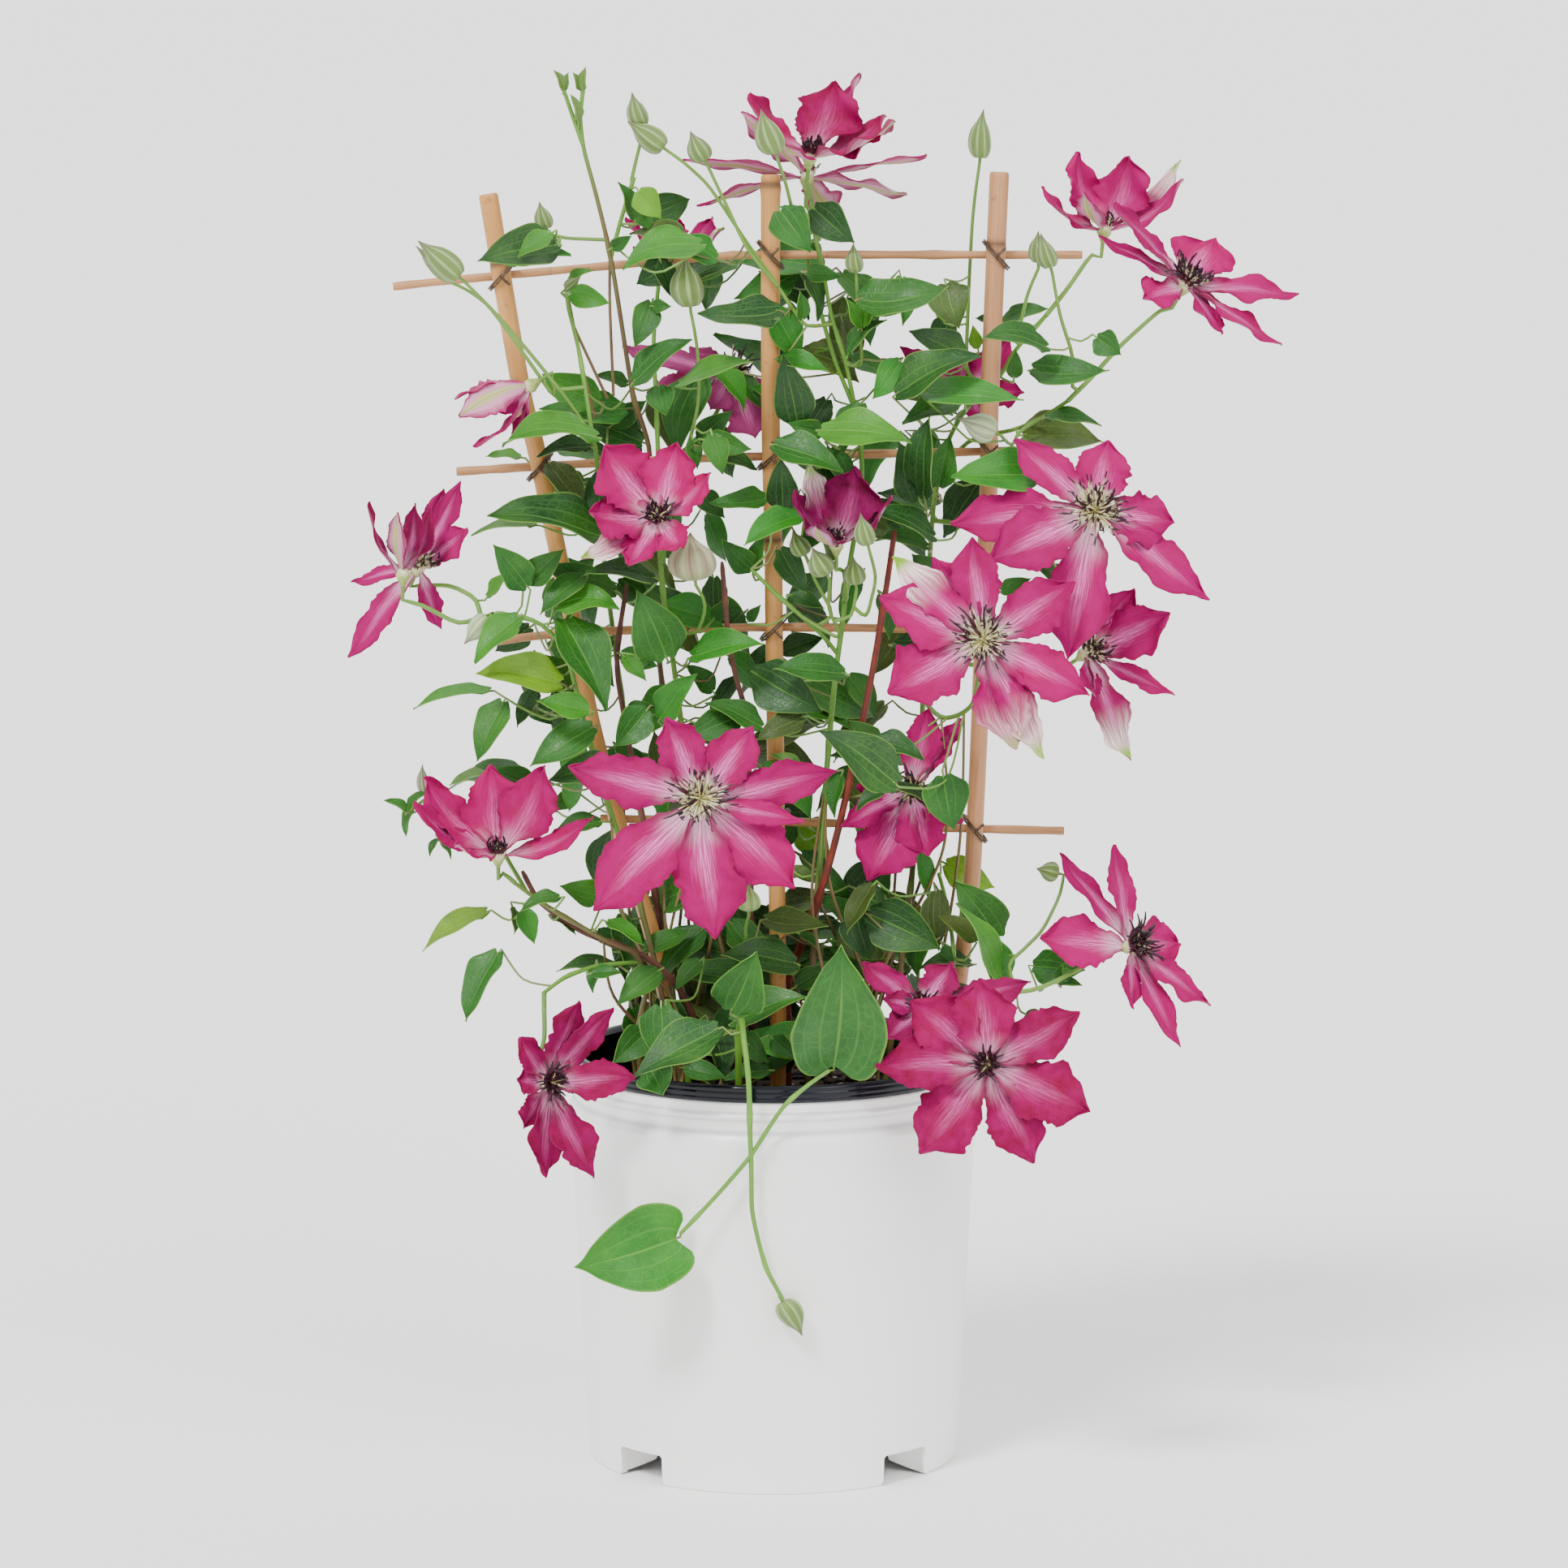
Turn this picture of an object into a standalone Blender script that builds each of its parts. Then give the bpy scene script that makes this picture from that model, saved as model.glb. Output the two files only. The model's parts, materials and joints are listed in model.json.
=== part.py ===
"""Clematis in bloom on a bamboo trellis, standing in a white nursery pot with a dark lining.

Metres, +Z up, and the front of the plant faces -Y. Inside this script sizes are millimetres.
The plant is laid out as a gardener would draw it from the front: each piece has a place across and
up in the front view, and a distance forward of the trellis, so it can be moved in depth alone.
"""

import math
import random

import bpy
from mathutils import Vector
from mathutils.bvhtree import BVHTree

for thing in list(bpy.data.objects):
    bpy.data.objects.remove(thing)

MM = 0.001
UP = Vector((0, 0, 1))

# Where the pot's axis stands, so that the whole plant is centred on the origin
POT_AXIS = (-19.3, 10.4)

# The front view: how far away, how high and at what slope the plant is looked at
VIEW_DISTANCE = 2600
VIEW_PITCH = math.radians(8.6)
VIEW_CENTRE = (4.5, 272.7)
VIEW_CENTRE_HEIGHT = 280
EYE = Vector((
    VIEW_CENTRE[0],
    -VIEW_DISTANCE * math.cos(VIEW_PITCH),
    VIEW_CENTRE_HEIGHT + VIEW_DISTANCE * math.sin(VIEW_PITCH),
))

# The gap that touching pieces keep, and the one that a leaf or stem keeps to other pieces
SEAT_GAP = 0.3
FREE_GAP = 0.35

# Pot
POT_HEIGHT = 170
POT_FOOT_RADIUS = 76.6
POT_WALL_SLOPE = 0.05
POT_WALL = 1.6
POT_SEGMENTS = 24
POT_BODY_TOP = 147
COLLAR_TOP = 163
COLLAR_RADIUS = 83.0
FLOOR_UNDERSIDE = 13.5
FLOOR_THICKNESS = 2.0
NOTCH_WIDTH = 24
NOTCH_HEIGHT = 12.6
LINING_WALL = 1.0
LIP_RADIUS = 83.2
SOIL_TOP = 150
HOLE_DEPTH = 24

# Trellis
STAKE_SIDES = 8
STAKE_TOP_RADIUS = 4.1
STAKE_LOW_RADIUS = 3.4
STAKE_DEPTH_IN_SOIL = 60
TIE_WIRE_RADIUS = 0.42

# Foliage
LEAF_THICKNESS = 0.7
LEAF_WIDTH_SHARE = 0.58
LEAF_ARCH = 0.07
LEAF_CUP = 0.16
LARGE_LEAF = 190
STALK_RADIUS = 0.62
TEPAL_THICKNESS = 0.75
TEPAL_WAVE = 0.03
TEPAL_LAYER = 1.15
KNOB_RADIUS = 3.4
KNOB_TOP = 2.2
KNOB_DEPTH = 5.0


def seen(across, up, forward=0.0):
    """The point at (across, up) in the front view, this far forward of the trellis."""
    side = (across - VIEW_CENTRE[0]) / VIEW_DISTANCE
    rise = (up - VIEW_CENTRE[1]) / VIEW_DISTANCE
    sight = Vector((
        side,
        math.cos(VIEW_PITCH) + rise * math.sin(VIEW_PITCH),
        rise * math.cos(VIEW_PITCH) - math.sin(VIEW_PITCH),
    ))
    return EYE + sight * ((-EYE.y - forward) / sight.y)


def as_seen(point):
    """The inverse of seen: (across, up, forward) of a point."""
    away = point - EYE
    depth = away.y * math.cos(VIEW_PITCH) - away.z * math.sin(VIEW_PITCH)
    height = away.y * math.sin(VIEW_PITCH) + away.z * math.cos(VIEW_PITCH)
    across = VIEW_CENTRE[0] + away.x / depth * VIEW_DISTANCE
    return across, VIEW_CENTRE[1] + height / depth * VIEW_DISTANCE, -point.y


def finish_material(name, colour, roughness):
    made = bpy.data.materials.new(name)
    made.use_nodes = True
    shader = made.node_tree.nodes["Principled BSDF"]
    shader.inputs["Base Color"].default_value = (*colour, 1)
    shader.inputs["Roughness"].default_value = roughness
    return made


white_plastic = finish_material("pot white", (0.89, 0.87, 0.85), 0.35)
dark_plastic = finish_material("lining navy", (0.006, 0.009, 0.03), 0.25)
soil_mix = finish_material("potting soil", (0.03, 0.017, 0.01), 0.95)
bamboo = finish_material("bamboo", (0.6, 0.34, 0.14), 0.5)
wire = finish_material("tie wire", (0.05, 0.035, 0.025), 0.5)
green = finish_material("leaf green", (0.05, 0.2, 0.035), 0.5)
bark = finish_material("woody stem", (0.19, 0.06, 0.035), 0.6)
magenta = finish_material("tepal magenta", (0.72, 0.01, 0.2), 0.5)
cream = finish_material("stamen cream", (0.75, 0.66, 0.4), 0.6)


def outward(verts, faces):
    """The faces turned so that they look out of the closed shape."""
    volume = sum(verts[a].dot(verts[b].cross(verts[c])) for a, b, c in faces)
    return faces if volume > 0 else [(a, c, b) for a, b, c in faces]


def make_object(name, shape, material, smooth=True):
    verts, faces = shape
    mesh = bpy.data.meshes.new(name)
    shift = Vector((*POT_AXIS, 0))
    mesh.from_pydata([(v + shift) * MM for v in verts], [], faces)
    mesh.materials.append(material)
    mesh.validate()
    if smooth:
        mesh.shade_smooth()
        mesh.set_sharp_from_angle(angle=math.radians(40))
    made = bpy.data.objects.new(name, mesh)
    bpy.context.scene.collection.objects.link(made)
    return made


def shape_of(obj):
    """An object's points and triangles, back in this script's millimetres."""
    shift = Vector((*POT_AXIS, 0))
    obj.data.calc_loop_triangles()
    verts = [v.co / MM - shift for v in obj.data.vertices]
    return verts, [tuple(t.vertices) for t in obj.data.loop_triangles]


def tree_of(shape):
    return BVHTree.FromPolygons(*shape)


def bake(obj):
    """Applies an object's modifiers to its mesh."""
    graph = bpy.context.evaluated_depsgraph_get()
    made = bpy.data.meshes.new_from_object(obj.evaluated_get(graph))
    obj.modifiers.clear()
    obj.data = made


def largest_body(obj):
    """Drops every loose scrap of the mesh and keeps the largest piece whose faces share edges."""
    verts, faces = shape_of(obj)
    owner = list(range(len(faces)))

    def root(i):
        while owner[i] != i:
            owner[i] = owner[owner[i]]
            i = owner[i]
        return i

    beside = {}
    for i, (a, b, c) in enumerate(faces):
        for edge in ((a, b), (b, c), (c, a)):
            edge = (min(edge), max(edge))
            owner[root(i)] = root(beside.setdefault(edge, i))
    counts = {}
    for i in range(len(faces)):
        counts[root(i)] = counts.get(root(i), 0) + 1
    best = max(counts, key=counts.get)
    faces = [face for i, face in enumerate(faces) if root(i) == best]
    kept = sorted({i for face in faces for i in face})
    if len(counts) > 1:
        print(obj.name, "drops scraps:", sorted(counts.values())[:-1])
    place = {old: new for new, old in enumerate(kept)}
    shape = ([verts[i] for i in kept], [tuple(place[i] for i in face) for face in faces])
    material, name = obj.data.materials[0], obj.name
    bpy.data.objects.remove(obj)
    return make_object(name, shape, material)


def fuse(name, shapes, material):
    """One closed body from shapes that are sunk into each other."""
    whole = make_object(name, shapes[0], material)
    joined = bpy.data.collections.new(name + " pieces")
    bpy.context.scene.collection.children.link(joined)
    for i, shape in enumerate(shapes[1:]):
        piece = make_object(f"{name}.{i}", shape, material)
        bpy.context.scene.collection.objects.unlink(piece)
        joined.objects.link(piece)
    union = whole.modifiers.new("union", "BOOLEAN")
    union.operation = "UNION"
    union.operand_type = "COLLECTION"
    union.collection = joined
    union.solver = "MANIFOLD"
    bake(whole)
    for piece in list(joined.objects):
        bpy.data.objects.remove(piece)
    bpy.data.collections.remove(joined)
    return largest_body(whole)


def cut(obj, cutters):
    """Takes each cutter's shape out of the object."""
    for i, shape in enumerate(cutters):
        cutter = make_object(f"{obj.name} cutter {i}", shape, obj.data.materials[0])
        cutter.hide_render = True
        cutter.display_type = "WIRE"
        difference = obj.modifiers.new("cut", "BOOLEAN")
        difference.operation = "DIFFERENCE"
        difference.object = cutter
        bake(obj)
        bpy.data.objects.remove(cutter)


def turned(profile, segments):
    """A closed solid from a closed profile of (radius, height) turned round the pot's axis."""
    verts, faces, rings = [], [], []
    for radius, height in profile:
        rings.append(len(verts))
        if radius == 0:
            verts.append(Vector((0, 0, height)))
            continue
        for i in range(segments):
            angle = 2 * math.pi * i / segments
            verts.append(Vector((radius * math.cos(angle), radius * math.sin(angle), height)))
    for k in range(len(profile)):
        near, far = rings[k], rings[(k + 1) % len(profile)]
        near_round = profile[k][0] > 0
        far_round = profile[(k + 1) % len(profile)][0] > 0
        for i in range(segments):
            j = (i + 1) % segments
            if near_round and far_round:
                faces += [(near + i, near + j, far + j), (near + i, far + j, far + i)]
            elif near_round:
                faces.append((near + i, near + j, far))
            elif far_round:
                faces.append((near, far + j, far + i))
    return verts, outward(verts, faces)


def tube(points, radii, sides):
    """A closed tube through the points."""
    verts, faces = [], []
    side = None
    for k, point in enumerate(points):
        along = (points[min(k + 1, len(points) - 1)] - points[max(k - 1, 0)]).normalized()
        if side is None:
            side = along.cross(Vector((0.3, 1, 0.2))).normalized()
        side = (side - along * side.dot(along)).normalized()
        other = along.cross(side)
        for i in range(sides):
            angle = 2 * math.pi * i / sides
            verts.append(point + (side * math.cos(angle) + other * math.sin(angle)) * radii[k])
    for k in range(len(points) - 1):
        for i in range(sides):
            a, b = k * sides + i, k * sides + (i + 1) % sides
            faces += [(a, b, b + sides), (a, b + sides, a + sides)]
    last = (len(points) - 1) * sides
    for i in range(1, sides - 1):
        faces += [(0, i + 1, i), (last, last + i, last + i + 1)]
    return verts, outward(verts, faces)


def box(centre, x_axis, y_axis, z_axis):
    """A closed box from its centre and its three half sides."""
    verts = []
    for i in (-1, 1):
        for j in (-1, 1):
            for k in (-1, 1):
                verts.append(centre + x_axis * i + y_axis * j + z_axis * k)
    quads = [(0, 1, 3, 2), (4, 6, 7, 5), (0, 4, 5, 1), (2, 3, 7, 6), (0, 2, 6, 4), (1, 5, 7, 3)]
    faces = []
    for a, b, c, d in quads:
        faces += [(a, b, c), (a, c, d)]
    return verts, outward(verts, faces)


def blade(surface, stations, triangles, outline, thickness, spread=0.0):
    """A thin blade: both faces are split alike, and a rim joins them along the outline's edges."""
    points, normals = [], []
    for t, s in stations:
        point, normal, across = surface(t, s)
        points.append(point + across * (math.copysign(spread, s) if s else 0))
        normals.append(normal)
    count = len(points)
    verts = [p + n * thickness / 2 for p, n in zip(points, normals)]
    verts += [p - n * thickness / 2 for p, n in zip(points, normals)]
    faces = list(triangles) + [(c + count, b + count, a + count) for a, b, c in triangles]
    for a, b in zip(outline, outline[1:]):
        faces += [(b, a, a + count), (b, a + count, b + count)]
    return verts, faces


# Leaves: a pointed oval, broadest a third of the way up, arched along and cupped across. The first
# two stations are the two sides of the stalk.
LARGE_LEAF_STATIONS = [
    (0, -1), (0, 1), (0.22, -1), (0.22, 0), (0.22, 1), (0.6, -1), (0.6, 0), (0.6, 1), (1, 0),
]
LARGE_LEAF_TRIANGLES = [
    (0, 2, 3), (0, 3, 1), (1, 3, 4), (2, 5, 6), (2, 6, 3), (3, 6, 7), (3, 7, 4), (5, 8, 6), (6, 8, 7),
]
LARGE_LEAF_OUTLINE = [0, 2, 5, 8, 7, 4, 1]
SMALL_LEAF_STATIONS = [(0, -1), (0, 1), (0.38, -1), (0.38, 0), (0.38, 1), (1, 0)]
SMALL_LEAF_TRIANGLES = [(0, 2, 3), (0, 3, 1), (1, 3, 4), (2, 5, 3), (3, 5, 4)]
SMALL_LEAF_OUTLINE = [0, 2, 5, 4, 1]


def leaf_profile(t):
    return math.sin(math.pi * min(t, 1) ** 0.6) ** 0.85 if 0 < t < 1 else 0.0


def curved_surface(base, tip, face, width, arch, cup, profile, wave=0.0, least=0.0):
    """A point, a normal and the cross direction anywhere on a blade, from base (t 0) to tip (t 1)."""
    length = (tip - base).length
    along = (tip - base) / length
    face = (face - along * face.dot(along)).normalized()
    across = along.cross(face)

    def at(t, s):
        half = max(width / 2 * profile(t), least)
        middle = base + along * length * t + face * arch * length * 4 * t * (1 - t)
        ripple = wave * width * s * math.sin(7.5 * t + 0.6)
        point = middle + across * s * half + face * (cup * half * s * s + ripple)
        slope = along + face * arch * 4 * (1 - 2 * t)
        return point, across.cross(slope).normalized() * -1, across

    return at


def leaf_surface(base, tip, seen_width):
    """A leaf that looks this wide from the front: a narrow one is turned to show its edge."""
    along = (tip - base).normalized()
    view = (EYE - (base + tip) / 2).normalized()
    flat = (view - along * view.dot(along)).normalized()
    share = seen_width / (LEAF_WIDTH_SHARE * (tip - base).length)
    shown = min(1.0, max(0.36, share))
    turn = along.cross(flat) * math.sqrt(1 - shown * shown)
    face = flat * shown + (turn if turn.z >= 0 else -turn)
    width = seen_width / shown
    return curved_surface(base, tip, face, width, LEAF_ARCH, LEAF_CUP, leaf_profile, 0.0, STALK_RADIUS)


def leaf_blade(surface, large, thickness=LEAF_THICKNESS, spread=0.0):
    if large:
        stations, triangles, outline = LARGE_LEAF_STATIONS, LARGE_LEAF_TRIANGLES, LARGE_LEAF_OUTLINE
    else:
        stations, triangles, outline = SMALL_LEAF_STATIONS, SMALL_LEAF_TRIANGLES, SMALL_LEAF_OUTLINE
    return blade(surface, stations, triangles, outline + ([0] if spread else []), thickness, spread)


def leaf_with_stalk(surface, large, way):
    """A leaf and its three-sided stalk in one skin. The way runs from just below the leaf to the stem."""
    verts, faces = leaf_blade(surface, large)
    count = len(verts) // 2
    ring = [0, 1, count]
    verts[count] = (verts[count] + verts[count + 1]) / 2
    faces = [tuple(count if i == count + 1 else i for i in face) for face in faces]
    before, _, side = surface(0, 0)
    for k, point in enumerate(way):
        after = way[min(k + 1, len(way) - 1)]
        run = (after - before).normalized()
        side = (side - run * side.dot(run)).normalized()
        rise = side.cross(run)
        first = len(verts)
        for i, j in ((-0.9, 0.6), (0.9, 0.6), (0, -1)):
            verts.append(point + (side * i + rise * j) * STALK_RADIUS)
        new = [first, first + 1, first + 2]
        for i in range(3):
            a, b, c, d = ring[i], ring[(i + 1) % 3], new[(i + 1) % 3], new[i]
            faces += [(a, b, c), (a, c, d)]
        ring, before = new, point
    faces.append((ring[0], ring[1], ring[2]))
    used = sorted({i for face in faces for i in face})
    place = {old: new for new, old in enumerate(used)}
    faces = [tuple(place[i] for i in face) for face in faces if len(set(face)) == 3]
    verts = [verts[i] for i in used]
    return verts, outward(verts, faces)


# Tepals: narrow at the root, broadest past the middle, pointed, with a waved edge
TEPAL_STATIONS = [(0, 0), (0.34, -1), (0.34, 1), (0.7, -1), (0.66, 0), (0.7, 1), (1, 0)]
TEPAL_TRIANGLES = [(0, 1, 2), (1, 3, 4), (1, 4, 2), (2, 4, 5), (3, 6, 4), (4, 6, 5)]
TEPAL_OUTLINE = [0, 1, 3, 6, 5, 2, 0]
NARROW_TEPAL = 13
NARROW_STATIONS = [(0, 0), (0.5, -1), (0.5, 0), (0.5, 1), (1, 0)]
NARROW_TRIANGLES = [(0, 1, 2), (0, 2, 3), (1, 4, 2), (2, 4, 3)]
NARROW_OUTLINE = [0, 1, 4, 3, 0]


def tepal_profile(t):
    return math.sin(math.pi * t ** 1.25) ** 0.8 if 0 < t < 1 else 0.0


def tepal_surface(centre, facing, tip, width, layer, bulge):
    """A tepal from the knob at the centre to its tip, moved along its own face into its layer."""
    way = (tip - centre).normalized()
    out = (way - facing * way.dot(facing)).normalized()
    root = centre + out
    along = (tip - root).normalized()
    inner = facing * along.dot(out) - out * along.dot(facing)
    root, tip = root + inner * layer * 0.6, tip + inner * layer
    return curved_surface(root, tip, inner, width, -bulge, 0.08, tepal_profile, TEPAL_WAVE)


def tepal_blade(surface, width):
    if width <= NARROW_TEPAL:
        verts, faces = blade(surface, NARROW_STATIONS, NARROW_TRIANGLES, NARROW_OUTLINE, TEPAL_THICKNESS)
    else:
        verts, faces = blade(surface, TEPAL_STATIONS, TEPAL_TRIANGLES, TEPAL_OUTLINE, TEPAL_THICKNESS)
    return verts, outward(verts, faces)


def sides_of(facing):
    """Two directions square to the facing and to each other."""
    side = facing.cross(UP if abs(facing.z) < 0.8 else Vector((0, 1, 0))).normalized()
    return side, facing.cross(side)


def bloom_shapes(centre, facing, tepals, bulge):
    """A bloom's tepals and the cone-shaped knob that they grow from.

    Neighbouring tepals lie in different layers: every other one above, and an odd last one between.
    The knob has a side for each tepal.
    """
    across, up, forward = centre
    heart = seen(across, up, forward)
    facing = Vector(facing).normalized()
    side, other = sides_of(facing)
    order = []
    for tip_across, tip_up, reach, width in tepals:
        tip = seen(tip_across, tip_up, forward + reach)
        order.append((math.atan2((tip - heart).dot(other), (tip - heart).dot(side)), width, tip))
    order.sort(key=lambda entry: entry[0])
    shapes, knob = [], [heart - facing * KNOB_DEPTH]
    for place, (angle, width, tip) in enumerate(order):
        before = order[place - 1][0] - (2 * math.pi if place == 0 else 0)
        corner = (angle + before) / 2
        knob.append(heart + facing * KNOB_TOP + (side * math.cos(corner) + other * math.sin(corner)) * KNOB_RADIUS)
        layer = TEPAL_LAYER if place % 2 else -TEPAL_LAYER
        if place == len(order) - 1 and len(order) % 2:
            layer = 0.0
        shapes.append(tepal_blade(tepal_surface(heart, facing, tip, width, layer, bulge), width))
    count = len(order)
    faces = [(0, i + 1, (i + 1) % count + 1) for i in range(count)]
    faces += [(1, i + 1, i) for i in range(2, count)]
    shapes.insert(0, (knob, outward(knob, faces)))
    return shapes


STAMEN_SIDES = 7
STAMEN_FOOT = 1.5


def stamen_shape(centre, facing, spread, length):
    """A pistil in two rows of pointed filaments, each grown out of one side of the pistil's foot."""
    heart = seen(*centre)
    facing = Vector(facing).normalized()
    side, other = sides_of(facing)
    foot = heart + facing * (KNOB_TOP + SEAT_GAP)
    verts, faces = [], []
    for ring, (radius, rise) in enumerate([(1.2, 0), (2.0, 1.6), (1.5, 3.4)]):
        for i in range(STAMEN_SIDES):
            angle = 2 * math.pi * (i + ring / 2) / STAMEN_SIDES
            out = side * math.cos(angle) + other * math.sin(angle)
            verts.append(foot + out * radius + facing * rise)
    for row, lean in enumerate([spread, spread * 0.5]):
        for i in range(STAMEN_SIDES):
            angle = 2 * math.pi * (i + row / 2 + 0.75) / STAMEN_SIDES
            out = side * math.cos(angle) + other * math.sin(angle)
            tip = len(verts)
            reach = (facing * math.cos(lean) + out * math.sin(lean)) * length
            verts.append(foot + facing + out * STAMEN_FOOT + reach)
            a, b = row * STAMEN_SIDES + i, row * STAMEN_SIDES + (i + 1) % STAMEN_SIDES
            c, d = b + STAMEN_SIDES, a + STAMEN_SIDES
            faces += [(a, b, tip), (b, c, tip), (c, d, tip), (d, a, tip)]
    top = len(verts)
    verts.append(foot + facing * length * 0.6)
    last = 2 * STAMEN_SIDES
    for i in range(STAMEN_SIDES):
        faces.append((last + i, last + (i + 1) % STAMEN_SIDES, top))
    for i in range(1, STAMEN_SIDES - 1):
        faces.append((0, i + 1, i))
    return verts, outward(verts, faces)


def is_near(trees, point, gap):
    return any(tree.find_nearest(point, gap)[0] is not None for tree in trees)


def crosses(trees, shape):
    own = tree_of(shape)
    return any(own.overlap(tree) for tree in trees)


def smooth_way(stops, step):
    """Points about a step apart on a smooth curve through (across, up, forward) stops."""
    stops = [Vector(s) for s in stops]
    way = [stops[0]]
    for k in range(len(stops) - 1):
        before, after = stops[max(k - 1, 0)], stops[min(k + 2, len(stops) - 1)]
        a, b = stops[k], stops[k + 1]
        count = max(1, round((b - a).length / step))
        for i in range(1, count + 1):
            t = i / count
            way.append(0.5 * (
                2 * a + (b - before) * t
                + (2 * before - 5 * a + 4 * b - after) * t * t
                + (3 * a - before - 3 * b + after) * t ** 3
            ))
    return way


ROUTE_STEP = 9
ROUTE_LEVEL = 3
ROUTE_REACH = 7


def route(stops, trees, radius, fixed_end):
    """Bends a stem clear of what is in its way: it keeps its place in the front view and moves in depth.

    Its first stop stays, and so does its last where fixed_end is set. Returns points and the
    number of steps that could not be cleared.
    """
    way = smooth_way(stops, ROUTE_STEP)
    levels = range(-ROUTE_REACH, ROUTE_REACH + 1)
    gap = radius + FREE_GAP + 0.25
    costs, sources = [{0: 0.0}], [{}]
    for k in range(1, len(way)):
        last = k == len(way) - 1
        here, source = {}, {}
        for level in levels:
            if last and fixed_end and level != 0:
                continue
            point = seen(way[k][0], way[k][1], way[k][2] + level * ROUTE_LEVEL)
            blocked = 0 if last and fixed_end else is_near(trees, point, gap)
            best = None
            for before in range(level - 2, level + 3):
                if before not in costs[-1]:
                    continue
                start = seen(way[k - 1][0], way[k - 1][1], way[k - 1][2] + before * ROUTE_LEVEL)
                spots = [0.33, 0.67]
                if k == 1:
                    spots.remove(0.33)
                if last and fixed_end:
                    spots.remove(0.67)
                hidden = sum(is_near(trees, start.lerp(point, f), gap) for f in spots)
                cost = costs[-1][before] + (level - before) ** 2 + abs(level) * 0.4
                cost += 500 * (blocked + hidden)
                if best is None or cost < best[0]:
                    best = (cost, before)
            if best:
                here[level], source[level] = best
        costs.append(here)
        sources.append(source)
    level = min(costs[-1], key=costs[-1].get)
    blocked = int(costs[-1][level] // 500)
    points = []
    for k in range(len(way) - 1, -1, -1):
        points.append(seen(way[k][0], way[k][1], way[k][2] + level * ROUTE_LEVEL))
        level = sources[k].get(level, 0)
    return points[::-1], blocked


def thinned(points, slack, trees, gap):
    """The same line without the points that lie within the slack of a straight and clear run."""
    kept = [points[0]]
    start = 0
    for k in range(2, len(points)):
        run = points[k] - points[start]
        count = max(2, round(run.length / 2.5))
        straight = not any(is_near(trees, points[start] + run * i / count, gap) for i in range(1, count))
        for middle in points[start + 1:k]:
            along = (middle - points[start]).dot(run) / run.length_squared
            straight = straight and (points[start] + run * along - middle).length < slack
        if not straight:
            kept.append(points[k - 1])
            start = k - 1
    return kept + [points[-1]]


def spaced(points, step=2.5):
    """Points along a line, about this far apart."""
    found = []
    for a, b in zip(points, points[1:]):
        count = max(1, round((b - a).length / step))
        found += [a.lerp(b, i / count) for i in range(count)]
    return found + [points[-1]]


# Pot
def wall_radius(height):
    return POT_FOOT_RADIUS + POT_WALL_SLOPE * height


inner = POT_WALL
floor_top = FLOOR_UNDERSIDE + FLOOR_THICKNESS
pot_profile = [
    (wall_radius(0), 0), (wall_radius(POT_BODY_TOP), POT_BODY_TOP),
    (COLLAR_RADIUS - 0.4, POT_BODY_TOP + 2), (COLLAR_RADIUS, COLLAR_TOP),
    (COLLAR_RADIUS - inner, COLLAR_TOP), (COLLAR_RADIUS - 0.4 - inner, POT_BODY_TOP + 2),
    (wall_radius(floor_top) - inner, floor_top), (0, floor_top), (0, FLOOR_UNDERSIDE),
    (wall_radius(FLOOR_UNDERSIDE) - 2.4, FLOOR_UNDERSIDE), (wall_radius(0) - 3.6, 0),
]
pot = make_object("pot", turned(pot_profile, POT_SEGMENTS), white_plastic)
notches = []
for quarter in range(4):
    angle = math.radians(45 + 90 * quarter)
    out = Vector((math.cos(angle), math.sin(angle), 0))
    middle = out * POT_FOOT_RADIUS + UP * (NOTCH_HEIGHT - 3) / 2
    notches.append(box(middle, out * 12, UP.cross(out) * NOTCH_WIDTH / 2, UP * (NOTCH_HEIGHT + 3) / 2))
cut(pot, notches)

gap_in = POT_WALL + SEAT_GAP
lining_base = floor_top + SEAT_GAP
lining_profile = [
    (0, lining_base), (wall_radius(lining_base) - gap_in, lining_base),
    (COLLAR_RADIUS - 0.4 - gap_in, POT_BODY_TOP + 2), (COLLAR_RADIUS - gap_in, COLLAR_TOP + SEAT_GAP),
    (LIP_RADIUS, COLLAR_TOP + SEAT_GAP), (LIP_RADIUS, POT_HEIGHT - 1.6), (LIP_RADIUS - 1.4, POT_HEIGHT),
    (COLLAR_RADIUS - gap_in - 1.6, POT_HEIGHT - 0.6), (COLLAR_RADIUS - gap_in - 2, COLLAR_TOP - 3),
    (COLLAR_RADIUS - 0.8 - gap_in - LINING_WALL, POT_BODY_TOP + 2),
    (wall_radius(lining_base) - gap_in - LINING_WALL, lining_base + LINING_WALL),
    (0, lining_base + LINING_WALL),
]
lining = make_object("pot_lining", turned(lining_profile, POT_SEGMENTS), dark_plastic)

soil_low = lining_base + LINING_WALL + SEAT_GAP
soil_inset = gap_in + LINING_WALL + SEAT_GAP
soil_profile = [
    (0, soil_low), (wall_radius(soil_low) - soil_inset, soil_low),
    (COLLAR_RADIUS - 0.9 - soil_inset, SOIL_TOP - 1), (60, SOIL_TOP), (0, SOIL_TOP),
]
soil = make_object("soil", turned(soil_profile, POT_SEGMENTS), soil_mix)
holes = []


def plant_in_soil(across, forward, radius, depth=HOLE_DEPTH - 4):
    """Opens a plain hole in the soil and gives the two ends of what stands in it."""
    top = Vector((across, -forward, SOIL_TOP))
    hole = [top - UP * (depth + 4), top + UP * 8]
    holes.append(tube(hole, [radius + 0.9] * 2, 5))
    return top - UP * depth, top + UP * 3


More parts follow.
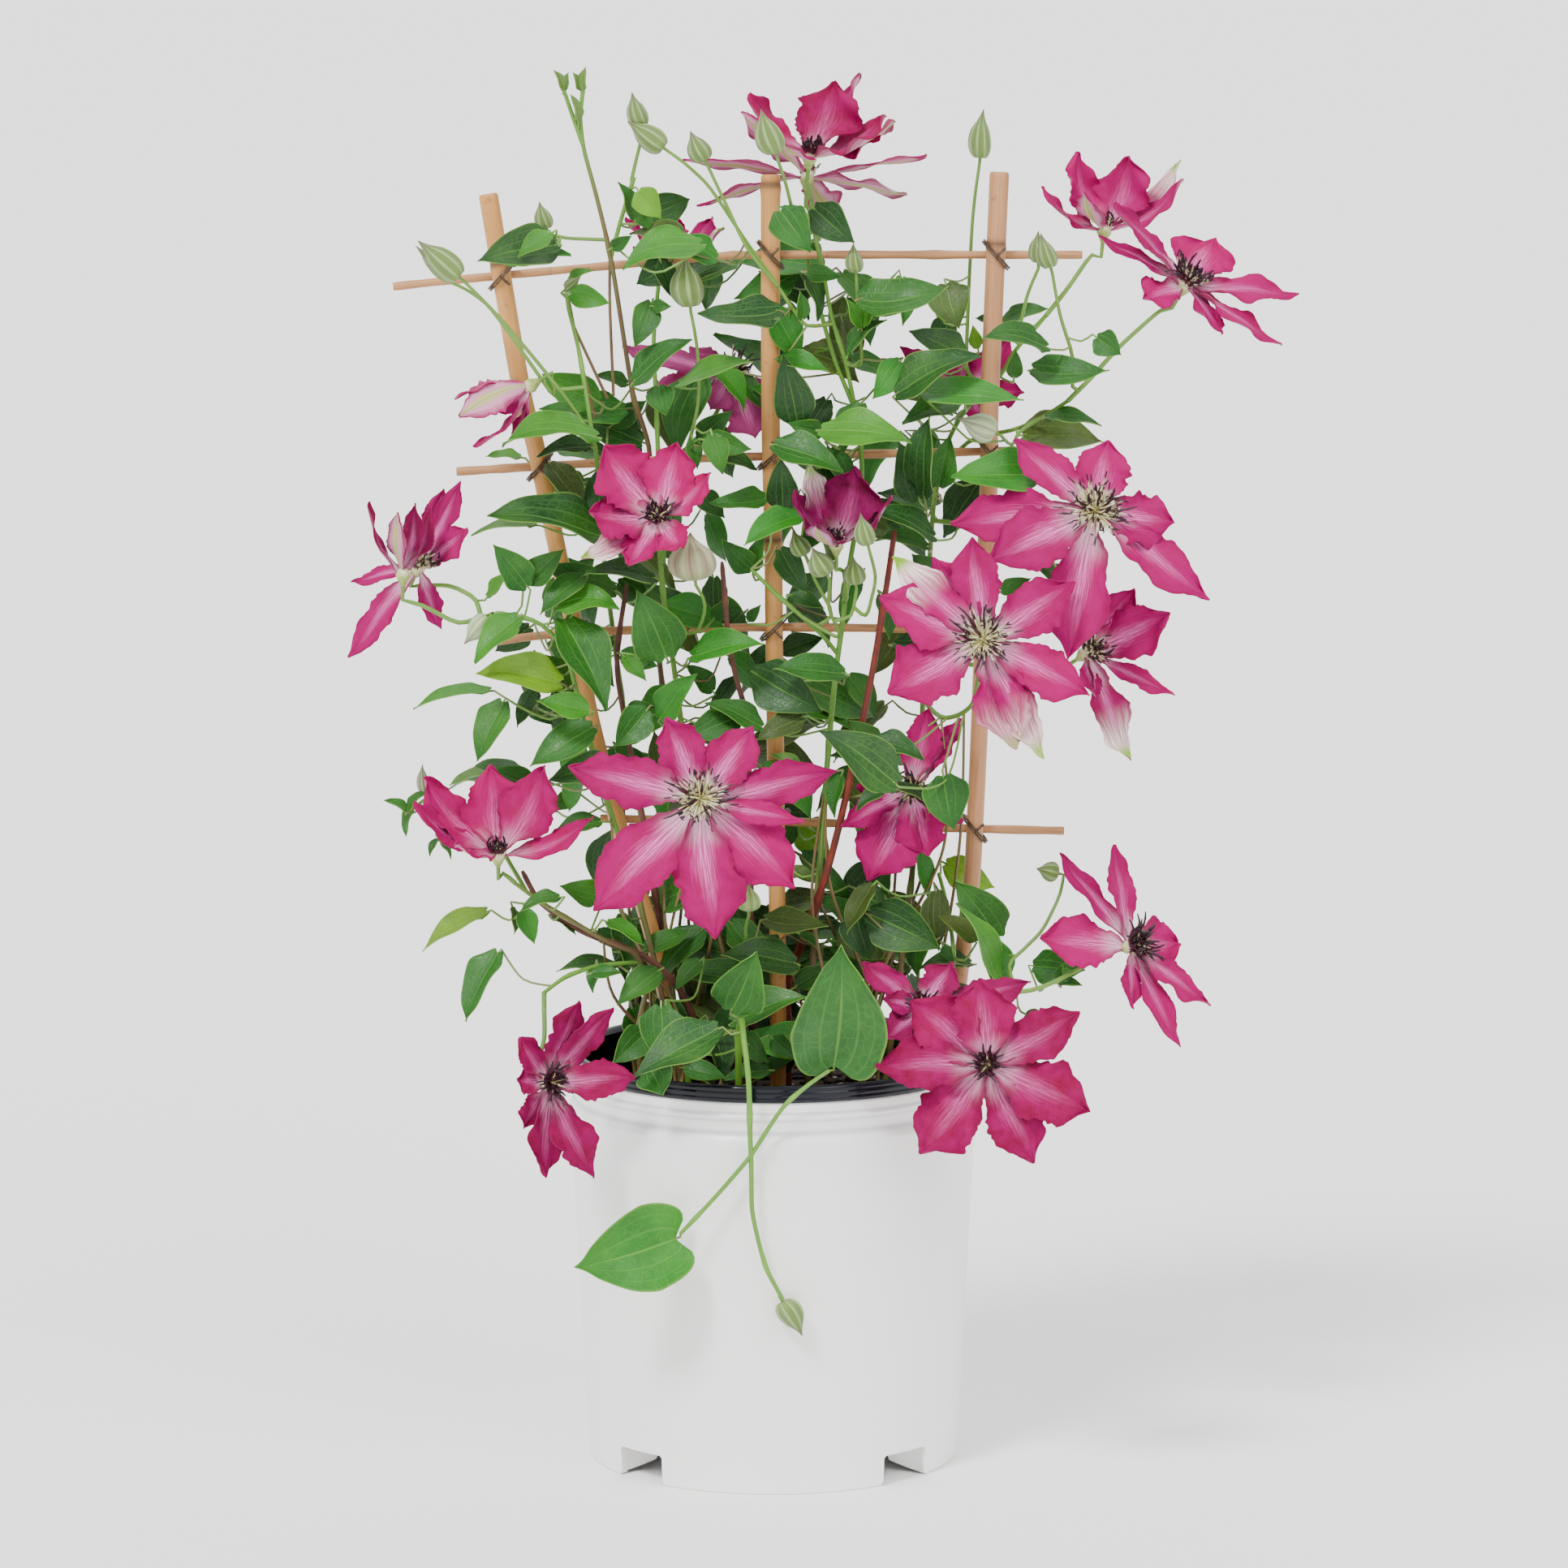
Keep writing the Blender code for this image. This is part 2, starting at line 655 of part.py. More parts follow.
# Trellis: three bamboo stakes fanned out of the pot, and four thin rungs tied behind them
STAKES = {
    "stake_left": [(-117, 515), (-104, 438), (-97, 409), (-88, 366), (-82, 339), (-75, 300), (-62, 251),
                   (-50, 212), (-44, 185), (-37, 148)],
    "stake_middle": [(-1, 523), (-1, 426), (0, 373), (1, 286), (2, 190), (2, 148)],
    "stake_right": [(93, 524), (89, 431), (88.5, 394), (85, 302), (83, 258), (81.5, 233), (77, 196), (71, 148)],
}
RUNGS = {
    "rung_1": (1.8, [(-156, 477), (-117, 481), (-27, 489), (-1, 490), (127, 490)]),
    "rung_2": (1.9, [(-130, 401), (-73, 404.5), (-12, 407), (52, 408.5), (98, 409.5)]),
    "rung_3": (1.9, [(-117, 331), (-79, 335), (-12, 337), (19, 337), (97, 336)]),
    "rung_4": (1.9, [(-71, 258.5), (12, 257), (78, 254.5), (119.5, 253.5)]),
}
TIES = [
    ("stake_left", "rung_1"), ("stake_middle", "rung_1"), ("stake_right", "rung_1"),
    ("stake_middle", "rung_2"), ("stake_middle", "rung_3"), ("stake_right", "rung_4"),
]


def level_of(line, up):
    """Across, where a line in the front view passes this height, and the line's way there."""
    for (a, b), (c, d) in zip(line, line[1:]):
        if min(b, d) <= up <= max(b, d):
            return a + (c - a) * (up - b) / (d - b), Vector((a - c, 0, b - d)).normalized()
    return line[-1][0], UP


def crossing(stake_line, rung_line):
    """Where a stake and a rung cross in the front view."""
    up = rung_line[1][1]
    for _ in range(6):
        across, way = level_of(stake_line, up)
        for (a, b), (c, d) in zip(rung_line, rung_line[1:]):
            if a <= across <= c:
                up = b + (d - b) * (across - a) / (c - a)
    return across, up, way


def stake_radius(up):
    return STAKE_LOW_RADIUS + (STAKE_TOP_RADIUS - STAKE_LOW_RADIUS) * max(0, up - 148) / 370


stakes = []
for name, line in STAKES.items():
    points = [seen(a, u) for a, u in line]
    radii = [stake_radius(u) for _, u in line]
    foot = points[-1] + (points[-1] - points[-2]).normalized() * STAKE_DEPTH_IN_SOIL
    stakes.append(make_object(name, tube(points + [foot], radii + [STAKE_LOW_RADIUS], STAKE_SIDES), bamboo))
    deeper = foot + (foot - points[-1]).normalized() * 2
    above = points[-1] + (points[-1] - foot).normalized() * 6
    holes.append(tube([above, deeper], [STAKE_LOW_RADIUS + 0.7] * 2, 8))

rungs = []
for name, (radius, line) in RUNGS.items():
    back = stake_radius(line[1][1]) + radius + SEAT_GAP
    points = [seen(a, u, -back) for a, u in line]
    rungs.append(make_object(name, tube(points, [radius] * len(points), 7), bamboo))

ties = []
for stake_name, rung_name in TIES:
    rung_radius, rung_line = RUNGS[rung_name]
    across, up, way = crossing(STAKES[stake_name], rung_line)
    thick = stake_radius(up)
    back = thick + rung_radius + SEAT_GAP
    deep = back + rung_radius
    centre = seen(across, up, (thick - deep) / 2)
    ring_radius = (thick + deep) / 2 + SEAT_GAP + TIE_WIRE_RADIUS + 0.5
    level = Vector((1 if way.x < 0 else -1, 0, 0))
    diagonal = (way + level).normalized()
    loop, flat = [], Vector((0, 1, 0))
    for i in range(8):
        angle = 2 * math.pi * i / 8
        out = flat * math.cos(angle) + diagonal * math.sin(angle)
        for j in range(3):
            turn = 2 * math.pi * j / 3
            lift = flat.cross(diagonal) * math.sin(turn) + out * math.cos(turn)
            loop.append(centre + out * ring_radius * 1.06 + lift * TIE_WIRE_RADIUS)
    sides = []
    for i in range(8):
        for j in range(3):
            a, b = i * 3 + j, i * 3 + (j + 1) % 3
            c, d = (a + 3) % 24, (b + 3) % 24
            sides += [(a, b, d), (a, d, c)]
    name = f"tie_{stake_name.split('_')[1]}_{rung_name.split('_')[1]}"
    ties.append(make_object(name, (loop, outward(loop, sides)), wire))

# Blooms. Centre: across, up, forward. Facing: the way the face looks. Bulge: how far the tepals are
# cupped. Each tepal: tip across, tip up, how far the tip reaches forward of the centre, width.
BLOOMS = {
    "bloom_top_front": ((15, 530, 14), (0.1, -0.3, 0.95), 0.10, [
        (-9, 557, 4, 22), (26, 561, -14, 27), (46, 548, -2, 22), (4, 535, 22, 17), (50, 545, 16, 24)]),
    "bloom_top_back": ((14, 521, -16), (0.05, 0.4, 0.9), -0.04, [
        (-37, 530, 2, 10), (-31, 509, 10, 13), (-14, 548, -4, 18), (37, 564, -26, 20), (63, 532, -8, 12),
        (55, 515, 8, 14), (24, 507, -8, 18)]),
    "bloom_right_cup": ((136, 500, -6), (0.1, -0.1, 0.98), 0.12, [
        (111, 519, 6, 14), (124, 532, -8, 20), (146, 531, -8, 25), (168, 522, 2, 15), (127, 515, 16, 13),
        (168, 528, -16, 10)]),
    "bloom_right_open": ((169, 477, 16), (0.42, -0.4, 0.81), -0.03, [
        (141, 512, 4, 20), (133, 497, 6, 9), (181, 496, -20, 24), (216, 475, 2, 17), (209, 453, 12, 16),
        (184, 457, 16, 14), (152, 473, 12, 16)]),
    "bloom_left_nodding": ((-100, 436, 16), (-0.85, -0.15, -0.5), 0.12, [
        (-131, 432, 2, 13), (-129, 423, 10, 15), (-123, 411, 6, 15), (-106, 416, -4, 13), (-116, 426, -12, 12)]),
    "bloom_back_left": ((-40, 488, -24), (0, -0.25, 0.97), 0.06, [
        (-60, 506, 0, 10), (-46, 506, -12, 17), (-25, 506, -10, 18), (-20, 501, 8, 12), (-58, 492, 8, 12)]),
    "bloom_back_middle": ((-17, 440, -24), (0.2, -0.75, 0.6), -0.03, [
        (-62, 452, 0, 13), (-34, 453, -8, 13), (-52, 434, 4, 14), (-26, 426, 8, 12), (-7, 415, 8, 19),
        (12, 424, 0, 12)]),
    "bloom_back_right": ((80, 432, -26), (-0.1, -0.85, 0.5), -0.03, [
        (36, 448, 0, 9), (52, 452, -4, 9), (98, 456, -4, 14), (103, 434, 2, 14), (63, 434, 6, 13),
        (86, 423, 10, 12), (75, 450, -8, 12)]),
    "bloom_upper_left": ((-47, 381, 34), (-0.1, -0.75, 0.65), 0.04, [
        (-69, 412, -4, 27), (-39, 413, -8, 19), (-26, 401, 2, 15), (-76, 384, 6, 22), (-79, 366, 12, 13),
        (-60, 362, 18, 15), (-38, 370, 20, 15)]),
    "bloom_dark_cup": ((26, 371, 36), (0, -0.25, 0.95), 0.12, [
        (16, 404, -4, 16), (34, 403, -8, 22), (48, 392, 4, 14), (8, 393, 4, 14), (18, 380, 15, 13),
        (37, 379, 13, 12)]),
    "bloom_far_left_cup": ((-152, 359, 26), (0.03, -0.15, 0.98), 0.10, [
        (-165, 389, 4, 12), (-155, 384, 9, 10), (-146, 388, -2, 11), (-141, 387, -7, 10)]),
    "bloom_far_left_open": ((-146, 361, 8), (0.3, -0.6, 0.7), -0.02, [
        (-135, 394, -8, 11), (-128, 397, -2, 10), (-126, 378, 6, 14), (-137, 336, 8, 9), (-175, 325, 4, 11),
        (-173, 355, -2, 8)]),
    "bloom_right_upper": ((132, 384, 38), (0.08, -0.92, 0.36), -0.03, [
        (73, 380, 4, 20), (88, 364, 10, 24), (121, 324, 14, 25), (179, 348, 8, 17), (165, 380, 0, 23),
        (138, 414, -8, 22), (99, 414, -6, 16)]),
    "bloom_right_large": ((86, 331, 66), (0.02, -0.93, 0.34), -0.03, [
        (44, 350, 0, 22), (49, 366, -6, 15), (66, 366, -6, 16), (82, 374, -6, 19), (124, 356, -14, 20),
        (130, 309, 4, 19), (47, 310, 6, 26), (111, 283, 8, 15), (100, 287, 12, 22)]),
    "bloom_right_hidden": ((128, 326, 12), (0.6, -0.6, 0.5), -0.02, [
        (163, 343, 2, 22), (165, 309, 4, 11), (146, 282, 8, 18), (133, 309, 12, 13), (148, 353, -10, 16)]),
    "bloom_behind_stake": ((57, 270, 14), (-0.05, -0.93, 0.3), -0.03, [
        (28, 255, 4, 12), (39, 233, 8, 24), (64, 243, 8, 20), (78, 257, 2, 14), (64, 304, -8, 15),
        (77, 300, -12, 9), (34, 272, -2, 11)]),
    "bloom_lower_left_large": ((-30, 266, 66), (0, -0.95, 0.3), -0.03, [
        (-84, 280, -2, 21), (-44, 300, -4, 19), (-8, 296, -4, 20), (26, 278, 0, 17), (13, 257, 6, 9),
        (9, 230, 6, 25), (-24, 209, 8, 26), (-74, 221, 6, 26)]),
    "bloom_left_cup": ((-113, 243, 46), (0, -0.42, 0.9), 0.10, [
        (-147, 266, 8, 14), (-144, 275, -6, 20), (-116, 281, -14, 24), (-93, 280, -10, 22), (-74, 260, 4, 12),
        (-131, 247, 20, 13)]),
    "bloom_low_right": ((146, 206, 28), (0.72, -0.6, 0.33), -0.02, [
        (117, 244, -2, 11), (141, 248, -10, 16), (167, 207, -16, 20), (110, 210, 10, 22), (179, 181, 0, 14),
        (168, 165, 8, 13), (147, 180, 12, 11)]),
    "bloom_at_rim_left": ((-93, 150, 76), (0.62, -0.75, 0.2), -0.02, [
        (-80, 184, 0, 16), (-65, 180, 2, 13), (-56, 152, 6, 15), (-73, 111, 8, 19), (-94, 111, 6, 15),
        (-103, 169, 2, 14), (-105, 151, 0, 12), (-102, 131, 4, 12)]),
    "bloom_at_rim_right": ((88, 157, 92), (0, -0.95, 0.3), -0.03, [
        (85, 193, -4, 24), (57, 184, -2, 23), (126, 179, 0, 20), (130, 138, 6, 25), (107, 117, 6, 21),
        (60, 121, 6, 25), (42, 157, 2, 20)]),
    "bloom_behind_rim": ((62, 180, 60), (-0.2, -0.75, 0.65), -0.02, [
        (37, 200, -4, 12), (74, 199, -8, 16), (45, 184, 2, 9), (46, 168, 6, 12), (106, 192, -10, 14)]),
}
# Separate stamens where they show: spread of the filaments in degrees, and their length
STAMENS = {
    "bloom_right_open": (50, 12), "bloom_upper_left": (42, 9), "bloom_right_upper": (60, 15),
    "bloom_right_large": (60, 14), "bloom_lower_left_large": (60, 14), "bloom_low_right": (45, 12),
    "bloom_at_rim_left": (40, 11), "bloom_at_rim_right": (35, 9),
}
BLOOM_MOVES = [0, 3, -3, 6, -6, 9, -9, 12, -12, 15, -15, 18, -18, 21, -21, 24, -24]

solids = {obj.name: tree_of(shape_of(obj)) for obj in [pot, lining, *stakes, *rungs, *ties]}
bloom_ends = {}
for name, (centre, facing, bulge, tepals) in BLOOMS.items():
    across, up, forward = centre
    for move in BLOOM_MOVES:
        place = (across, up, forward + move)
        shapes = bloom_shapes(place, facing, tepals, bulge)
        if not any(crosses(solids.values(), shape) for shape in shapes):
            break
    else:
        print(name, "is not clear anywhere")
    if move:
        print(name, "moved by", move)
    heart = seen(*place)
    facing = Vector(facing).normalized()
    bloom_ends[name] = (heart - facing * (KNOB_DEPTH + SEAT_GAP), heart - facing * (KNOB_DEPTH + 6))
    made = fuse(name, shapes, magenta)
    solids[name] = tree_of(shape_of(made))
    if name not in STAMENS:
        continue
    spread, length = STAMENS[name]
    for _ in range(9):
        tuft = stamen_shape(place, facing, math.radians(spread), length)
        if not crosses(solids.values(), tuft):
            break
        spread, length = spread * 0.85, length * 0.94
    stamens = make_object(name.replace("bloom", "stamens"), tuft, cream)
    solids[stamens.name] = tree_of(shape_of(stamens))

# Woody stems: bare, reddish, rising out of the crown
WOODY = {
    "woody_stem_right": (1.8, (6, -8), [(6, 190, 4), (11, 205, 10), (20, 230, 14), (27, 255, 16), (36, 295, 20),
                                        (41, 320, 22), (46, 350, 24), (50, 377, 24)]),
    "woody_stem_left": (1.5, (-44, -6), [(-45, 200, 0), (-52, 250, 8), (-62, 305, 10), (-64, 326, 12),
                                         (-60, 355, 10)]),
    "woody_stem_middle": (1.5, (-8, -14), [(-9, 200, 0), (-10, 260, 8), (-10, 295, 14), (-14, 312, 16),
                                           (-18, 330, 16), (-21, 364, 14)]),
    "woody_branch_low": (1.6, (-28, 4), [(-34, 180, 10), (-50, 200, 22), (-80, 213, 28), (-97, 226, 30),
                                         (-103, 237, 30)]),
}
stem_trees = {}
for name, (radius, (across, forward), stops) in WOODY.items():
    foot, top = plant_in_soil(across, forward, radius)
    others = [*solids.values(), *stem_trees.values()]
    points, blocked = route([as_seen(top)] + stops, others, radius, False)
    if blocked:
        print(name, "is blocked at", blocked)
    points = [foot] + thinned(points, 0.6, others, radius + FREE_GAP)
    radii = [radius * (1 - 0.35 * k / len(points)) for k in range(len(points))]
    made = make_object(name, tube(points, radii, 4), bark)
    stem_trees[name] = tree_of(shape_of(made))
solids.update(stem_trees)

# Vines. Root: across and forward of the pot's axis. Stem: stops of across, up, forward.
# Stalks: bloom name and the stops between it and the stem. Branches: further stems off the first.
# Buds: base across and up, tip across and up, width, forward, stops back to the stem.
# Leaves: base across and up, tip across and up, width as seen, forward.
VINES = {
    "vine_left": {
        "root": (-36, 18),
        "stem": [
            (-44, 178, 16), (-50, 205, 12), (-58, 235, 12), (-68, 265, 14), (-78, 300, 16), (-86, 328, 18),
            (-99, 340, 20), (-112, 343, 22),
        ],
        "stalks": [
            ("bloom_far_left_cup", [(-144, 346), (-129, 339), (-120, 341)]),
            ("bloom_far_left_open", [(-133, 354), (-122, 348)]),
        ],
        "buds": [
            (-117, 341, -127, 330, 9, 26, []),
        ],
        "leaves": [
            (-101, 354, -115, 371, 14, 24), (-101, 356, -86, 369, 12, 22), (-78, 358, -96, 343, 10, 20),
            (-88, 346, -63, 345, 12, 26), (-105, 341, -123, 323, 12, 32), (-100, 337, -114, 327, 12, -8),
            (-88, 314, -122, 319, 16, 28), (-86, 340, -68, 303, 20, 22), (-76, 303, -97, 307, 11, 34),
            (-111, 306, -122, 282, 13, 20), (-74, 296, -100, 280, 15, 26), (-66, 281, -92, 275, 14, 18),
            (-102, 277, -134, 272, 8, -6), (-96, 268, -118, 279, 10, 2),
        ],
    },
    "vine_upper_left": {
        "root": (-26, -22),
        "stem": [
            (-36, 180, -20), (-48, 230, -16), (-58, 280, -14), (-65, 330, -14), (-70, 370, -4),
            (-72, 400, 8), (-74, 414, 12), (-80, 424, 16),
        ],
        "branches": [
            [(-74, 414, 12), (-76, 428, 14), (-80, 452, 10), (-84, 468, 8), (-85, 476, 8)],
        ],
        "stalks": [
            ("bloom_left_nodding", [(-90, 435)]),
        ],
        "buds": [
            (-129, 481, -146, 496, 11, 30, [(-113, 465), (-96, 445), (-85, 431)]),
            (-133, 480, -147, 494, 6, 16, [(-118, 470), (-100, 446), (-90, 432)]),
            (-85, 476, -79, 481, 5, 8, []),
        ],
        "leaves": [
            (-72, 430, -95, 441, 16, -4), (-73, 415, -111, 413, 11, 26), (-70, 374, -117, 384, 16, 22),
            (-49, 357, -77, 360, 9, 26), (-70, 402, -70, 377, 9, 6), (-66, 420, -52, 430, 10, -16),
        ],
    },
    "young_shoot": {
        "root": (-16, -36),
        "stem": [
            (-24, 180, -36), (-36, 240, -34), (-44, 300, -30), (-50, 360, -24), (-51, 411, -8),
            (-57, 430, -4), (-66, 485, 8), (-72, 512, 8), (-78, 535, 8), (-79, 549, 8), (-78, 558, 8),
        ],
        "branches": [
            [(-78, 536, 8), (-83, 549, 9), (-86, 558, 9)],
            [(-67, 488, 8), (-62, 506, 6), (-57, 522, 6)],
        ],
        "stalks": [],
        "buds": [
            (-54, 543, -58, 557, 8, 6, [(-56, 530), (-58, 521)]),
            (-93, 501, -96, 512, 7, 14, [(-85, 497)]),
        ],
        "leaves": [
            (-89, 494, -121, 488, 18, 22), (-108, 487, -83, 490, 9, 16), (-50, 506, -34, 513, 14, -8),
            (-55, 516, -46, 505, 12, 14), (-30, 494, -62, 485, 14, 18),
        ],
    },
    "vine_middle_left": {
        "root": (-12, 10),
        "stem": [
            (-15, 180, 10), (-22, 210, 4), (-32, 250, 2), (-38, 300, 4), (-42, 330, 10), (-46, 360, 12),
            (-47, 400, 4), (-48, 430, 0), (-49, 455, -6), (-47, 478, -10),
        ],
        "stalks": [
            ("bloom_back_left", [(-43, 482)]),
            ("bloom_lower_left_large", [(-33, 258)]),
            ("bloom_back_middle", [(-24, 424), (-36, 410)]),
            ("bloom_upper_left", [(-45, 372), (-45, 364)]),
        ],
        "buds": [
            (-34, 469, -36, 490, 13, 12, [(-31, 450), (-31, 428), (-38, 405)]),
            (-32, 357, -34, 376, 19, 30, [(-28, 346), (-32, 335)]),
        ],
        "leaves": [
            (-43, 487, -56, 478, 13, -12), (-38, 478, -15, 488, 10, -14), (-50, 470, -57, 452, 12, 10),
            (-57, 438, -34, 456, 11, 14), (-38, 437, -8, 446, 8, 18), (-44, 325, -56, 352, 23, 24),
            (-35, 341, -53, 355, 14, -8), (-46, 300, -32, 318, 13, 20), (-52, 303, -65, 288, 15, 22),
            (-28, 414, -9, 410, 11, 16), (-25, 416, -21, 400, 11, 24), (-30, 414, -17, 426, 11, 12),
            (-33, 325, -4, 331, 12, 22), (-14, 300, -37, 290, 14, 22),
        ],
    },
    "vine_middle": {
        "root": (14, 12),
        "stem": [
            (15, 180, 14), (17, 210, 12), (20, 250, 10), (23, 290, 10), (26, 320, 12), (28, 335, 12),
            (31, 360, 6), (36, 390, 0), (36, 410, -4), (34, 425, -4), (26, 445, -2), (20, 465, -4),
            (15, 485, -8), (13, 495, -10),
        ],
        "branches": [
            [(28, 326, 12), (20, 334, 16), (0, 352, 18), (-9, 361, 18)],
            [(34, 425, -4), (30, 445, 0), (24, 465, 2), (21, 482, 2)],
        ],
        "stalks": [
            ("bloom_top_back", [(15, 508)]),
            ("bloom_top_front", [(16, 512), (17, 500)]),
            ("bloom_dark_cup", [(29, 360), (30, 350)]),
        ],
        "buds": [
            (-45, 534, -60, 545, 10, 6, [(-28, 520), (-10, 494), (0, 480), (14, 461)]),
            (-28, 529, -34, 541, 9, 12, [(-18, 508), (-10, 492), (2, 477)]),
            (1, 532, -5, 550, 11, 34, [(5, 520), (8, 508), (11, 497)]),
            (34, 483, 33, 495, 7, 14, [(35, 465), (36, 445)]),
            (13, 367, 8, 377, 8, 26, [(17, 357), (24, 342)]),
            (22, 359, 16, 370, 10, 36, [(23, 345), (27, 333)]),
            (34, 355, 33, 366, 9, 30, [(32, 342)]),
            (39, 371, 36, 384, 8, 44, [(42, 358), (38, 342)]),
            (-10, 221, -10, 232, 10, 44, [(-11, 208), (-2, 196)]),
        ],
        "leaves": [
            (3, 508, 15, 491, 17, 22), (17, 509, 33, 495, 16, 14), (36, 472, 72, 478, 16, 18),
            (2, 467, -31, 466, 13, 20), (52, 446, 41, 431, 13, 16), (10, 421, 4, 449, 17, 12),
            (20, 418, 57, 413, 15, 24), (1, 412, 29, 401, 14, 20), (11, 383, -12, 371, 11, 28),
            (4, 386, 3, 407, 14, 20), (-3, 390, -26, 388, 9, 12), (-9, 361, -21, 373, 11, 14),
            (3, 369, 14, 351, 12, 20), (4, 327, 21, 333, 10, -10), (-7, 318, 20, 303, 22, 16),
            (29, 318, 0, 320, 12, 26), (12, 300, -7, 291, 11, 24), (-5, 296, -28, 306, 10, 8),
            (31, 317, 42, 300, 11, -6), (11, 256, 23, 242, 14, -12), (-3, 217, 23, 215, 11, 22),
            (9, 199, -21, 203, 15, 26),
        ],
    },
    "vine_right": {
        "root": (46, 8),
        "stem": [
            (50, 180, 8), (54, 210, 4), (58, 245, -6), (61, 290, -10), (62, 330, -8), (64, 360, -6),
            (67, 395, -6), (74, 418, -10), (84, 432, -12), (93, 440, -12), (99, 450, -8), (112, 465, -4),
        ],
        "branches": [
            [(68, 398, -6), (80, 413, -10), (98, 418, -8), (110, 423, 0), (121, 430, 6)],
        ],
        "stalks": [
            ("bloom_right_cup", [(131, 490), (120, 475)]),
            ("bloom_right_open", [(159, 467), (143, 453), (131, 440)]),
            ("bloom_back_right", [(76, 424)]),
            ("bloom_right_upper", [(112, 374), (88, 378)]),
            ("bloom_right_hidden", [(118, 322), (98, 319), (80, 322)]),
            ("bloom_right_large", [(82, 306), (70, 300)]),
            ("bloom_behind_stake", [(59, 262)]),
        ],
        "buds": [
            (85, 530, 86.5, 550, 9, -10, [(82, 505), (80, 465), (80, 442)]),
            (91, 417, 76, 423, 11, 26, [(98, 412), (101, 417)]),
            (109, 487, 109, 500, 7, 8, [(105, 475), (102, 460)]),
            (114, 485, 110, 499, 8, 14, [(118, 465), (123, 448), (123, 436)]),
        ],
        "leaves": [
            (78, 449, 56, 459, 13, 12), (71, 478, 76, 460, 18, 8), (112, 452, 86, 456, 10, 22),
            (107, 443, 138, 443, 13, 12), (51, 433, 85, 449, 15, 14), (62, 434, 103, 431, 12, 24),
            (76, 431, 53, 421, 12, 20), (60, 390, 52, 413, 18, 8), (62, 392, 64, 424, 13, 14),
            (68, 395, 73, 416, 13, 18), (108, 400, 73, 399, 18, 26), (103, 416, 136, 414, 16, -2),
            (84, 396, 70, 374, 15, -16), (66, 374, 40, 385, 10, 18), (50, 330, 72, 327, 9, 6),
            (50, 273, 20, 295, 20, 34), (42, 291, 62, 283, 10, 40), (70, 276, 74, 254, 20, 40),
        ],
    },
    "vine_low_right": {
        "root": (58, 24),
        "stem": [
            (62, 170, 28), (70, 182, 34), (82, 188, 36),
        ],
        "branches": [
            [(70, 182, 34), (74, 200, 16), (72, 220, 4), (68, 236, -4)],
        ],
        "stalks": [
            ("bloom_low_right", [(128, 198), (106, 188)]),
            ("bloom_at_rim_right", [(84, 172)]),
            ("bloom_behind_rim", [(64, 174)]),
        ],
        "buds": [
            (117, 236, 108, 238, 8, 18, [(118, 228), (110, 212), (97, 198)]),
        ],
        "leaves": [
            (92, 210, 75, 233, 20, 16), (93, 190, 76, 224, 9, 40), (95, 192, 84, 214, 13, 30),
            (71, 240, 91, 230, 14, -16), (107, 198, 128, 196, 15, 10), (34, 220, 40, 200, 17, 22),
            (40, 219, 69, 205, 22, 20), (41, 231, 30, 211, 9, 30),
        ],
    },
    "vine_low_left": {
        "root": (-54, 20),
        "stem": [
            (-55, 172, 22), (-52, 190, 22), (-56, 202, 26), (-68, 208, 28), (-82, 216, 32), (-95, 224, 36),
            (-106, 232, 40),
        ],
        "branches": [
            [(-102, 229, 38), (-108, 240, 26), (-118, 254, 18), (-134, 256, 14), (-146, 264, 12)],
            [(-55, 200, 24), (-72, 198, 34), (-86, 193, 42), (-94, 187, 50)],
        ],
        "stalks": [
            ("bloom_left_cup", [(-111, 236)]),
            ("bloom_at_rim_left", [(-94, 168), (-94, 180)]),
        ],
        "buds": [
            (-143, 269, -144, 281, 5, 14, []),
        ],
        "leaves": [
            (-71, 227, -87, 231, 12, 20), (-118, 220, -144, 204, 8, 24), (-113, 203, -126, 175, 12, 34),
            (-47, 196, -64, 182, 12, 34),
        ],
    },
    "hanging_shoot": {
        "root": (-14, 50),
        "stem": [
            (-14, 172, 62), (-13, 176, 74), (-12, 168, 86), (-10, 150, 91), (-9.5, 130, 90), (-9, 118, 89),
            (-8.5, 97, 88), (-6, 85, 87), (-2, 72, 86), (4, 61, 86),
        ],
        "branches": [
            [(-9, 121, 89), (-22, 105, 88), (-38, 88, 87)],
            [(-9, 121, 89), (6, 142, 89), (23, 155, 88)],
        ],
        "stalks": [],
        "buds": [
            (4, 60, 12, 46, 10, 86, []),
        ],
        "leaves": [
            (25, 157, 28, 207, 38, 84), (-40, 86, -81, 74, 33, 84), (-17, 180, -7, 204, 22, 72),
            (-16, 175, 14, 186, 14, 64), (-23, 172, -57, 153, 18, 84),
        ],
    },
    "rim_leaves": {
        "root": (-34, 34),
        "stem": [
            (-36, 164, 36), (-40, 176, 40), (-44, 184, 42),
        ],
        "stalks": [],
        "buds": [],
        "leaves": [
            (-46, 181, -46, 157, 19, 56), (-52, 171, -66, 158, 14, 44), (-50, 155, -45, 145, 16, 84),
            (-14, 170, -2, 158, 11, 48),
        ],
    },
}
MAIN_STEM_RADIUS = 1.4
LEAF_MOVES = [0, 4, -4, 8, -8, 12, -12, 16, -16, 20, -20, 24, -24, 28, -28, 34, -34, 40, -40]
random_lean = random.Random(7)

vine_pieces = {name: [] for name in VINES}
vine_lines = {name: [] for name in VINES}
stem_tree = {name: [] for name in VINES}
leaf_tree = {name: [] for name in VINES}


def others_of(vine):
    """Everything that a vine's pieces keep clear of."""
    trees = list(solids.values())
    for name in VINES:
        if name != vine:
            trees += stem_tree[name] + leaf_tree[name]
    return trees


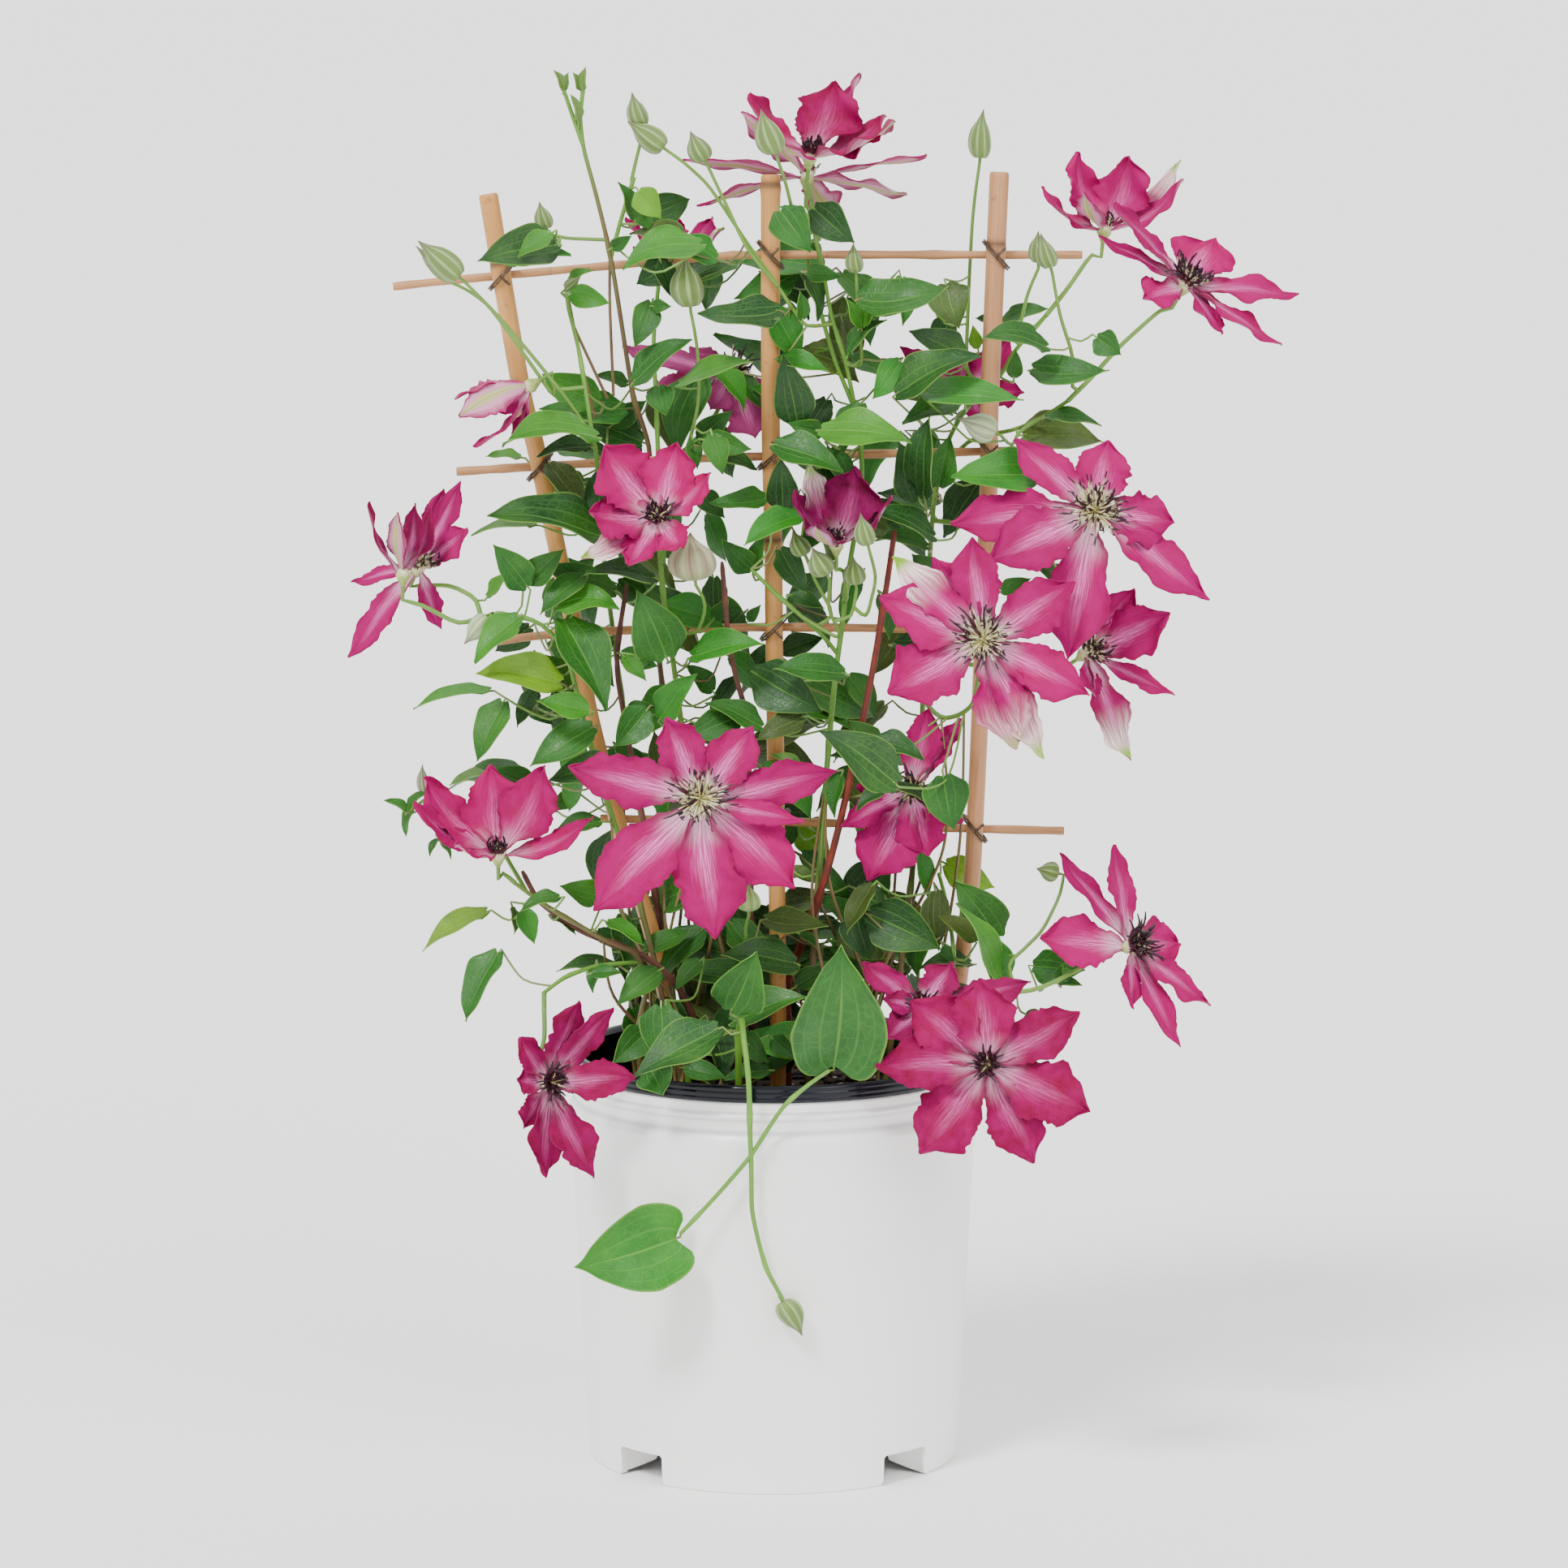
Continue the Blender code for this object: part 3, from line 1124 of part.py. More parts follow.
def add_stem(vine, points, radii, sides):
    shape = tube(points, radii, sides)
    vine_pieces[vine].append(shape)
    stem_tree[vine].append(tree_of(shape))


def nearest_on(vine, point, least=0.0):
    """The point of a vine's own stems that is nearest, with stems that pass below it preferred."""
    best = None
    for spot in vine_lines[vine]:
        away = (spot - point).length + 0.5 * max(0.0, spot.z - point.z)
        if away >= least and (best is None or away < best[0]):
            best = (away, spot)
    return best[1]


def stalk_to_stem(vine, head, head_radii, lead, stops, radius, sides, label):
    """A stalk from a bloom or bud: out of its head, through the stops, into the nearest free stem."""
    for least in (0, 8, 14, 20, 28):
        goal = nearest_on(vine, seen(*stops[-1], -lead.y) if stops else lead, least)
        start_place, goal_place = as_seen(lead), as_seen(goal)
        middle = []
        for k, (across, up) in enumerate(stops):
            share = (k + 1) / (len(stops) + 1)
            middle.append((across, up, start_place[2] + (goal_place[2] - start_place[2]) * share))
        points, _ = route([start_place] + middle + [goal_place], others_of(vine), radius, True)
        points = thinned(points, 1.3, others_of(vine), radius + FREE_GAP)
        radii = [radius * (0.85 + 0.3 * k / (len(points) - 1)) for k in range(len(points))]
        if not crosses(others_of(vine), tube(head + points, head_radii + radii, sides)):
            break
    else:
        print(vine, label, "stalk is blocked")
    vine_lines[vine] += spaced(points)[2:-2]
    add_stem(vine, head + points, head_radii + radii, sides)


for vine, plan in VINES.items():
    foot, top = plant_in_soil(*plan["root"], MAIN_STEM_RADIUS)
    points, blocked = route([as_seen(top)] + plan["stem"], others_of(vine), MAIN_STEM_RADIUS, False)
    if blocked:
        print(vine, "stem is blocked at", blocked)
    points = [foot] + thinned(points, 1.3, others_of(vine), MAIN_STEM_RADIUS + FREE_GAP)
    vine_lines[vine] += spaced(points[1:])[2:]
    thinning = [MAIN_STEM_RADIUS * (1 - 0.4 * k / len(points)) for k in range(len(points))]
    add_stem(vine, points, thinning, 3)
    for stops in plan.get("branches", []):
        start = nearest_on(vine, seen(*stops[0]))
        points, blocked = route([as_seen(start)] + stops[1:], others_of(vine), 0.9, False)
        if blocked:
            print(vine, "branch is blocked at", blocked)
        points = thinned(points, 1.3, others_of(vine), 0.95 + FREE_GAP)
        vine_lines[vine] += spaced(points)
        add_stem(vine, points, [0.95] * len(points), 3)

for vine, plan in VINES.items():
    for bloom, stops in plan["stalks"]:
        end, lead = bloom_ends[bloom]
        stalk_to_stem(vine, [end], [0.9], lead, stops, 1.0, 3, bloom)
    for base_across, base_up, tip_across, tip_up, width, forward, stops in plan["buds"]:
        for move in LEAF_MOVES:
            base = seen(base_across, base_up, forward + move)
            way = seen(tip_across, tip_up, forward + move + 1) - base
            rings = [base + way, base + way * 0.6, base + way * 0.28, base]
            radii = [width * 0.04, width * 0.37, width * 0.5, max(width * 0.2, 0.9)]
            if not crosses(others_of(vine), tube(rings, [r + FREE_GAP for r in radii], 4)):
                break
        else:
            print(vine, "bud at", base_across, base_up, "crosses something")
        lead = base - way.normalized() * 2.5
        sides = 4 if width > 12 else 3
        stalk_to_stem(vine, rings, radii, lead, stops, 0.75, sides, f"bud {base_across}")

missed = 0
for vine, plan in VINES.items():
    for leaf in plan["leaves"]:
        base_across, base_up, tip_across, tip_up, seen_width, forward = leaf
        length = math.hypot(tip_across - base_across, tip_up - base_up)
        large = length * seen_width > LARGE_LEAF
        lean = random_lean.uniform(0.1, 0.45) * (1 if forward > 0 else -1)
        placed = False
        for keep_off in (leaf_tree[vine] + stem_tree[vine], leaf_tree[vine], []):
            others = others_of(vine) + keep_off
            for move in LEAF_MOVES:
                depth = forward + move
                base = seen(base_across, base_up, depth)
                tip = seen(tip_across, tip_up, depth + lean * length)
                surface = leaf_surface(base, tip, seen_width)
                swollen = leaf_blade(surface, large, LEAF_THICKNESS + 2 * FREE_GAP, FREE_GAP)
                if crosses(others, swollen):
                    continue
                lead = base - (surface(0.1, 0)[0] - base).normalized() * 2.5
                goal = nearest_on(vine, lead)
                points, _ = route([as_seen(lead), as_seen(goal)], others_of(vine), STALK_RADIUS, True)
                points = thinned(points, 1.5, others_of(vine), STALK_RADIUS + FREE_GAP)
                shape = leaf_with_stalk(surface, large, points)
                placed = not crosses(others_of(vine), shape)
                if placed:
                    break
            if placed:
                break
        if not placed:
            missed += 1
            print(vine, "leaf", leaf, "has no clear place")
            continue
        if not keep_off:
            print(vine, "leaf", leaf, "crosses its own vine's leaves")
        vine_pieces[vine].append(shape)
        leaf_tree[vine].append(tree_of(shape))
print("leaves missed:", missed)

for vine, pieces in vine_pieces.items():
    fuse(vine, pieces, green)

cut(soil, holes)
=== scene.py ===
"""Clematis in bloom on a bamboo trellis, standing in a white nursery pot with a dark lining.

The frame holds each piece at its real size and place. Here each one gets its finish or is made
again as it looks from close by. Sizes are millimetres until a mesh is made. A place is read from
the front view: how far across and up it shows, and how far forward of the trellis it lies.
"""

import json
import math
import random

import bmesh
import bpy
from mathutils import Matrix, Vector, noise
from mathutils.bvhtree import BVHTree

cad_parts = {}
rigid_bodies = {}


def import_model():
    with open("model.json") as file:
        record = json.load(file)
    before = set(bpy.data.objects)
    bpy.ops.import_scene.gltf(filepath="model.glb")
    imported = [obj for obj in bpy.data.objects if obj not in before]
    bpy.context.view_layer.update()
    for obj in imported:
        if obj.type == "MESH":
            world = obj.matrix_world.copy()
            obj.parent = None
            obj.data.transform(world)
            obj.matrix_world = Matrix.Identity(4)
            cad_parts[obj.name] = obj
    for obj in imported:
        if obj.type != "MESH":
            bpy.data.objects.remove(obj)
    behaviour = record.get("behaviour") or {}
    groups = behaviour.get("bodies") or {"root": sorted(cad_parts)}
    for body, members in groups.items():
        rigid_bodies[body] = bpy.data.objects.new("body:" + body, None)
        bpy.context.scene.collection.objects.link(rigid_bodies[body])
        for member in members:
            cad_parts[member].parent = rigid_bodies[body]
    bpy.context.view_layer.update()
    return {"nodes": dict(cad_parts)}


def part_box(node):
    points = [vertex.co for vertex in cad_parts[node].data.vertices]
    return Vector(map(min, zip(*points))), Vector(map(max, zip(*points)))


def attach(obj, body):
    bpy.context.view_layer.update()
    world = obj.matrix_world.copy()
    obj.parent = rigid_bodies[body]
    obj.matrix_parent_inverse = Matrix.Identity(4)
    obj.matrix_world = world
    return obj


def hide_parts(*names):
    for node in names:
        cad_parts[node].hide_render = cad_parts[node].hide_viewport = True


for thing in list(bpy.data.objects):
    bpy.data.objects.remove(thing)

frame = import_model()

# The view from the front: a long lens a little above the plant, which looks slightly down on it.
# Every place in this script is given as it shows in this view, centred on the pot's axis.
MM = 0.001
VIEW_DISTANCE = 2600
VIEW_PITCH = math.radians(8.6)
VIEW_CENTRE = (4.5, 272.7)
VIEW_CENTRE_HEIGHT = 280
VIEW_WIDTH = 644
SENSOR_WIDTH = 36
EYE = Vector((
    VIEW_CENTRE[0],
    -VIEW_DISTANCE * math.cos(VIEW_PITCH),
    VIEW_CENTRE_HEIGHT + VIEW_DISTANCE * math.sin(VIEW_PITCH),
))
UP = Vector((0, 0, 1))
pot_low, pot_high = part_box("pot")
pot_axis = Vector(((pot_low.x + pot_high.x) / 2, (pot_low.y + pot_high.y) / 2, 0)) / MM


def in_frame(point):
    """A point of this script, in the frame's metres."""
    return (point + pot_axis) * MM


def seen(across, up, forward=0.0):
    """The point at (across, up) in the front view, this far forward of the trellis."""
    side = (across - VIEW_CENTRE[0]) / VIEW_DISTANCE
    rise = (up - VIEW_CENTRE[1]) / VIEW_DISTANCE
    sight = Vector((
        side,
        math.cos(VIEW_PITCH) + rise * math.sin(VIEW_PITCH),
        rise * math.cos(VIEW_PITCH) - math.sin(VIEW_PITCH),
    ))
    return EYE + sight * ((-EYE.y - forward) / sight.y)


def as_seen(point):
    """The inverse of seen: (across, up, forward) of a point."""
    away = point - EYE
    depth = away.y * math.cos(VIEW_PITCH) - away.z * math.sin(VIEW_PITCH)
    height = away.y * math.sin(VIEW_PITCH) + away.z * math.cos(VIEW_PITCH)
    across = VIEW_CENTRE[0] + away.x / depth * VIEW_DISTANCE
    return across, VIEW_CENTRE[1] + height / depth * VIEW_DISTANCE, -point.y


camera = bpy.data.objects.new("camera", bpy.data.cameras.new("camera"))
camera.data.sensor_width = SENSOR_WIDTH
camera.data.lens = SENSOR_WIDTH * VIEW_DISTANCE / VIEW_WIDTH
camera.data.clip_end = 300
camera.location = in_frame(EYE)
camera.rotation_euler = (math.pi / 2 - VIEW_PITCH, 0, 0)
bpy.context.scene.collection.objects.link(camera)
bpy.context.scene.camera = camera


# The floor is one wide pale sheet, lit by a white sky and by soft suns from the front, the left
# and the right, as in a studio with large lamps.
FLOOR_RADIUS = 60
SKY_STRENGTH = 1.15
SUN_DISTANCE = 3


def colour(code):
    """A colour written as RRGGBB, in the linear values that shaders take."""
    shares = [int(code[i:i + 2], 16) / 255 for i in (0, 2, 4)]
    return (*[s / 12.92 if s <= 0.04045 else ((s + 0.055) / 1.055) ** 2.4 for s in shares], 1)


def add_node(tree, kind, feeds, **settings):
    """A shader node with its settings, fed at each input by a plain value or a socket."""
    made = tree.nodes.new("ShaderNode" + kind)
    for name, value in settings.items():
        setattr(made, name, value)
    for name, value in feeds.items():
        if isinstance(value, bpy.types.NodeSocket):
            tree.links.new(value, made.inputs[name])
        else:
            made.inputs[name].default_value = value
    return made


def new_material(name, **plain):
    """A material, with its node tree and its shader, whose plain values are set by name."""
    made = bpy.data.materials.new(name)
    made.use_nodes = True
    shader = made.node_tree.nodes["Principled BSDF"]
    for key, value in plain.items():
        shader.inputs[key.replace("_", " ")].default_value = value
    return made, made.node_tree, shader


def finish_piece(name, mesh, material, slot=None, replaces=()):
    """An object of the finished mesh, which rides on the plant's one body when it has a slot."""
    mesh.materials.append(material)
    made = bpy.data.objects.new(name, mesh)
    bpy.context.scene.collection.objects.link(made)
    if slot:
        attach(made, "root")
        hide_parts(*replaces)
    return made


floor_paint, _, _ = new_material("pale floor", Base_Color=colour("F8F8F7"), Roughness=0.9)
form = bmesh.new()
bmesh.ops.create_circle(form, cap_ends=True, segments=96, radius=FLOOR_RADIUS)
floor_mesh = bpy.data.meshes.new("floor")
form.to_mesh(floor_mesh)
finish_piece("floor", floor_mesh, floor_paint)

sky = bpy.data.worlds.new("studio")
sky.use_nodes = True
sky.node_tree.nodes["Background"].inputs["Color"].default_value = (1, 1, 1, 1)
sky.node_tree.nodes["Background"].inputs["Strength"].default_value = SKY_STRENGTH
bpy.context.scene.world = sky
# Strength, azimuth and height in degrees, and how wide each sun is
SUNS = {"key": (3.2, -35, 50, 14), "fill": (1.3, 40, 35, 40), "top": (0.8, 170, 70, 40)}
for name, (strength, azimuth, height, softness) in SUNS.items():
    lamp = bpy.data.objects.new(name, bpy.data.lights.new(name, "SUN"))
    lamp.data.energy = strength
    lamp.data.angle = math.radians(softness)
    turn, rise = math.radians(azimuth), math.radians(height)
    lamp.location = (
        SUN_DISTANCE * math.sin(turn) * math.cos(rise),
        -SUN_DISTANCE * math.cos(turn) * math.cos(rise),
        SUN_DISTANCE * math.sin(rise),
    )
    lamp.rotation_mode = "QUATERNION"
    lamp.rotation_quaternion = lamp.location.to_track_quat("Z", "Y")
    bpy.context.scene.collection.objects.link(lamp)


# The pot is a blow-moulded nursery pot of white polyethylene, a little warm and satin. A step and
# a fine ridge run round under its rim, and its foot has four notches that let water out.
# Radius and height of each turn of its section: outside up to the rim, then inside and the floor
POT_PROFILE = [
    (73.0, 0.4), (73.6, 0), (75.8, 0), (76.5, 0.7), (77.7, 22), (79.0, 47), (82.5, 118),
    (83.9, 144.8), (84.2, 146.2), (83.9, 147.6), (82.9, 148.9), (82.2, 150.2), (82.1, 151.4),
    (82.4, 155.4), (83.0, 156.3), (83.1, 157.3), (82.5, 158.4), (82.6, 161.8), (82.5, 162.7),
    (82.2, 163), (81.5, 163), (81.0, 149), (75.8, 15.5), (0, 15.5), (0, 13.5), (74.9, 13.5),
]
ROUND_STEPS = 120
NOTCH_HALF = 12
NOTCH_HEIGHT = 12.6
NOTCH_ROUNDING = 2.6
NOTCH_ANGLES = [45, 135, 225, 315]
NOTCH_FROM_RADIUS = 55
NOTCH_CUT = 35
# Painted shade in the collar's grooves and under the lip: height, breadth, and how much shows
GROOVE_SHADES = [(150.4, 2.2, 0.42), (155.6, 1.2, 0.3), (158.6, 1.1, 0.4), (162.6, 0.8, 0.6)]
WEB_RADIUS = 75.2
WEB_DEPTH = 15
WEB_LOW = 0.9
WEB_TOP = 13.8
WEB_THICKNESS = 0.9


def cleaned(form):
    """The form with its seams closed and its faces turned outwards."""
    bmesh.ops.remove_doubles(form, verts=form.verts, dist=1e-7)
    bmesh.ops.recalc_face_normals(form, faces=form.faces)
    return form


def finished_mesh(form, name, sharp=40):
    """The form as a smooth mesh, with its edges sharp from this angle on."""
    mesh = bpy.data.meshes.new(name)
    form.to_mesh(mesh)
    form.free()
    mesh.shade_smooth()
    mesh.set_sharp_from_angle(angle=math.radians(sharp))
    return mesh


def turned_form(profile, steps=ROUND_STEPS, closed=True):
    """A form turned round the pot's axis from its (radius, height) profile."""
    form = bmesh.new()
    verts = [form.verts.new(in_frame(Vector((radius, 0, height)))) for radius, height in profile]
    pairs = list(zip(verts, verts[1:]))
    if closed:
        pairs.append((verts[-1], verts[0]))
    edges = [form.edges.new(pair) for pair in pairs]
    bmesh.ops.spin(
        form, geom=verts + edges, cent=pot_axis * MM, axis=(0, 0, 1), angle=2 * math.pi,
        steps=steps, use_merge=True, dvec=(0, 0, 0),
    )
    return cleaned(form)


def notch_cutter():
    """A block for each notch, flared at the floor so that the foot keeps rounded corners."""
    outline = [(-NOTCH_HALF, NOTCH_HEIGHT - 1), (-NOTCH_HALF + 1, NOTCH_HEIGHT)]
    outline += [(-across, up) for across, up in outline[::-1]]
    for i in range(7):
        turn = math.pi / 2 * i / 6
        out = NOTCH_HALF + NOTCH_ROUNDING * (1 - math.cos(turn))
        outline.append((out, NOTCH_ROUNDING * (1 - math.sin(turn))))
    outline += [(NOTCH_HALF + NOTCH_ROUNDING, -3), (-NOTCH_HALF - NOTCH_ROUNDING, -3)]
    outline += [(-across, up) for across, up in outline[4:11][::-1]]
    form = bmesh.new()
    for angle in NOTCH_ANGLES:
        out = Vector((math.sin(math.radians(angle)), -math.cos(math.radians(angle)), 0))
        side = UP.cross(out)
        spots = [out * NOTCH_FROM_RADIUS + side * across + UP * up for across, up in outline]
        face = form.faces.new([form.verts.new(in_frame(spot)) for spot in spots])
        made = bmesh.ops.extrude_face_region(form, geom=[face])["geom"]
        moved = [v for v in made if isinstance(v, bmesh.types.BMVert)]
        bmesh.ops.translate(form, verts=moved, vec=out * NOTCH_CUT * MM)
    return cleaned(form)


def cut_by(mesh, cutter_form, name):
    """The mesh less the cutter."""
    whole = bpy.data.objects.new(name, mesh)
    cutter = bpy.data.objects.new(name + " cutter", finished_mesh(cutter_form, name + " cutter"))
    for thing in (whole, cutter):
        bpy.context.scene.collection.objects.link(thing)
    difference = whole.modifiers.new("cut", "BOOLEAN")
    difference.operation = "DIFFERENCE"
    difference.object = cutter
    graph = bpy.context.evaluated_depsgraph_get()
    made = bpy.data.meshes.new_from_object(whole.evaluated_get(graph))
    bpy.data.objects.remove(whole)
    bpy.data.objects.remove(cutter)
    return made


def value_group(name, inputs, texture):
    """A node group that puts out a value about 0.5, from the noise that texture sets up."""
    tree = bpy.data.node_groups.new(name, "ShaderNodeTree")
    for key, kind in inputs.items():
        tree.interface.new_socket(key, in_out="INPUT", socket_type="NodeSocket" + kind)
    tree.interface.new_socket("Value", in_out="OUTPUT", socket_type="NodeSocketFloat")
    patches = add_node(tree, "TexNoise", texture(tree, tree.nodes.new("NodeGroupInput").outputs))
    spread = add_node(tree, "MapRange", {
        "Value": patches.outputs["Fac"], "From Min": 0.3, "From Max": 0.7,
    })
    leave = tree.nodes.new("NodeGroupOutput")
    tree.links.new(spread.outputs["Result"], leave.inputs["Value"])
    return tree


# Soft uneven patches over a piece
mottle = value_group("mottle", {"Place": "Vector", "Scale": "Float"}, lambda tree, given: {
    "Vector": given["Place"], "Scale": given["Scale"], "Detail": 4, "Roughness": 0.6,
})


def object_place(tree):
    """Where on the whole plant the surface is."""
    return add_node(tree, "TexCoord", {}).outputs["Object"]


def mottled(tree, scale):
    """The mottle group in a material, at a scale."""
    feeds = {"Place": object_place(tree), "Scale": scale}
    return add_node(tree, "Group", feeds, node_tree=mottle).outputs["Value"]


def reckoned(tree, operation, *values):
    """What a Math node makes of plain values or sockets."""
    return add_node(tree, "Math", dict(enumerate(values)), operation=operation).outputs[0]


def apart(tree, value, middle):
    """How far a value lies from a middle, on either side."""
    return reckoned(tree, "ABSOLUTE", reckoned(tree, "SUBTRACT", value, middle))


def mixed(tree, share, low, high):
    """A colour between two, which are plain colours or sockets."""
    made = add_node(tree, "Mix", {}, data_type="RGBA")
    for name, value in (("Factor", share), ("A", low), ("B", high)):
        alike = [socket for socket in made.inputs if socket.name == name]
        socket = made.inputs[0] if name == "Factor" else alike[2]
        if isinstance(value, bpy.types.NodeSocket):
            tree.links.new(value, socket)
        else:
            socket.default_value = value
    return made.outputs[2]


def ranged(tree, value, low, high, to_low=0.0, to_high=1.0):
    """The value's way from low to high, as a smooth way between two others."""
    made = add_node(tree, "MapRange", {
        "Value": value, "From Min": low, "From Max": high, "To Min": to_low, "To Max": to_high,
    }, interpolation_type="SMOOTHSTEP")
    return made.outputs["Result"]


def bumped(tree, shader, height, distance, strength=1.0):
    """Relief on the shader's normal, in millimetres."""
    feeds = {"Height": height, "Distance": distance * MM, "Strength": strength}
    tree.links.new(add_node(tree, "Bump", feeds).outputs["Normal"], shader.inputs["Normal"])


def painted(tree, shader, body, gloss=None):
    """Feeds the shader its colour, and its roughness where that changes over the surface."""
    tree.links.new(body, shader.inputs["Base Color"])
    if gloss:
        tree.links.new(gloss, shader.inputs["Roughness"])


white, tree, shader = new_material("white polyethylene", IOR=1.5, Coat_Weight=0.08)
body = mixed(tree, mottled(tree, 9), colour("F4F2F1"), colour("FAF9F8"))
height = add_node(tree, "SeparateXYZ", {"Vector": object_place(tree)}).outputs["Z"]
# Painted shade: the grooves and the edge under the lip are greyed where they would lie in shadow
for groove, breadth, depth in GROOVE_SHADES:
    share = ranged(tree, apart(tree, height, groove * MM), 0, breadth * MM, depth, 0)
    body = mixed(tree, share, body, colour("8F8C96"))
painted(tree, shader, body, ranged(tree, mottled(tree, 30), 0, 1, 0.3, 0.42))
bumped(tree, shader, mottled(tree, 260), 0.05, 0.5)

pot_form = turned_form(POT_PROFILE)
pot_mesh = cut_by(finished_mesh(pot_form, "pot_shell", 30), notch_cutter(), "pot_shell")
pot_mesh.shade_smooth()
pot_mesh.set_sharp_from_angle(angle=math.radians(30))
finish_piece("pot_shell", pot_mesh, white, "pot_white", ["pot"])


def laid_grid(form, rows, columns, place):
    """A grid laid where place puts each (way along from 0 to 1, way across from -1 to 1)."""
    if not form.loops.layers.uv:
        form.loops.layers.uv.new("UVMap")
    made = bmesh.ops.create_grid(form, x_segments=rows, y_segments=columns, size=1, calc_uvs=True)
    for vert in made["verts"]:
        vert.co = in_frame(place((vert.co.x + 1) / 2, vert.co.y))
    return made["verts"]


# Each notch runs on inwards under the floor of the pot between two thin curved webs.
form = bmesh.new()
for angle in NOTCH_ANGLES:
    out = Vector((math.sin(math.radians(angle)), -math.cos(math.radians(angle)), 0))
    side = UP.cross(out)
    for hand in (-1, 1):

        def web(t, s):
            low = WEB_LOW + 4 * t * t
            height = low + (WEB_TOP - low) * (s + 1) / 2
            bow = 1.2 * math.sin(math.pi * (s + 1) / 2)
            across = hand * (NOTCH_HALF + 1.6 - 6 * t * t - bow)
            return out * (WEB_RADIUS - WEB_DEPTH * t) + side * across + UP * height

        laid_grid(form, 10, 8, web)
bmesh.ops.solidify(form, geom=form.faces[:], thickness=WEB_THICKNESS * MM)
bmesh.ops.recalc_face_normals(form, faces=form.faces)
finish_piece("foot_webs", finished_mesh(form, "foot_webs"), white, "pot_white")


# The dark lining is a thin inner pot with a glossy rolled lip, which sits on the white rim. It is
# deep navy, almost black, and two fine grooves run round the lip.
LIP_PROFILE = [
    (75.3, 16), (80.7, 149), (81.0, 163.3), (82.6, 163.3), (83.1, 163.7), (83.2, 164.6),
    (82.95, 165.0), (82.95, 165.4), (83.2, 165.8), (83.2, 167.0), (82.95, 167.4), (82.95, 167.8),
    (83.15, 168.2), (83.0, 169.2), (82.4, 169.8), (81.6, 170), (80.2, 169.7), (79.4, 168.9),
    (79.1, 167.5), (78.9, 160), (78.6, 149), (74.2, 17.2), (0, 17.2), (0, 16),
]
navy, tree, shader = new_material("navy lining", Specular_IOR_Level=0.32)
body = mixed(tree, mottled(tree, 25), colour("020308"), colour("050818"))
painted(tree, shader, body, ranged(tree, mottled(tree, 70), 0, 1, 0.1, 0.18))
lip_mesh = finished_mesh(turned_form(LIP_PROFILE), "lining_lip", 50)
finish_piece("lining_lip", lip_mesh, navy, "lining_navy", ["pot_lining"])


# The soil is a bark and peat mix. The frame's soil stays, with its planting holes, and crumbs of
# bark, peat and a few white grains of perlite lie loose on it.
CRUMBS = 620
PERLITE_SHARE = 0.12
SOIL_RADIUS = 76
SOIL_TOP = 150
CRUMB_COLOURS = ["3A2416", "2A190F", "4B3020", "1E120B", "5A3C26"]
rng = random.Random(3)


def tint_layer(form):
    """Where a form keeps the colour of each of its pieces."""
    return form.verts.layers.float_color.new("tint")


def own_mark(tree, name, output="Fac"):
    """What a piece keeps on its surface under this name."""
    return add_node(tree, "Attribute", {}, attribute_name=name).outputs[output]


soil_dark, tree, shader = new_material("potting soil", Roughness=0.95)
painted(tree, shader, mixed(tree, mottled(tree, 400), colour("1C110A"), colour("46301F")))
bumped(tree, shader, mottled(tree, 300), 1.5)
frame["nodes"]["soil"].material_slots[0].material = soil_dark

crumb_skin, tree, shader = new_material("soil crumbs", Roughness=0.95)
tint = own_mark(tree, "tint", "Color")
painted(tree, shader, mixed(tree, mottled(tree, 700), colour("120A06"), tint))
form = bmesh.new()
layer = tint_layer(form)
for _ in range(CRUMBS):
    reach = SOIL_RADIUS * math.sqrt(rng.random())
    turn = rng.uniform(0, 2 * math.pi)
    size = rng.uniform(1.0, 3.2)
    white_grain = rng.random() < PERLITE_SHARE
    radius = size * (0.6 if white_grain else 1) * MM
    made = bmesh.ops.create_icosphere(form, subdivisions=1, radius=radius)
    shade = colour("E4DFD5" if white_grain else rng.choice(CRUMB_COLOURS))
    flat = 0.8 if white_grain else rng.uniform(0.3, 0.7)
    height = SOIL_TOP + 0.3 * size
    spot = in_frame(Vector((reach * math.cos(turn), reach * math.sin(turn), height)))
    twist = rng.uniform(0, math.pi)
    stretch = rng.uniform(0.7, 1.5)
    for vert in made["verts"]:
        jag = 1 + 0.25 * noise.noise(vert.co / MM * 0.9 + Vector((reach, turn, 0)))
        x, y, z = vert.co
        x *= stretch
        vert.co = spot + jag * Vector((
            x * math.cos(twist) - y * math.sin(twist),
            x * math.sin(twist) + y * math.cos(twist),
            z * flat,
        ))
        vert[layer] = shade
crumbs = finished_mesh(form, "soil_crumbs", 20)
finish_piece("soil_crumbs", crumbs, crumb_skin, "potting_soil")


# The trellis is three bamboo canes, fanned out of the pot and sawn off at the top, with four thin
# split rungs behind them. Each cane has the ring of a joint here and there along it.
STAKES = {
    "stake_left": [
        (-117, 515), (-104, 438), (-97, 409), (-88, 366), (-82, 339), (-75, 300), (-62, 251),
        (-50, 212), (-44, 185), (-37, 148),
    ],
    "stake_middle": [(-1, 523), (-1, 426), (0, 373), (1, 286), (2, 190), (2, 148)],
    "stake_right": [
        (93, 524), (89, 431), (88.5, 394), (85, 302), (83, 258), (81.5, 233), (77, 196), (71, 148),
    ],
}
# The height of each joint of a cane
JOINTS = {
    "stake_left": [485, 352, 236], "stake_middle": [517.5, 372, 240],
    "stake_right": [493, 352, 214],
}
STAKE_FOOT_UP = 148
STAKE_RISE = 370
STAKE_TOP_RADIUS = 4.1
STAKE_LOW_RADIUS = 3.4
STAKE_DEPTH_IN_SOIL = 60
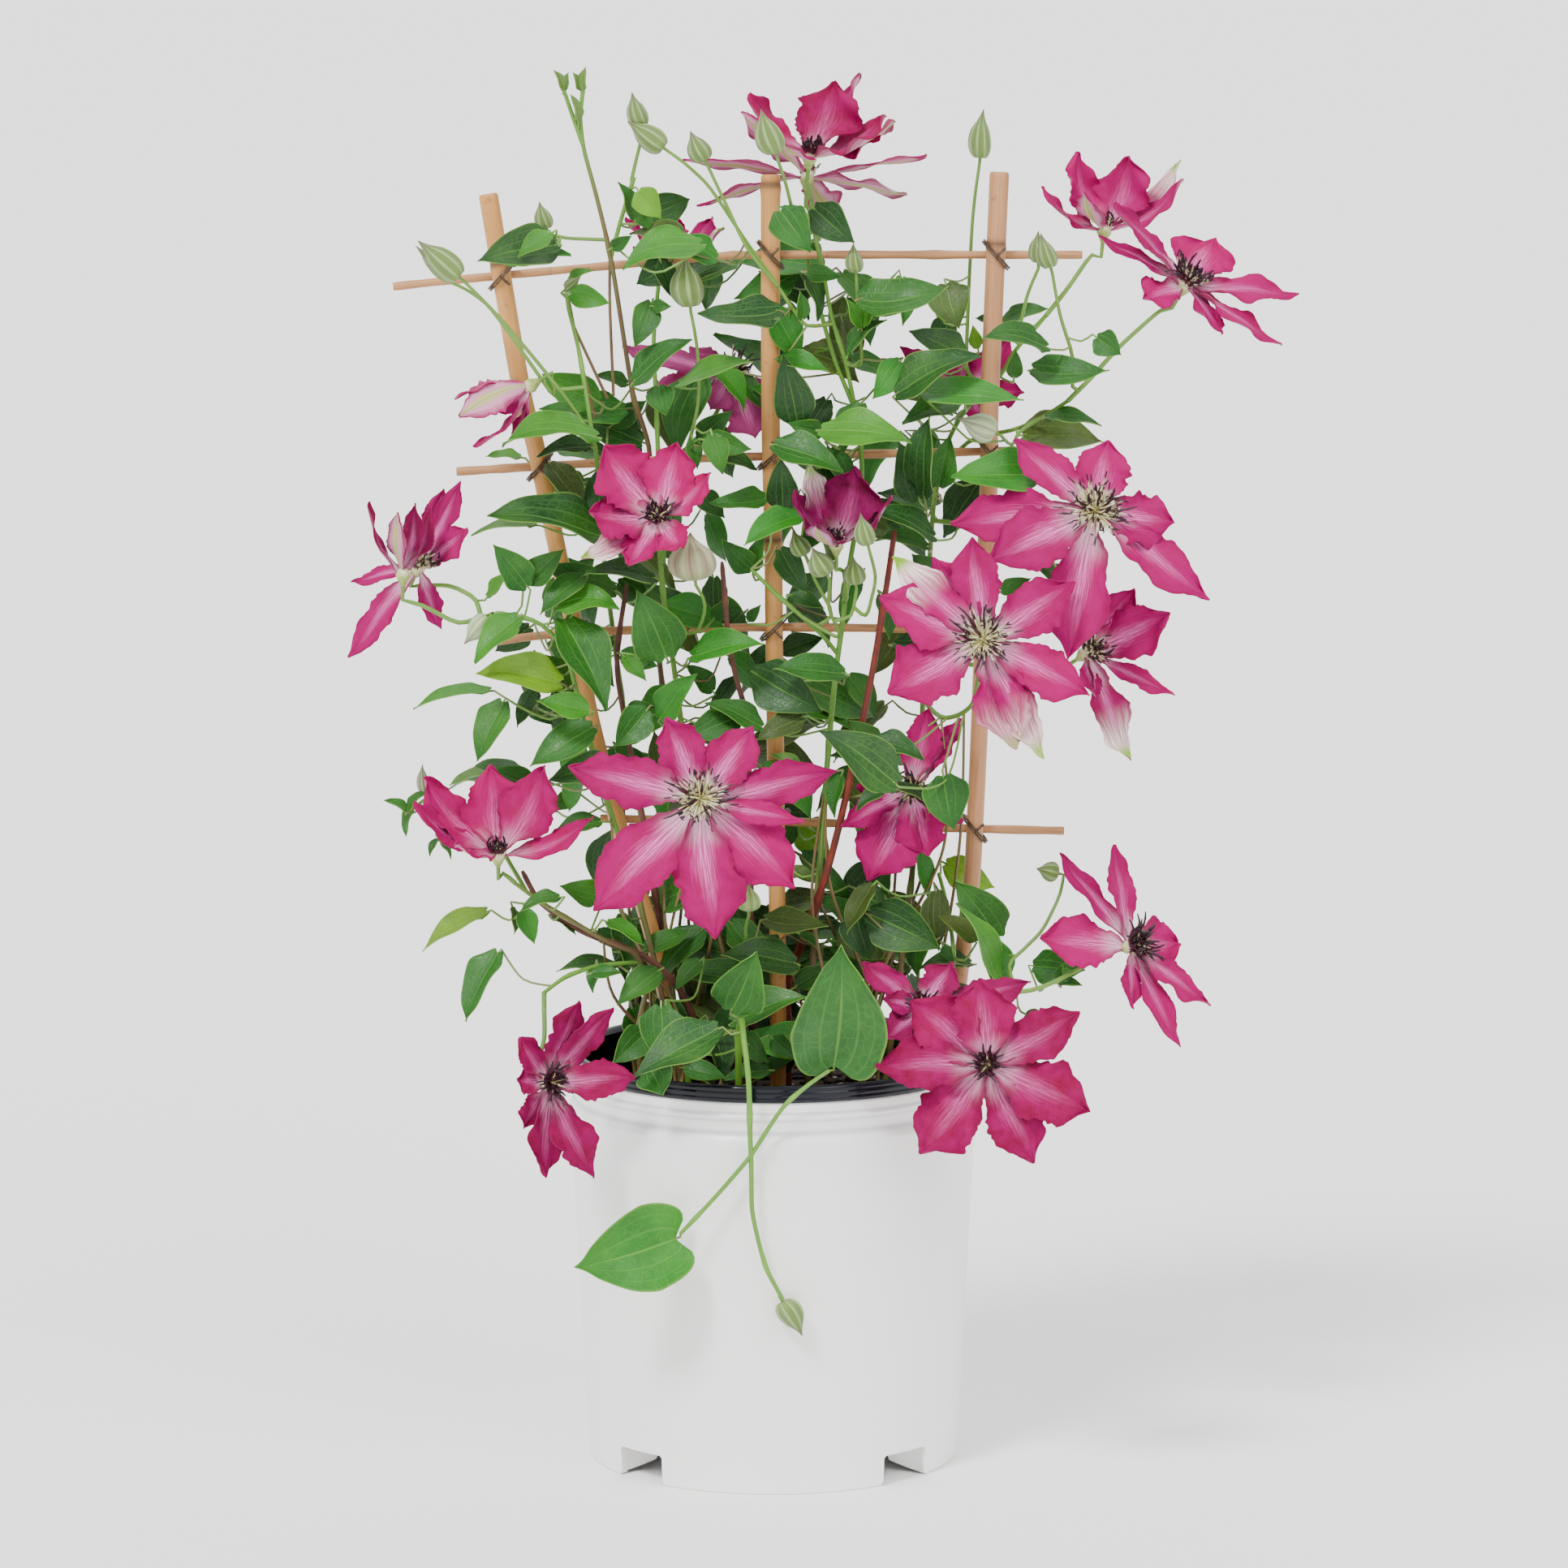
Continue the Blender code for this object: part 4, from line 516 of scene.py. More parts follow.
# Radius, and the line from the left end to the right one
RUNGS = {
    "rung_1": (1.8, [(-156, 477), (-117, 481), (-27, 489), (-1, 490), (127, 490)]),
    "rung_2": (1.9, [(-130, 401), (-73, 404.5), (-12, 407), (52, 408.5), (98, 409.5)]),
    "rung_3": (1.9, [(-117, 331), (-79, 335), (-12, 337), (19, 337), (97, 336)]),
    "rung_4": (1.9, [(-71, 258.5), (12, 257), (78, 254.5), (119.5, 253.5)]),
}
SEAT_GAP = 0.3
# How a cane was sawn off: the radius of the end, and how far below the top it has that radius
SAW_CUT = [(0.2, 2.5), (1.5, 2.5), (1.9, 0.3), (3.5, 0)]
SAW_CUT_MARKS = [0.9, 0.6, 0.1, 0]


def smooth_way(stops, step):
    """Points about a step apart on a smooth curve through the stops."""
    stops = [Vector(s) for s in stops]
    way = [stops[0]]
    for k in range(len(stops) - 1):
        before, after = stops[max(k - 1, 0)], stops[min(k + 2, len(stops) - 1)]
        a, b = stops[k], stops[k + 1]
        count = max(1, round((b - a).length / step))
        for i in range(1, count + 1):
            t = i / count
            way.append(0.5 * (
                2 * a + (b - before) * t
                + (2 * before - 5 * a + 4 * b - after) * t * t
                + (3 * a - before - 3 * b + after) * t ** 3
            ))
    return way


def laid_tube(form, points, radii, sides, closed=False):
    """A tube through the points, as a rolled grid with its seam at the back."""
    last = len(points) - 1
    frames = []
    side = None
    for k in range(last + 1):
        along = points[min(k + 1, last)] - points[max(k - 1, 0)]
        if closed and k in (0, last):
            along = points[1] - points[last - 1]
        along.normalize()
        if side is None:
            side = Vector((0.05, 1, 0.03))
        side = (side - along * side.dot(along)).normalized()
        frames.append((points[k], side, along.cross(side), radii[k]))

    def place(t, s):
        middle, out, other, radius = frames[round(t * last)]
        turn = math.pi * (s + 1)
        return middle + (out * math.cos(turn) + other * math.sin(turn)) * radius

    return laid_grid(form, last, sides, place)


def closed_tubes(form):
    """The form with each tube's seam merged and its two ends filled."""
    bmesh.ops.remove_doubles(form, verts=form.verts, dist=2e-7)
    bmesh.ops.holes_fill(form, edges=[e for e in form.edges if e.is_boundary], sides=0)
    bmesh.ops.recalc_face_normals(form, faces=form.faces)
    return form


# Long fibres, in fine streaks along a piece's own length
grain = value_group("grain", {"Along": "Float", "Around": "Float"}, lambda tree, given: {
    "Vector": add_node(tree, "CombineXYZ", {
        "X": given["Along"], "Y": given["Around"],
    }).outputs["Vector"],
    "Scale": 1, "Detail": 5, "Roughness": 0.65,
})


def own_place(tree):
    """How far along and how far around the piece: its UV map, as two sockets."""
    where = add_node(tree, "UVMap", {}, uv_map="UVMap").outputs["UV"]
    parts = add_node(tree, "SeparateXYZ", {"Vector": where})
    return parts.outputs["X"], parts.outputs["Y"]


def scaled(tree, value, factor, shift=0.0):
    """The value times a factor, plus a shift."""
    return reckoned(tree, "MULTIPLY_ADD", value, factor, shift)


def grained(tree, along, around):
    """The grain group in a material, for the stretched ways along and around a piece."""
    feeds = {"Along": along, "Around": around}
    return add_node(tree, "Group", feeds, node_tree=grain).outputs["Value"]


def bamboo_finish(name, pale, tan, dark, stretch):
    """Cane skin: pale and tan streaks along it, darker flecks, and a dull wax shine."""
    made, tree, shader = new_material(name, IOR=1.5, Coat_Weight=0.1, Coat_Roughness=0.35)
    along, around = own_place(tree)
    streaks = grained(tree, scaled(tree, along, stretch), scaled(tree, around, 24))
    broad = grained(tree, scaled(tree, along, stretch * 1.6, 3), scaled(tree, around, 2.5, 7))
    flecks = ranged(tree, mottled(tree, 230), 0.86, 1, 0, 0.5)
    body = mixed(tree, streaks, colour(tan), colour(pale))
    body = mixed(tree, ranged(tree, broad, 0.55, 1, 0, 0.55), body, colour(dark))
    body = mixed(tree, flecks, body, colour(dark))
    body = mixed(tree, own_mark(tree, "joint"), body, colour("5B3B22"))
    painted(tree, shader, body, ranged(tree, streaks, 0, 1, 0.42, 0.6))
    bumped(tree, shader, streaks, 0.12, 0.6)
    return made


def stake_radius(up):
    """A cane grows thinner from its top down to the soil."""
    share = max(0, up - STAKE_FOOT_UP) / STAKE_RISE
    return STAKE_LOW_RADIUS + (STAKE_TOP_RADIUS - STAKE_LOW_RADIUS) * share


def bell(away, breadth):
    """1 in the middle of a bump, and close to 0 at twice its breadth."""
    return math.exp(-(away / breadth) ** 2)


def nearest_place(points, vert):
    """Which of a tube's points lies nearest to one of its verts."""
    spot = vert.co / MM - pot_axis
    return min(range(len(points)), key=lambda k: (points[k] - spot).length_squared)


cane = bamboo_finish("bamboo cane", "CE9650", "B87C38", "8A5826", 3)
cane_pink = bamboo_finish("bamboo cane pinkish", "BE8A5E", "A67046", "7C4E2E", 3)
split_cane = bamboo_finish("split bamboo", "C49060", "A46C3E", "744828", 2)
for name, line in STAKES.items():
    way = smooth_way([(across, up, 0) for across, up in line], 2)
    points = [seen(across, up) for across, up, _ in way]
    foot = points[-1] + (points[-1] - points[-2]).normalized() * STAKE_DEPTH_IN_SOIL
    radii, marks = [], []
    for _, up, _ in way:
        above = min((up - joint for joint in JOINTS[name]), key=abs)
        swell, waist = 0.09 * bell(above, 2.6), 0.05 * bell(above - 2, 1.2)
        radii.append(stake_radius(up) * (0.97 + swell - waist))
        marks.append(bell(above - 1.5, 1.6))
    down = (points[1] - points[0]).normalized()
    cut_points = [points[0] + down * depth for _, depth in SAW_CUT]
    points = cut_points + points[1:] + [foot]
    radii = [radius for radius, _ in SAW_CUT] + radii[1:] + [STAKE_LOW_RADIUS]
    marks = SAW_CUT_MARKS + marks[1:] + [0]
    form = bmesh.new()
    mark = form.verts.layers.float.new("joint")
    for vert in laid_tube(form, points, radii, 20):
        vert[mark] = marks[nearest_place(points, vert)]
    skin = cane_pink if name == "stake_right" else cane
    mesh = finished_mesh(closed_tubes(form), name, 35)
    finish_piece(name.replace("stake", "cane"), mesh, skin, "bamboo", [name])

for name, (radius, line) in RUNGS.items():
    back = stake_radius(line[1][1]) + radius + SEAT_GAP
    way = smooth_way([(across, up, -back) for across, up in line], 3)
    points = [seen(*stop) for stop in way]
    form = bmesh.new()
    rng = random.Random(name)
    knots = [rng.uniform(0.1, 0.35), rng.uniform(0.6, 0.85)]
    radii = []
    for k in range(len(points)):
        nearest = min(abs(k / len(points) - knot) for knot in knots) * len(points)
        radii.append(radius * (0.94 + 0.14 * bell(nearest, 1) + 0.05 * math.sin(k * 0.7)))
    radii[0] = radii[-1] = radius * 0.9
    laid_tube(form, points, radii, 12)
    mesh = finished_mesh(closed_tubes(form), name, 35)
    finish_piece(name.replace("rung", "crossbar"), mesh, split_cane, "bamboo", [name])


# Each crossing of a cane and a rung, but that of the left cane and the lowest rung, is bound with
# turns of thin dark wire, and its two ends are twisted together at the front.
TIE_WIRE_RADIUS = 0.42
RING_STEPS = 24
TWIST_STEPS = 12
UNTIED = ("stake_left", "rung_4")
TIES = [(stake, rung) for stake in STAKES for rung in RUNGS if (stake, rung) != UNTIED]


def level_of(line, up):
    """Across, where a line in the front view passes this height, and the line's way there."""
    for (a, b), (c, d) in zip(line, line[1:]):
        if min(b, d) <= up <= max(b, d):
            return a + (c - a) * (up - b) / (d - b), Vector((a - c, 0, b - d)).normalized()
    return line[-1][0], UP


def crossing(stake_line, rung_line):
    """Where a stake and a rung cross in the front view."""
    up = rung_line[1][1]
    for _ in range(6):
        across, way = level_of(stake_line, up)
        for (a, b), (c, d) in zip(rung_line, rung_line[1:]):
            if a <= across <= c:
                up = b + (d - b) * (across - a) / (c - a)
    return across, up, way


wire, tree, shader = new_material("tie wire", Metallic=0.5)
body = mixed(tree, mottled(tree, 500), colour("33261C"), colour("6B5544"))
painted(tree, shader, body, ranged(tree, mottled(tree, 300), 0, 1, 0.35, 0.6))
for stake, rung in TIES:
    rung_radius, rung_line = RUNGS[rung]
    across, up, way = crossing(STAKES[stake], rung_line)
    thick = stake_radius(up)
    deep = thick + 2 * rung_radius + SEAT_GAP
    centre = seen(across, up, (thick - deep) / 2)
    ring_radius = ((thick + deep) / 2 + SEAT_GAP + TIE_WIRE_RADIUS + 0.5) * 1.06
    level = Vector((1 if way.x < 0 else -1, 0, 0))
    diagonal = (way + level).normalized()
    flat = Vector((0, 1, 0))
    axis = flat.cross(diagonal)
    form = bmesh.new()
    for turn_shift, lift in ((0, -0.45), (0.4, 0.5)):
        ring = []
        for i in range(RING_STEPS + 1):
            turn = 2 * math.pi * i / RING_STEPS
            out = flat * math.cos(turn + turn_shift) + diagonal * math.sin(turn + turn_shift)
            ring.append(centre + out * ring_radius + axis * (lift + 0.25 * math.sin(turn)))
        laid_tube(form, ring, [TIE_WIRE_RADIUS] * len(ring), 8, closed=True)
    front = centre - flat * ring_radius
    for turn_shift in (0, math.pi):
        twist = []
        for i in range(TWIST_STEPS + 1):
            turn = turn_shift + i * 1.1
            curl = (axis * math.cos(turn) + diagonal * math.sin(turn)) * 0.4
            twist.append(front + curl + (axis * 0.75 - flat * 0.25) * i * 0.5)
        laid_tube(form, twist, [TIE_WIRE_RADIUS * 0.8] * len(twist), 6)
    name = f"tie_{stake.split('_')[1]}_{rung.split('_')[1]}"
    replaced = [name] if name in frame["nodes"] else []
    mesh = finished_mesh(closed_tubes(form), name)
    finish_piece(name + ".wire", mesh, wire, "tie_wire", replaced)


# Each bloom is a star or a cup of four to nine tepals on a small knob. A tepal is thin and silky,
# hot pink at its waved edges, with a broad pale bar down its middle, and green and pink behind.
# Centre: across, up, forward. Facing: the way the face looks. Bulge: how far the tepals are cupped.
# Each tepal: tip across, tip up, how far the tip reaches forward of the centre, width.
BLOOMS = {
    "bloom_top_front": ((15, 530, 14), (0.1, -0.3, 0.95), 0.10, [
        (-9, 557, 4, 22), (26, 561, -14, 27), (46, 548, -2, 22), (4, 535, 22, 17),
        (50, 545, 16, 24),
    ]),
    "bloom_top_back": ((14, 521, -16), (0.05, 0.4, 0.9), -0.04, [
        (-37, 530, 2, 10), (-31, 509, 10, 13), (-14, 548, -4, 18), (37, 564, -26, 20),
        (63, 532, -8, 12), (55, 515, 8, 14), (24, 507, -8, 18),
    ]),
    "bloom_right_cup": ((136, 500, -6), (0.1, -0.1, 0.98), 0.12, [
        (111, 519, 6, 14), (124, 532, -8, 20), (146, 531, -8, 25), (168, 522, 2, 15),
        (127, 515, 16, 13), (168, 528, -16, 10),
    ]),
    "bloom_right_open": ((169, 477, 16), (0.42, -0.4, 0.81), -0.03, [
        (141, 512, 4, 20), (133, 497, 6, 9), (181, 496, -20, 24), (216, 475, 2, 17),
        (209, 453, 12, 16), (184, 457, 16, 14), (152, 473, 12, 16),
    ]),
    "bloom_left_nodding": ((-100, 436, 16), (-0.85, -0.15, -0.5), 0.12, [
        (-131, 432, 2, 13), (-129, 423, 10, 15), (-123, 411, 6, 15), (-106, 416, -4, 13),
        (-116, 426, -12, 12),
    ]),
    "bloom_back_left": ((-40, 488, -24), (0, -0.25, 0.97), 0.06, [
        (-60, 506, 0, 10), (-46, 506, -12, 17), (-25, 506, -10, 18), (-20, 501, 8, 12),
        (-58, 492, 8, 12),
    ]),
    "bloom_back_middle": ((-17, 440, -24), (0.2, -0.75, 0.6), -0.03, [
        (-62, 452, 0, 13), (-34, 453, -8, 13), (-52, 434, 4, 14), (-26, 426, 8, 12),
        (-7, 415, 8, 19), (12, 424, 0, 12),
    ]),
    "bloom_back_right": ((80, 432, -26), (-0.1, -0.85, 0.5), -0.03, [
        (36, 448, 0, 9), (52, 452, -4, 9), (98, 456, -4, 14), (103, 434, 2, 14), (63, 434, 6, 13),
        (86, 423, 10, 12), (75, 450, -8, 12),
    ]),
    "bloom_upper_left": ((-47, 381, 34), (-0.1, -0.75, 0.65), 0.04, [
        (-69, 412, -4, 27), (-39, 413, -8, 19), (-26, 401, 2, 15), (-76, 384, 6, 22),
        (-79, 366, 12, 13), (-60, 362, 18, 15), (-38, 370, 20, 15),
    ]),
    "bloom_dark_cup": ((26, 371, 36), (0, -0.25, 0.95), 0.12, [
        (16, 404, -4, 16), (34, 403, -8, 22), (48, 392, 4, 14), (8, 393, 4, 14), (18, 380, 15, 13),
        (37, 379, 13, 12),
    ]),
    "bloom_far_left_cup": ((-152, 359, 26), (0.03, -0.15, 0.98), 0.10, [
        (-165, 389, 4, 12), (-155, 384, 9, 10), (-146, 388, -2, 11), (-141, 387, -7, 10),
    ]),
    "bloom_far_left_open": ((-146, 361, 8), (0.3, -0.6, 0.7), -0.02, [
        (-135, 394, -8, 11), (-128, 397, -2, 10), (-126, 378, 6, 14), (-137, 336, 8, 9),
        (-175, 325, 4, 11), (-173, 355, -2, 8),
    ]),
    "bloom_right_upper": ((132, 384, 38), (0.08, -0.92, 0.36), -0.03, [
        (73, 380, 4, 20), (88, 364, 10, 24), (121, 324, 14, 25), (179, 348, 8, 17),
        (165, 380, 0, 23), (138, 414, -8, 22), (99, 414, -6, 16),
    ]),
    "bloom_right_large": ((86, 331, 66), (0.02, -0.93, 0.34), -0.03, [
        (44, 350, 0, 22), (49, 366, -6, 15), (66, 366, -6, 16), (82, 374, -6, 19),
        (124, 356, -14, 20), (130, 309, 4, 19), (47, 310, 6, 26), (111, 283, 8, 15),
        (100, 287, 12, 22),
    ]),
    "bloom_right_hidden": ((128, 326, 12), (0.6, -0.6, 0.5), -0.02, [
        (163, 343, 2, 22), (165, 309, 4, 11), (146, 282, 8, 18), (133, 309, 12, 13),
        (148, 353, -10, 16),
    ]),
    "bloom_behind_stake": ((57, 270, 14), (-0.05, -0.93, 0.3), -0.03, [
        (28, 255, 4, 12), (39, 233, 8, 24), (64, 243, 8, 20), (78, 257, 2, 14), (64, 304, -8, 15),
        (77, 300, -12, 9), (34, 272, -2, 11),
    ]),
    "bloom_lower_left_large": ((-30, 266, 66), (0, -0.95, 0.3), -0.03, [
        (-84, 280, -2, 21), (-44, 300, -4, 19), (-8, 296, -4, 20), (26, 278, 0, 17),
        (13, 257, 6, 9), (9, 230, 6, 25), (-24, 209, 8, 26), (-74, 221, 6, 26),
    ]),
    "bloom_left_cup": ((-113, 243, 46), (0, -0.42, 0.9), 0.10, [
        (-147, 266, 8, 14), (-144, 275, -6, 20), (-116, 281, -14, 24), (-93, 280, -10, 22),
        (-74, 260, 4, 12), (-131, 247, 20, 13),
    ]),
    "bloom_low_right": ((146, 206, 28), (0.72, -0.6, 0.33), -0.02, [
        (117, 244, -2, 11), (141, 248, -10, 16), (167, 207, -16, 20), (110, 210, 10, 22),
        (179, 181, 0, 14), (168, 165, 8, 13), (147, 180, 12, 11),
    ]),
    "bloom_at_rim_left": ((-93, 150, 76), (0.62, -0.75, 0.2), -0.02, [
        (-80, 184, 0, 16), (-65, 180, 2, 13), (-56, 152, 6, 15), (-73, 111, 8, 19),
        (-94, 111, 6, 15), (-103, 169, 2, 14), (-105, 151, 0, 12), (-102, 131, 4, 12),
    ]),
    "bloom_at_rim_right": ((88, 157, 92), (0, -0.95, 0.3), -0.03, [
        (85, 193, -4, 24), (57, 184, -2, 23), (126, 179, 0, 20), (130, 138, 6, 25),
        (107, 117, 6, 21), (60, 121, 6, 25), (42, 157, 2, 20),
    ]),
    "bloom_behind_rim": ((62, 180, 60), (-0.2, -0.75, 0.65), -0.02, [
        (37, 200, -4, 12), (74, 199, -8, 16), (45, 184, 2, 9), (46, 168, 6, 12),
        (106, 192, -10, 14),
    ]),
}
# How a bloom differs from the others: its edge colour, and how strong its pale bar is
TEPAL_EDGE = "96004E"
TEPAL_EDGES = {
    "bloom_top_back": "8E0A4E", "bloom_dark_cup": "4A001C", "bloom_at_rim_left": "74002E",
    "bloom_at_rim_right": "7C0032", "bloom_behind_rim": "820A42", "bloom_back_middle": "A8447A",
    "bloom_top_front": "880038", "bloom_upper_left": "9A004C", "bloom_left_cup": "98004A",
    "bloom_far_left_open": "920A50", "bloom_far_left_cup": "700630", "bloom_right_upper": "960450",
}
PALE_BARS = {
    "bloom_top_front": 0.45, "bloom_dark_cup": 0.3, "bloom_at_rim_right": 0.5,
    "bloom_at_rim_left": 0.6, "bloom_left_cup": 0.55, "bloom_back_middle": 1.6,
    "bloom_upper_left": 0.8, "bloom_right_cup": 0.55, "bloom_right_open": 0.8,
    "bloom_low_right": 0.8, "bloom_behind_stake": 0.8, "bloom_top_back": 1.0,
}
# Tepals whose tip is bleached, by their tip's place
BLEACHED = {
    (49, 366): 0.9, (111, 283): 0.7, (100, 287): 0.35, (146, 282): 0.8, (168, 528): 0.7,
    (-20, 501): 0.9, (-79, 366): 0.8, (16, 404): 0.5, (55, 515): 0.5,
}
TEPAL_LAYER = 1.15
TEPAL_WAVE = 0.03
TEPAL_THICKNESS = 0.45
BLOOM_MOVES = [0, 3, -3, 6, -6, 9, -9, 12, -12, 15, -15, 18, -18, 21, -21, 24, -24]


def node_tree(name):
    """A node's solid, to find how far a point of this script lies from it."""
    mesh = frame["nodes"][name].data
    points = [vert.co / MM - pot_axis for vert in mesh.vertices]
    return BVHTree.FromPolygons(points, [tuple(face.vertices) for face in mesh.polygons])


def miss(solid, points):
    """How badly the points miss the solid."""
    return sum(min(solid.find_nearest(point)[3], 4) ** 2 for point in points) / len(points)


def tepal_profile(t):
    """The half width of a tepal from its foot to its tip, as a share of its greatest."""
    return math.sin(math.pi * t ** 1.25) ** 0.8 if 0 < t < 1 else 0.0


def curved_surface(base, tip, face, width, arch, cup, profile, wave=0.0, least=0.0):
    """Gives the point anywhere on a blade, from base (t 0) to tip (t 1) and across it (s -1 to 1).

    A half width and a lift off the blade may be given in place of the plain ones.
    """
    length = (tip - base).length
    along = (tip - base) / length
    face = (face - along * face.dot(along)).normalized()
    across = along.cross(face)

    def at(t, s, half=None, lift=0.0, back=0.0, aside=0.0):
        if half is None:
            half = max(width / 2 * profile(t), least)
        middle = base + along * (length * t - back) + face * arch * length * 4 * t * (1 - t)
        ripple = wave * width * s * math.sin(7.5 * t + 0.6)
        return middle + across * (s * half + aside) + face * (cup * half * s * s + ripple + lift)

    return at


def tepal_surface(centre, facing, tip, width, layer, bulge):
    """A tepal from the knob at the centre to its tip, moved along its own face into its layer."""
    way = (tip - centre).normalized()
    out = (way - facing * way.dot(facing)).normalized()
    root = centre + out
    along = (tip - root).normalized()
    inner = facing * along.dot(out) - out * along.dot(facing)
    root, tip = root + inner * layer * 0.6, tip + inner * layer
    return curved_surface(root, tip, inner, width, -bulge, 0.08, tepal_profile, TEPAL_WAVE)


def sides_of(facing):
    """Two directions square to the facing and to each other."""
    side = facing.cross(UP if abs(facing.z) < 0.8 else Vector((0, 1, 0))).normalized()
    return side, facing.cross(side)


def bloom_tepals(centre, facing, tepals, bulge):
    """The surface of each tepal, with its tip in the front view, its width and its length."""
    across, up, forward = centre
    heart = seen(across, up, forward)
    side, other = sides_of(facing)
    order = []
    for tip_across, tip_up, reach, width in tepals:
        tip = seen(tip_across, tip_up, forward + reach)
        turn = math.atan2((tip - heart).dot(other), (tip - heart).dot(side))
        order.append((turn, width, tip, (tip_across, tip_up)))
    order.sort(key=lambda entry: entry[0])
    found = []
    for place, (_, width, tip, spot) in enumerate(order):
        layer = TEPAL_LAYER if place % 2 else -TEPAL_LAYER
        if place == len(order) - 1 and len(order) % 2:
            layer = 0.0
        surface = tepal_surface(heart, facing, tip, width, layer, bulge)
        found.append((surface, spot, width, (tip - heart).length))
    return found


def thickened(form, thickness):
    """Gives blades their thickness, and marks the old side as the back of the blade."""
    mark = form.verts.layers.float.new("back")
    way = form.verts.layers.float_vector.new("way")
    bmesh.ops.reverse_faces(form, faces=form.faces)
    form.normal_update()
    for vert in form.verts:
        vert[mark] = 1
        vert[way] = vert.normal
    rear = form.faces[:]
    made = bmesh.ops.extrude_face_region(form, geom=rear, use_keep_orig=True)["geom"]
    for vert in made:
        if isinstance(vert, bmesh.types.BMVert):
            vert[mark] = 0
            vert.co += vert[way] * thickness * MM
    bmesh.ops.reverse_faces(form, faces=rear)
    form.verts.layers.float_vector.remove(way)
    return form


def smooth(low, high, value):
    """0 below low and 1 above high, with a smooth rise between them."""
    share = min(1, max(0, (value - low) / (high - low)))
    return share * share * (3 - 2 * share)


def uneven(seed, place):
    """A smooth uneven line through 0, for edges."""
    return noise.noise(Vector((place, seed * 7.31, 0.5)))


def lay_tepal(form, surface, width, length, bulge, seed):
    """One waved tepal, with a channelled foot, a ragged edge and a drawn-out tip."""
    rng = random.Random(seed)
    ruffle = rng.uniform(0.055, 0.1) * width
    phase = rng.uniform(0, 6)
    curl = rng.uniform(0.02, 0.07) * length * (1 if bulge < 0.05 else -0.4)
    twist = rng.uniform(-0.12, 0.12) * width

    def place(t, s):
        edge = s * (4 if s > 0 else 6)
        half = width / 2 * max(tepal_profile(min(t * 0.985 + 0.015, 1)), 0.01)
        half *= 1 - 0.42 * smooth(0.78, 0.98, t)
        hand = seed + (9 if s > 0 else 4)
        ragged = 0.26 * uneven(hand, t * 6) + 0.17 * uneven(hand + 2, t * 17)
        ragged += 0.08 * uneven(hand + 5, t * 37)
        half = max(half * (1 + ragged * abs(s)), 0.12)
        sway = 0.035 * length * uneven(seed + 0.3, t * 1.6 + 3)
        wave = ruffle * abs(s) ** 2.2 * math.sin(5 + phase + edge + t * (13 + 3 * (s > 0)))
        channel = 0.45 * abs(s) * half * (1 - smooth(0.05, 0.4, t))
        ribs = 0.28 * math.cos(s * math.pi * 4.5) * (1 - smooth(0.3, 0.45, abs(s)))
        ribs *= smooth(0.1, 0.3, t)
        belly = math.sin(math.pi * t)
        fall = -curl * smooth(0.55, 1, t) * 4 * (1 - t) - 0.3 * curl * belly
        grown = smooth(0, 0.12, t) * (1 - smooth(0.96, 1, t))
        lift = (wave + twist * s * belly + ribs) * grown + channel + fall
        return surface(t, s, half, lift, 0, sway * belly)

    return laid_grid(form, 36, 14, place)


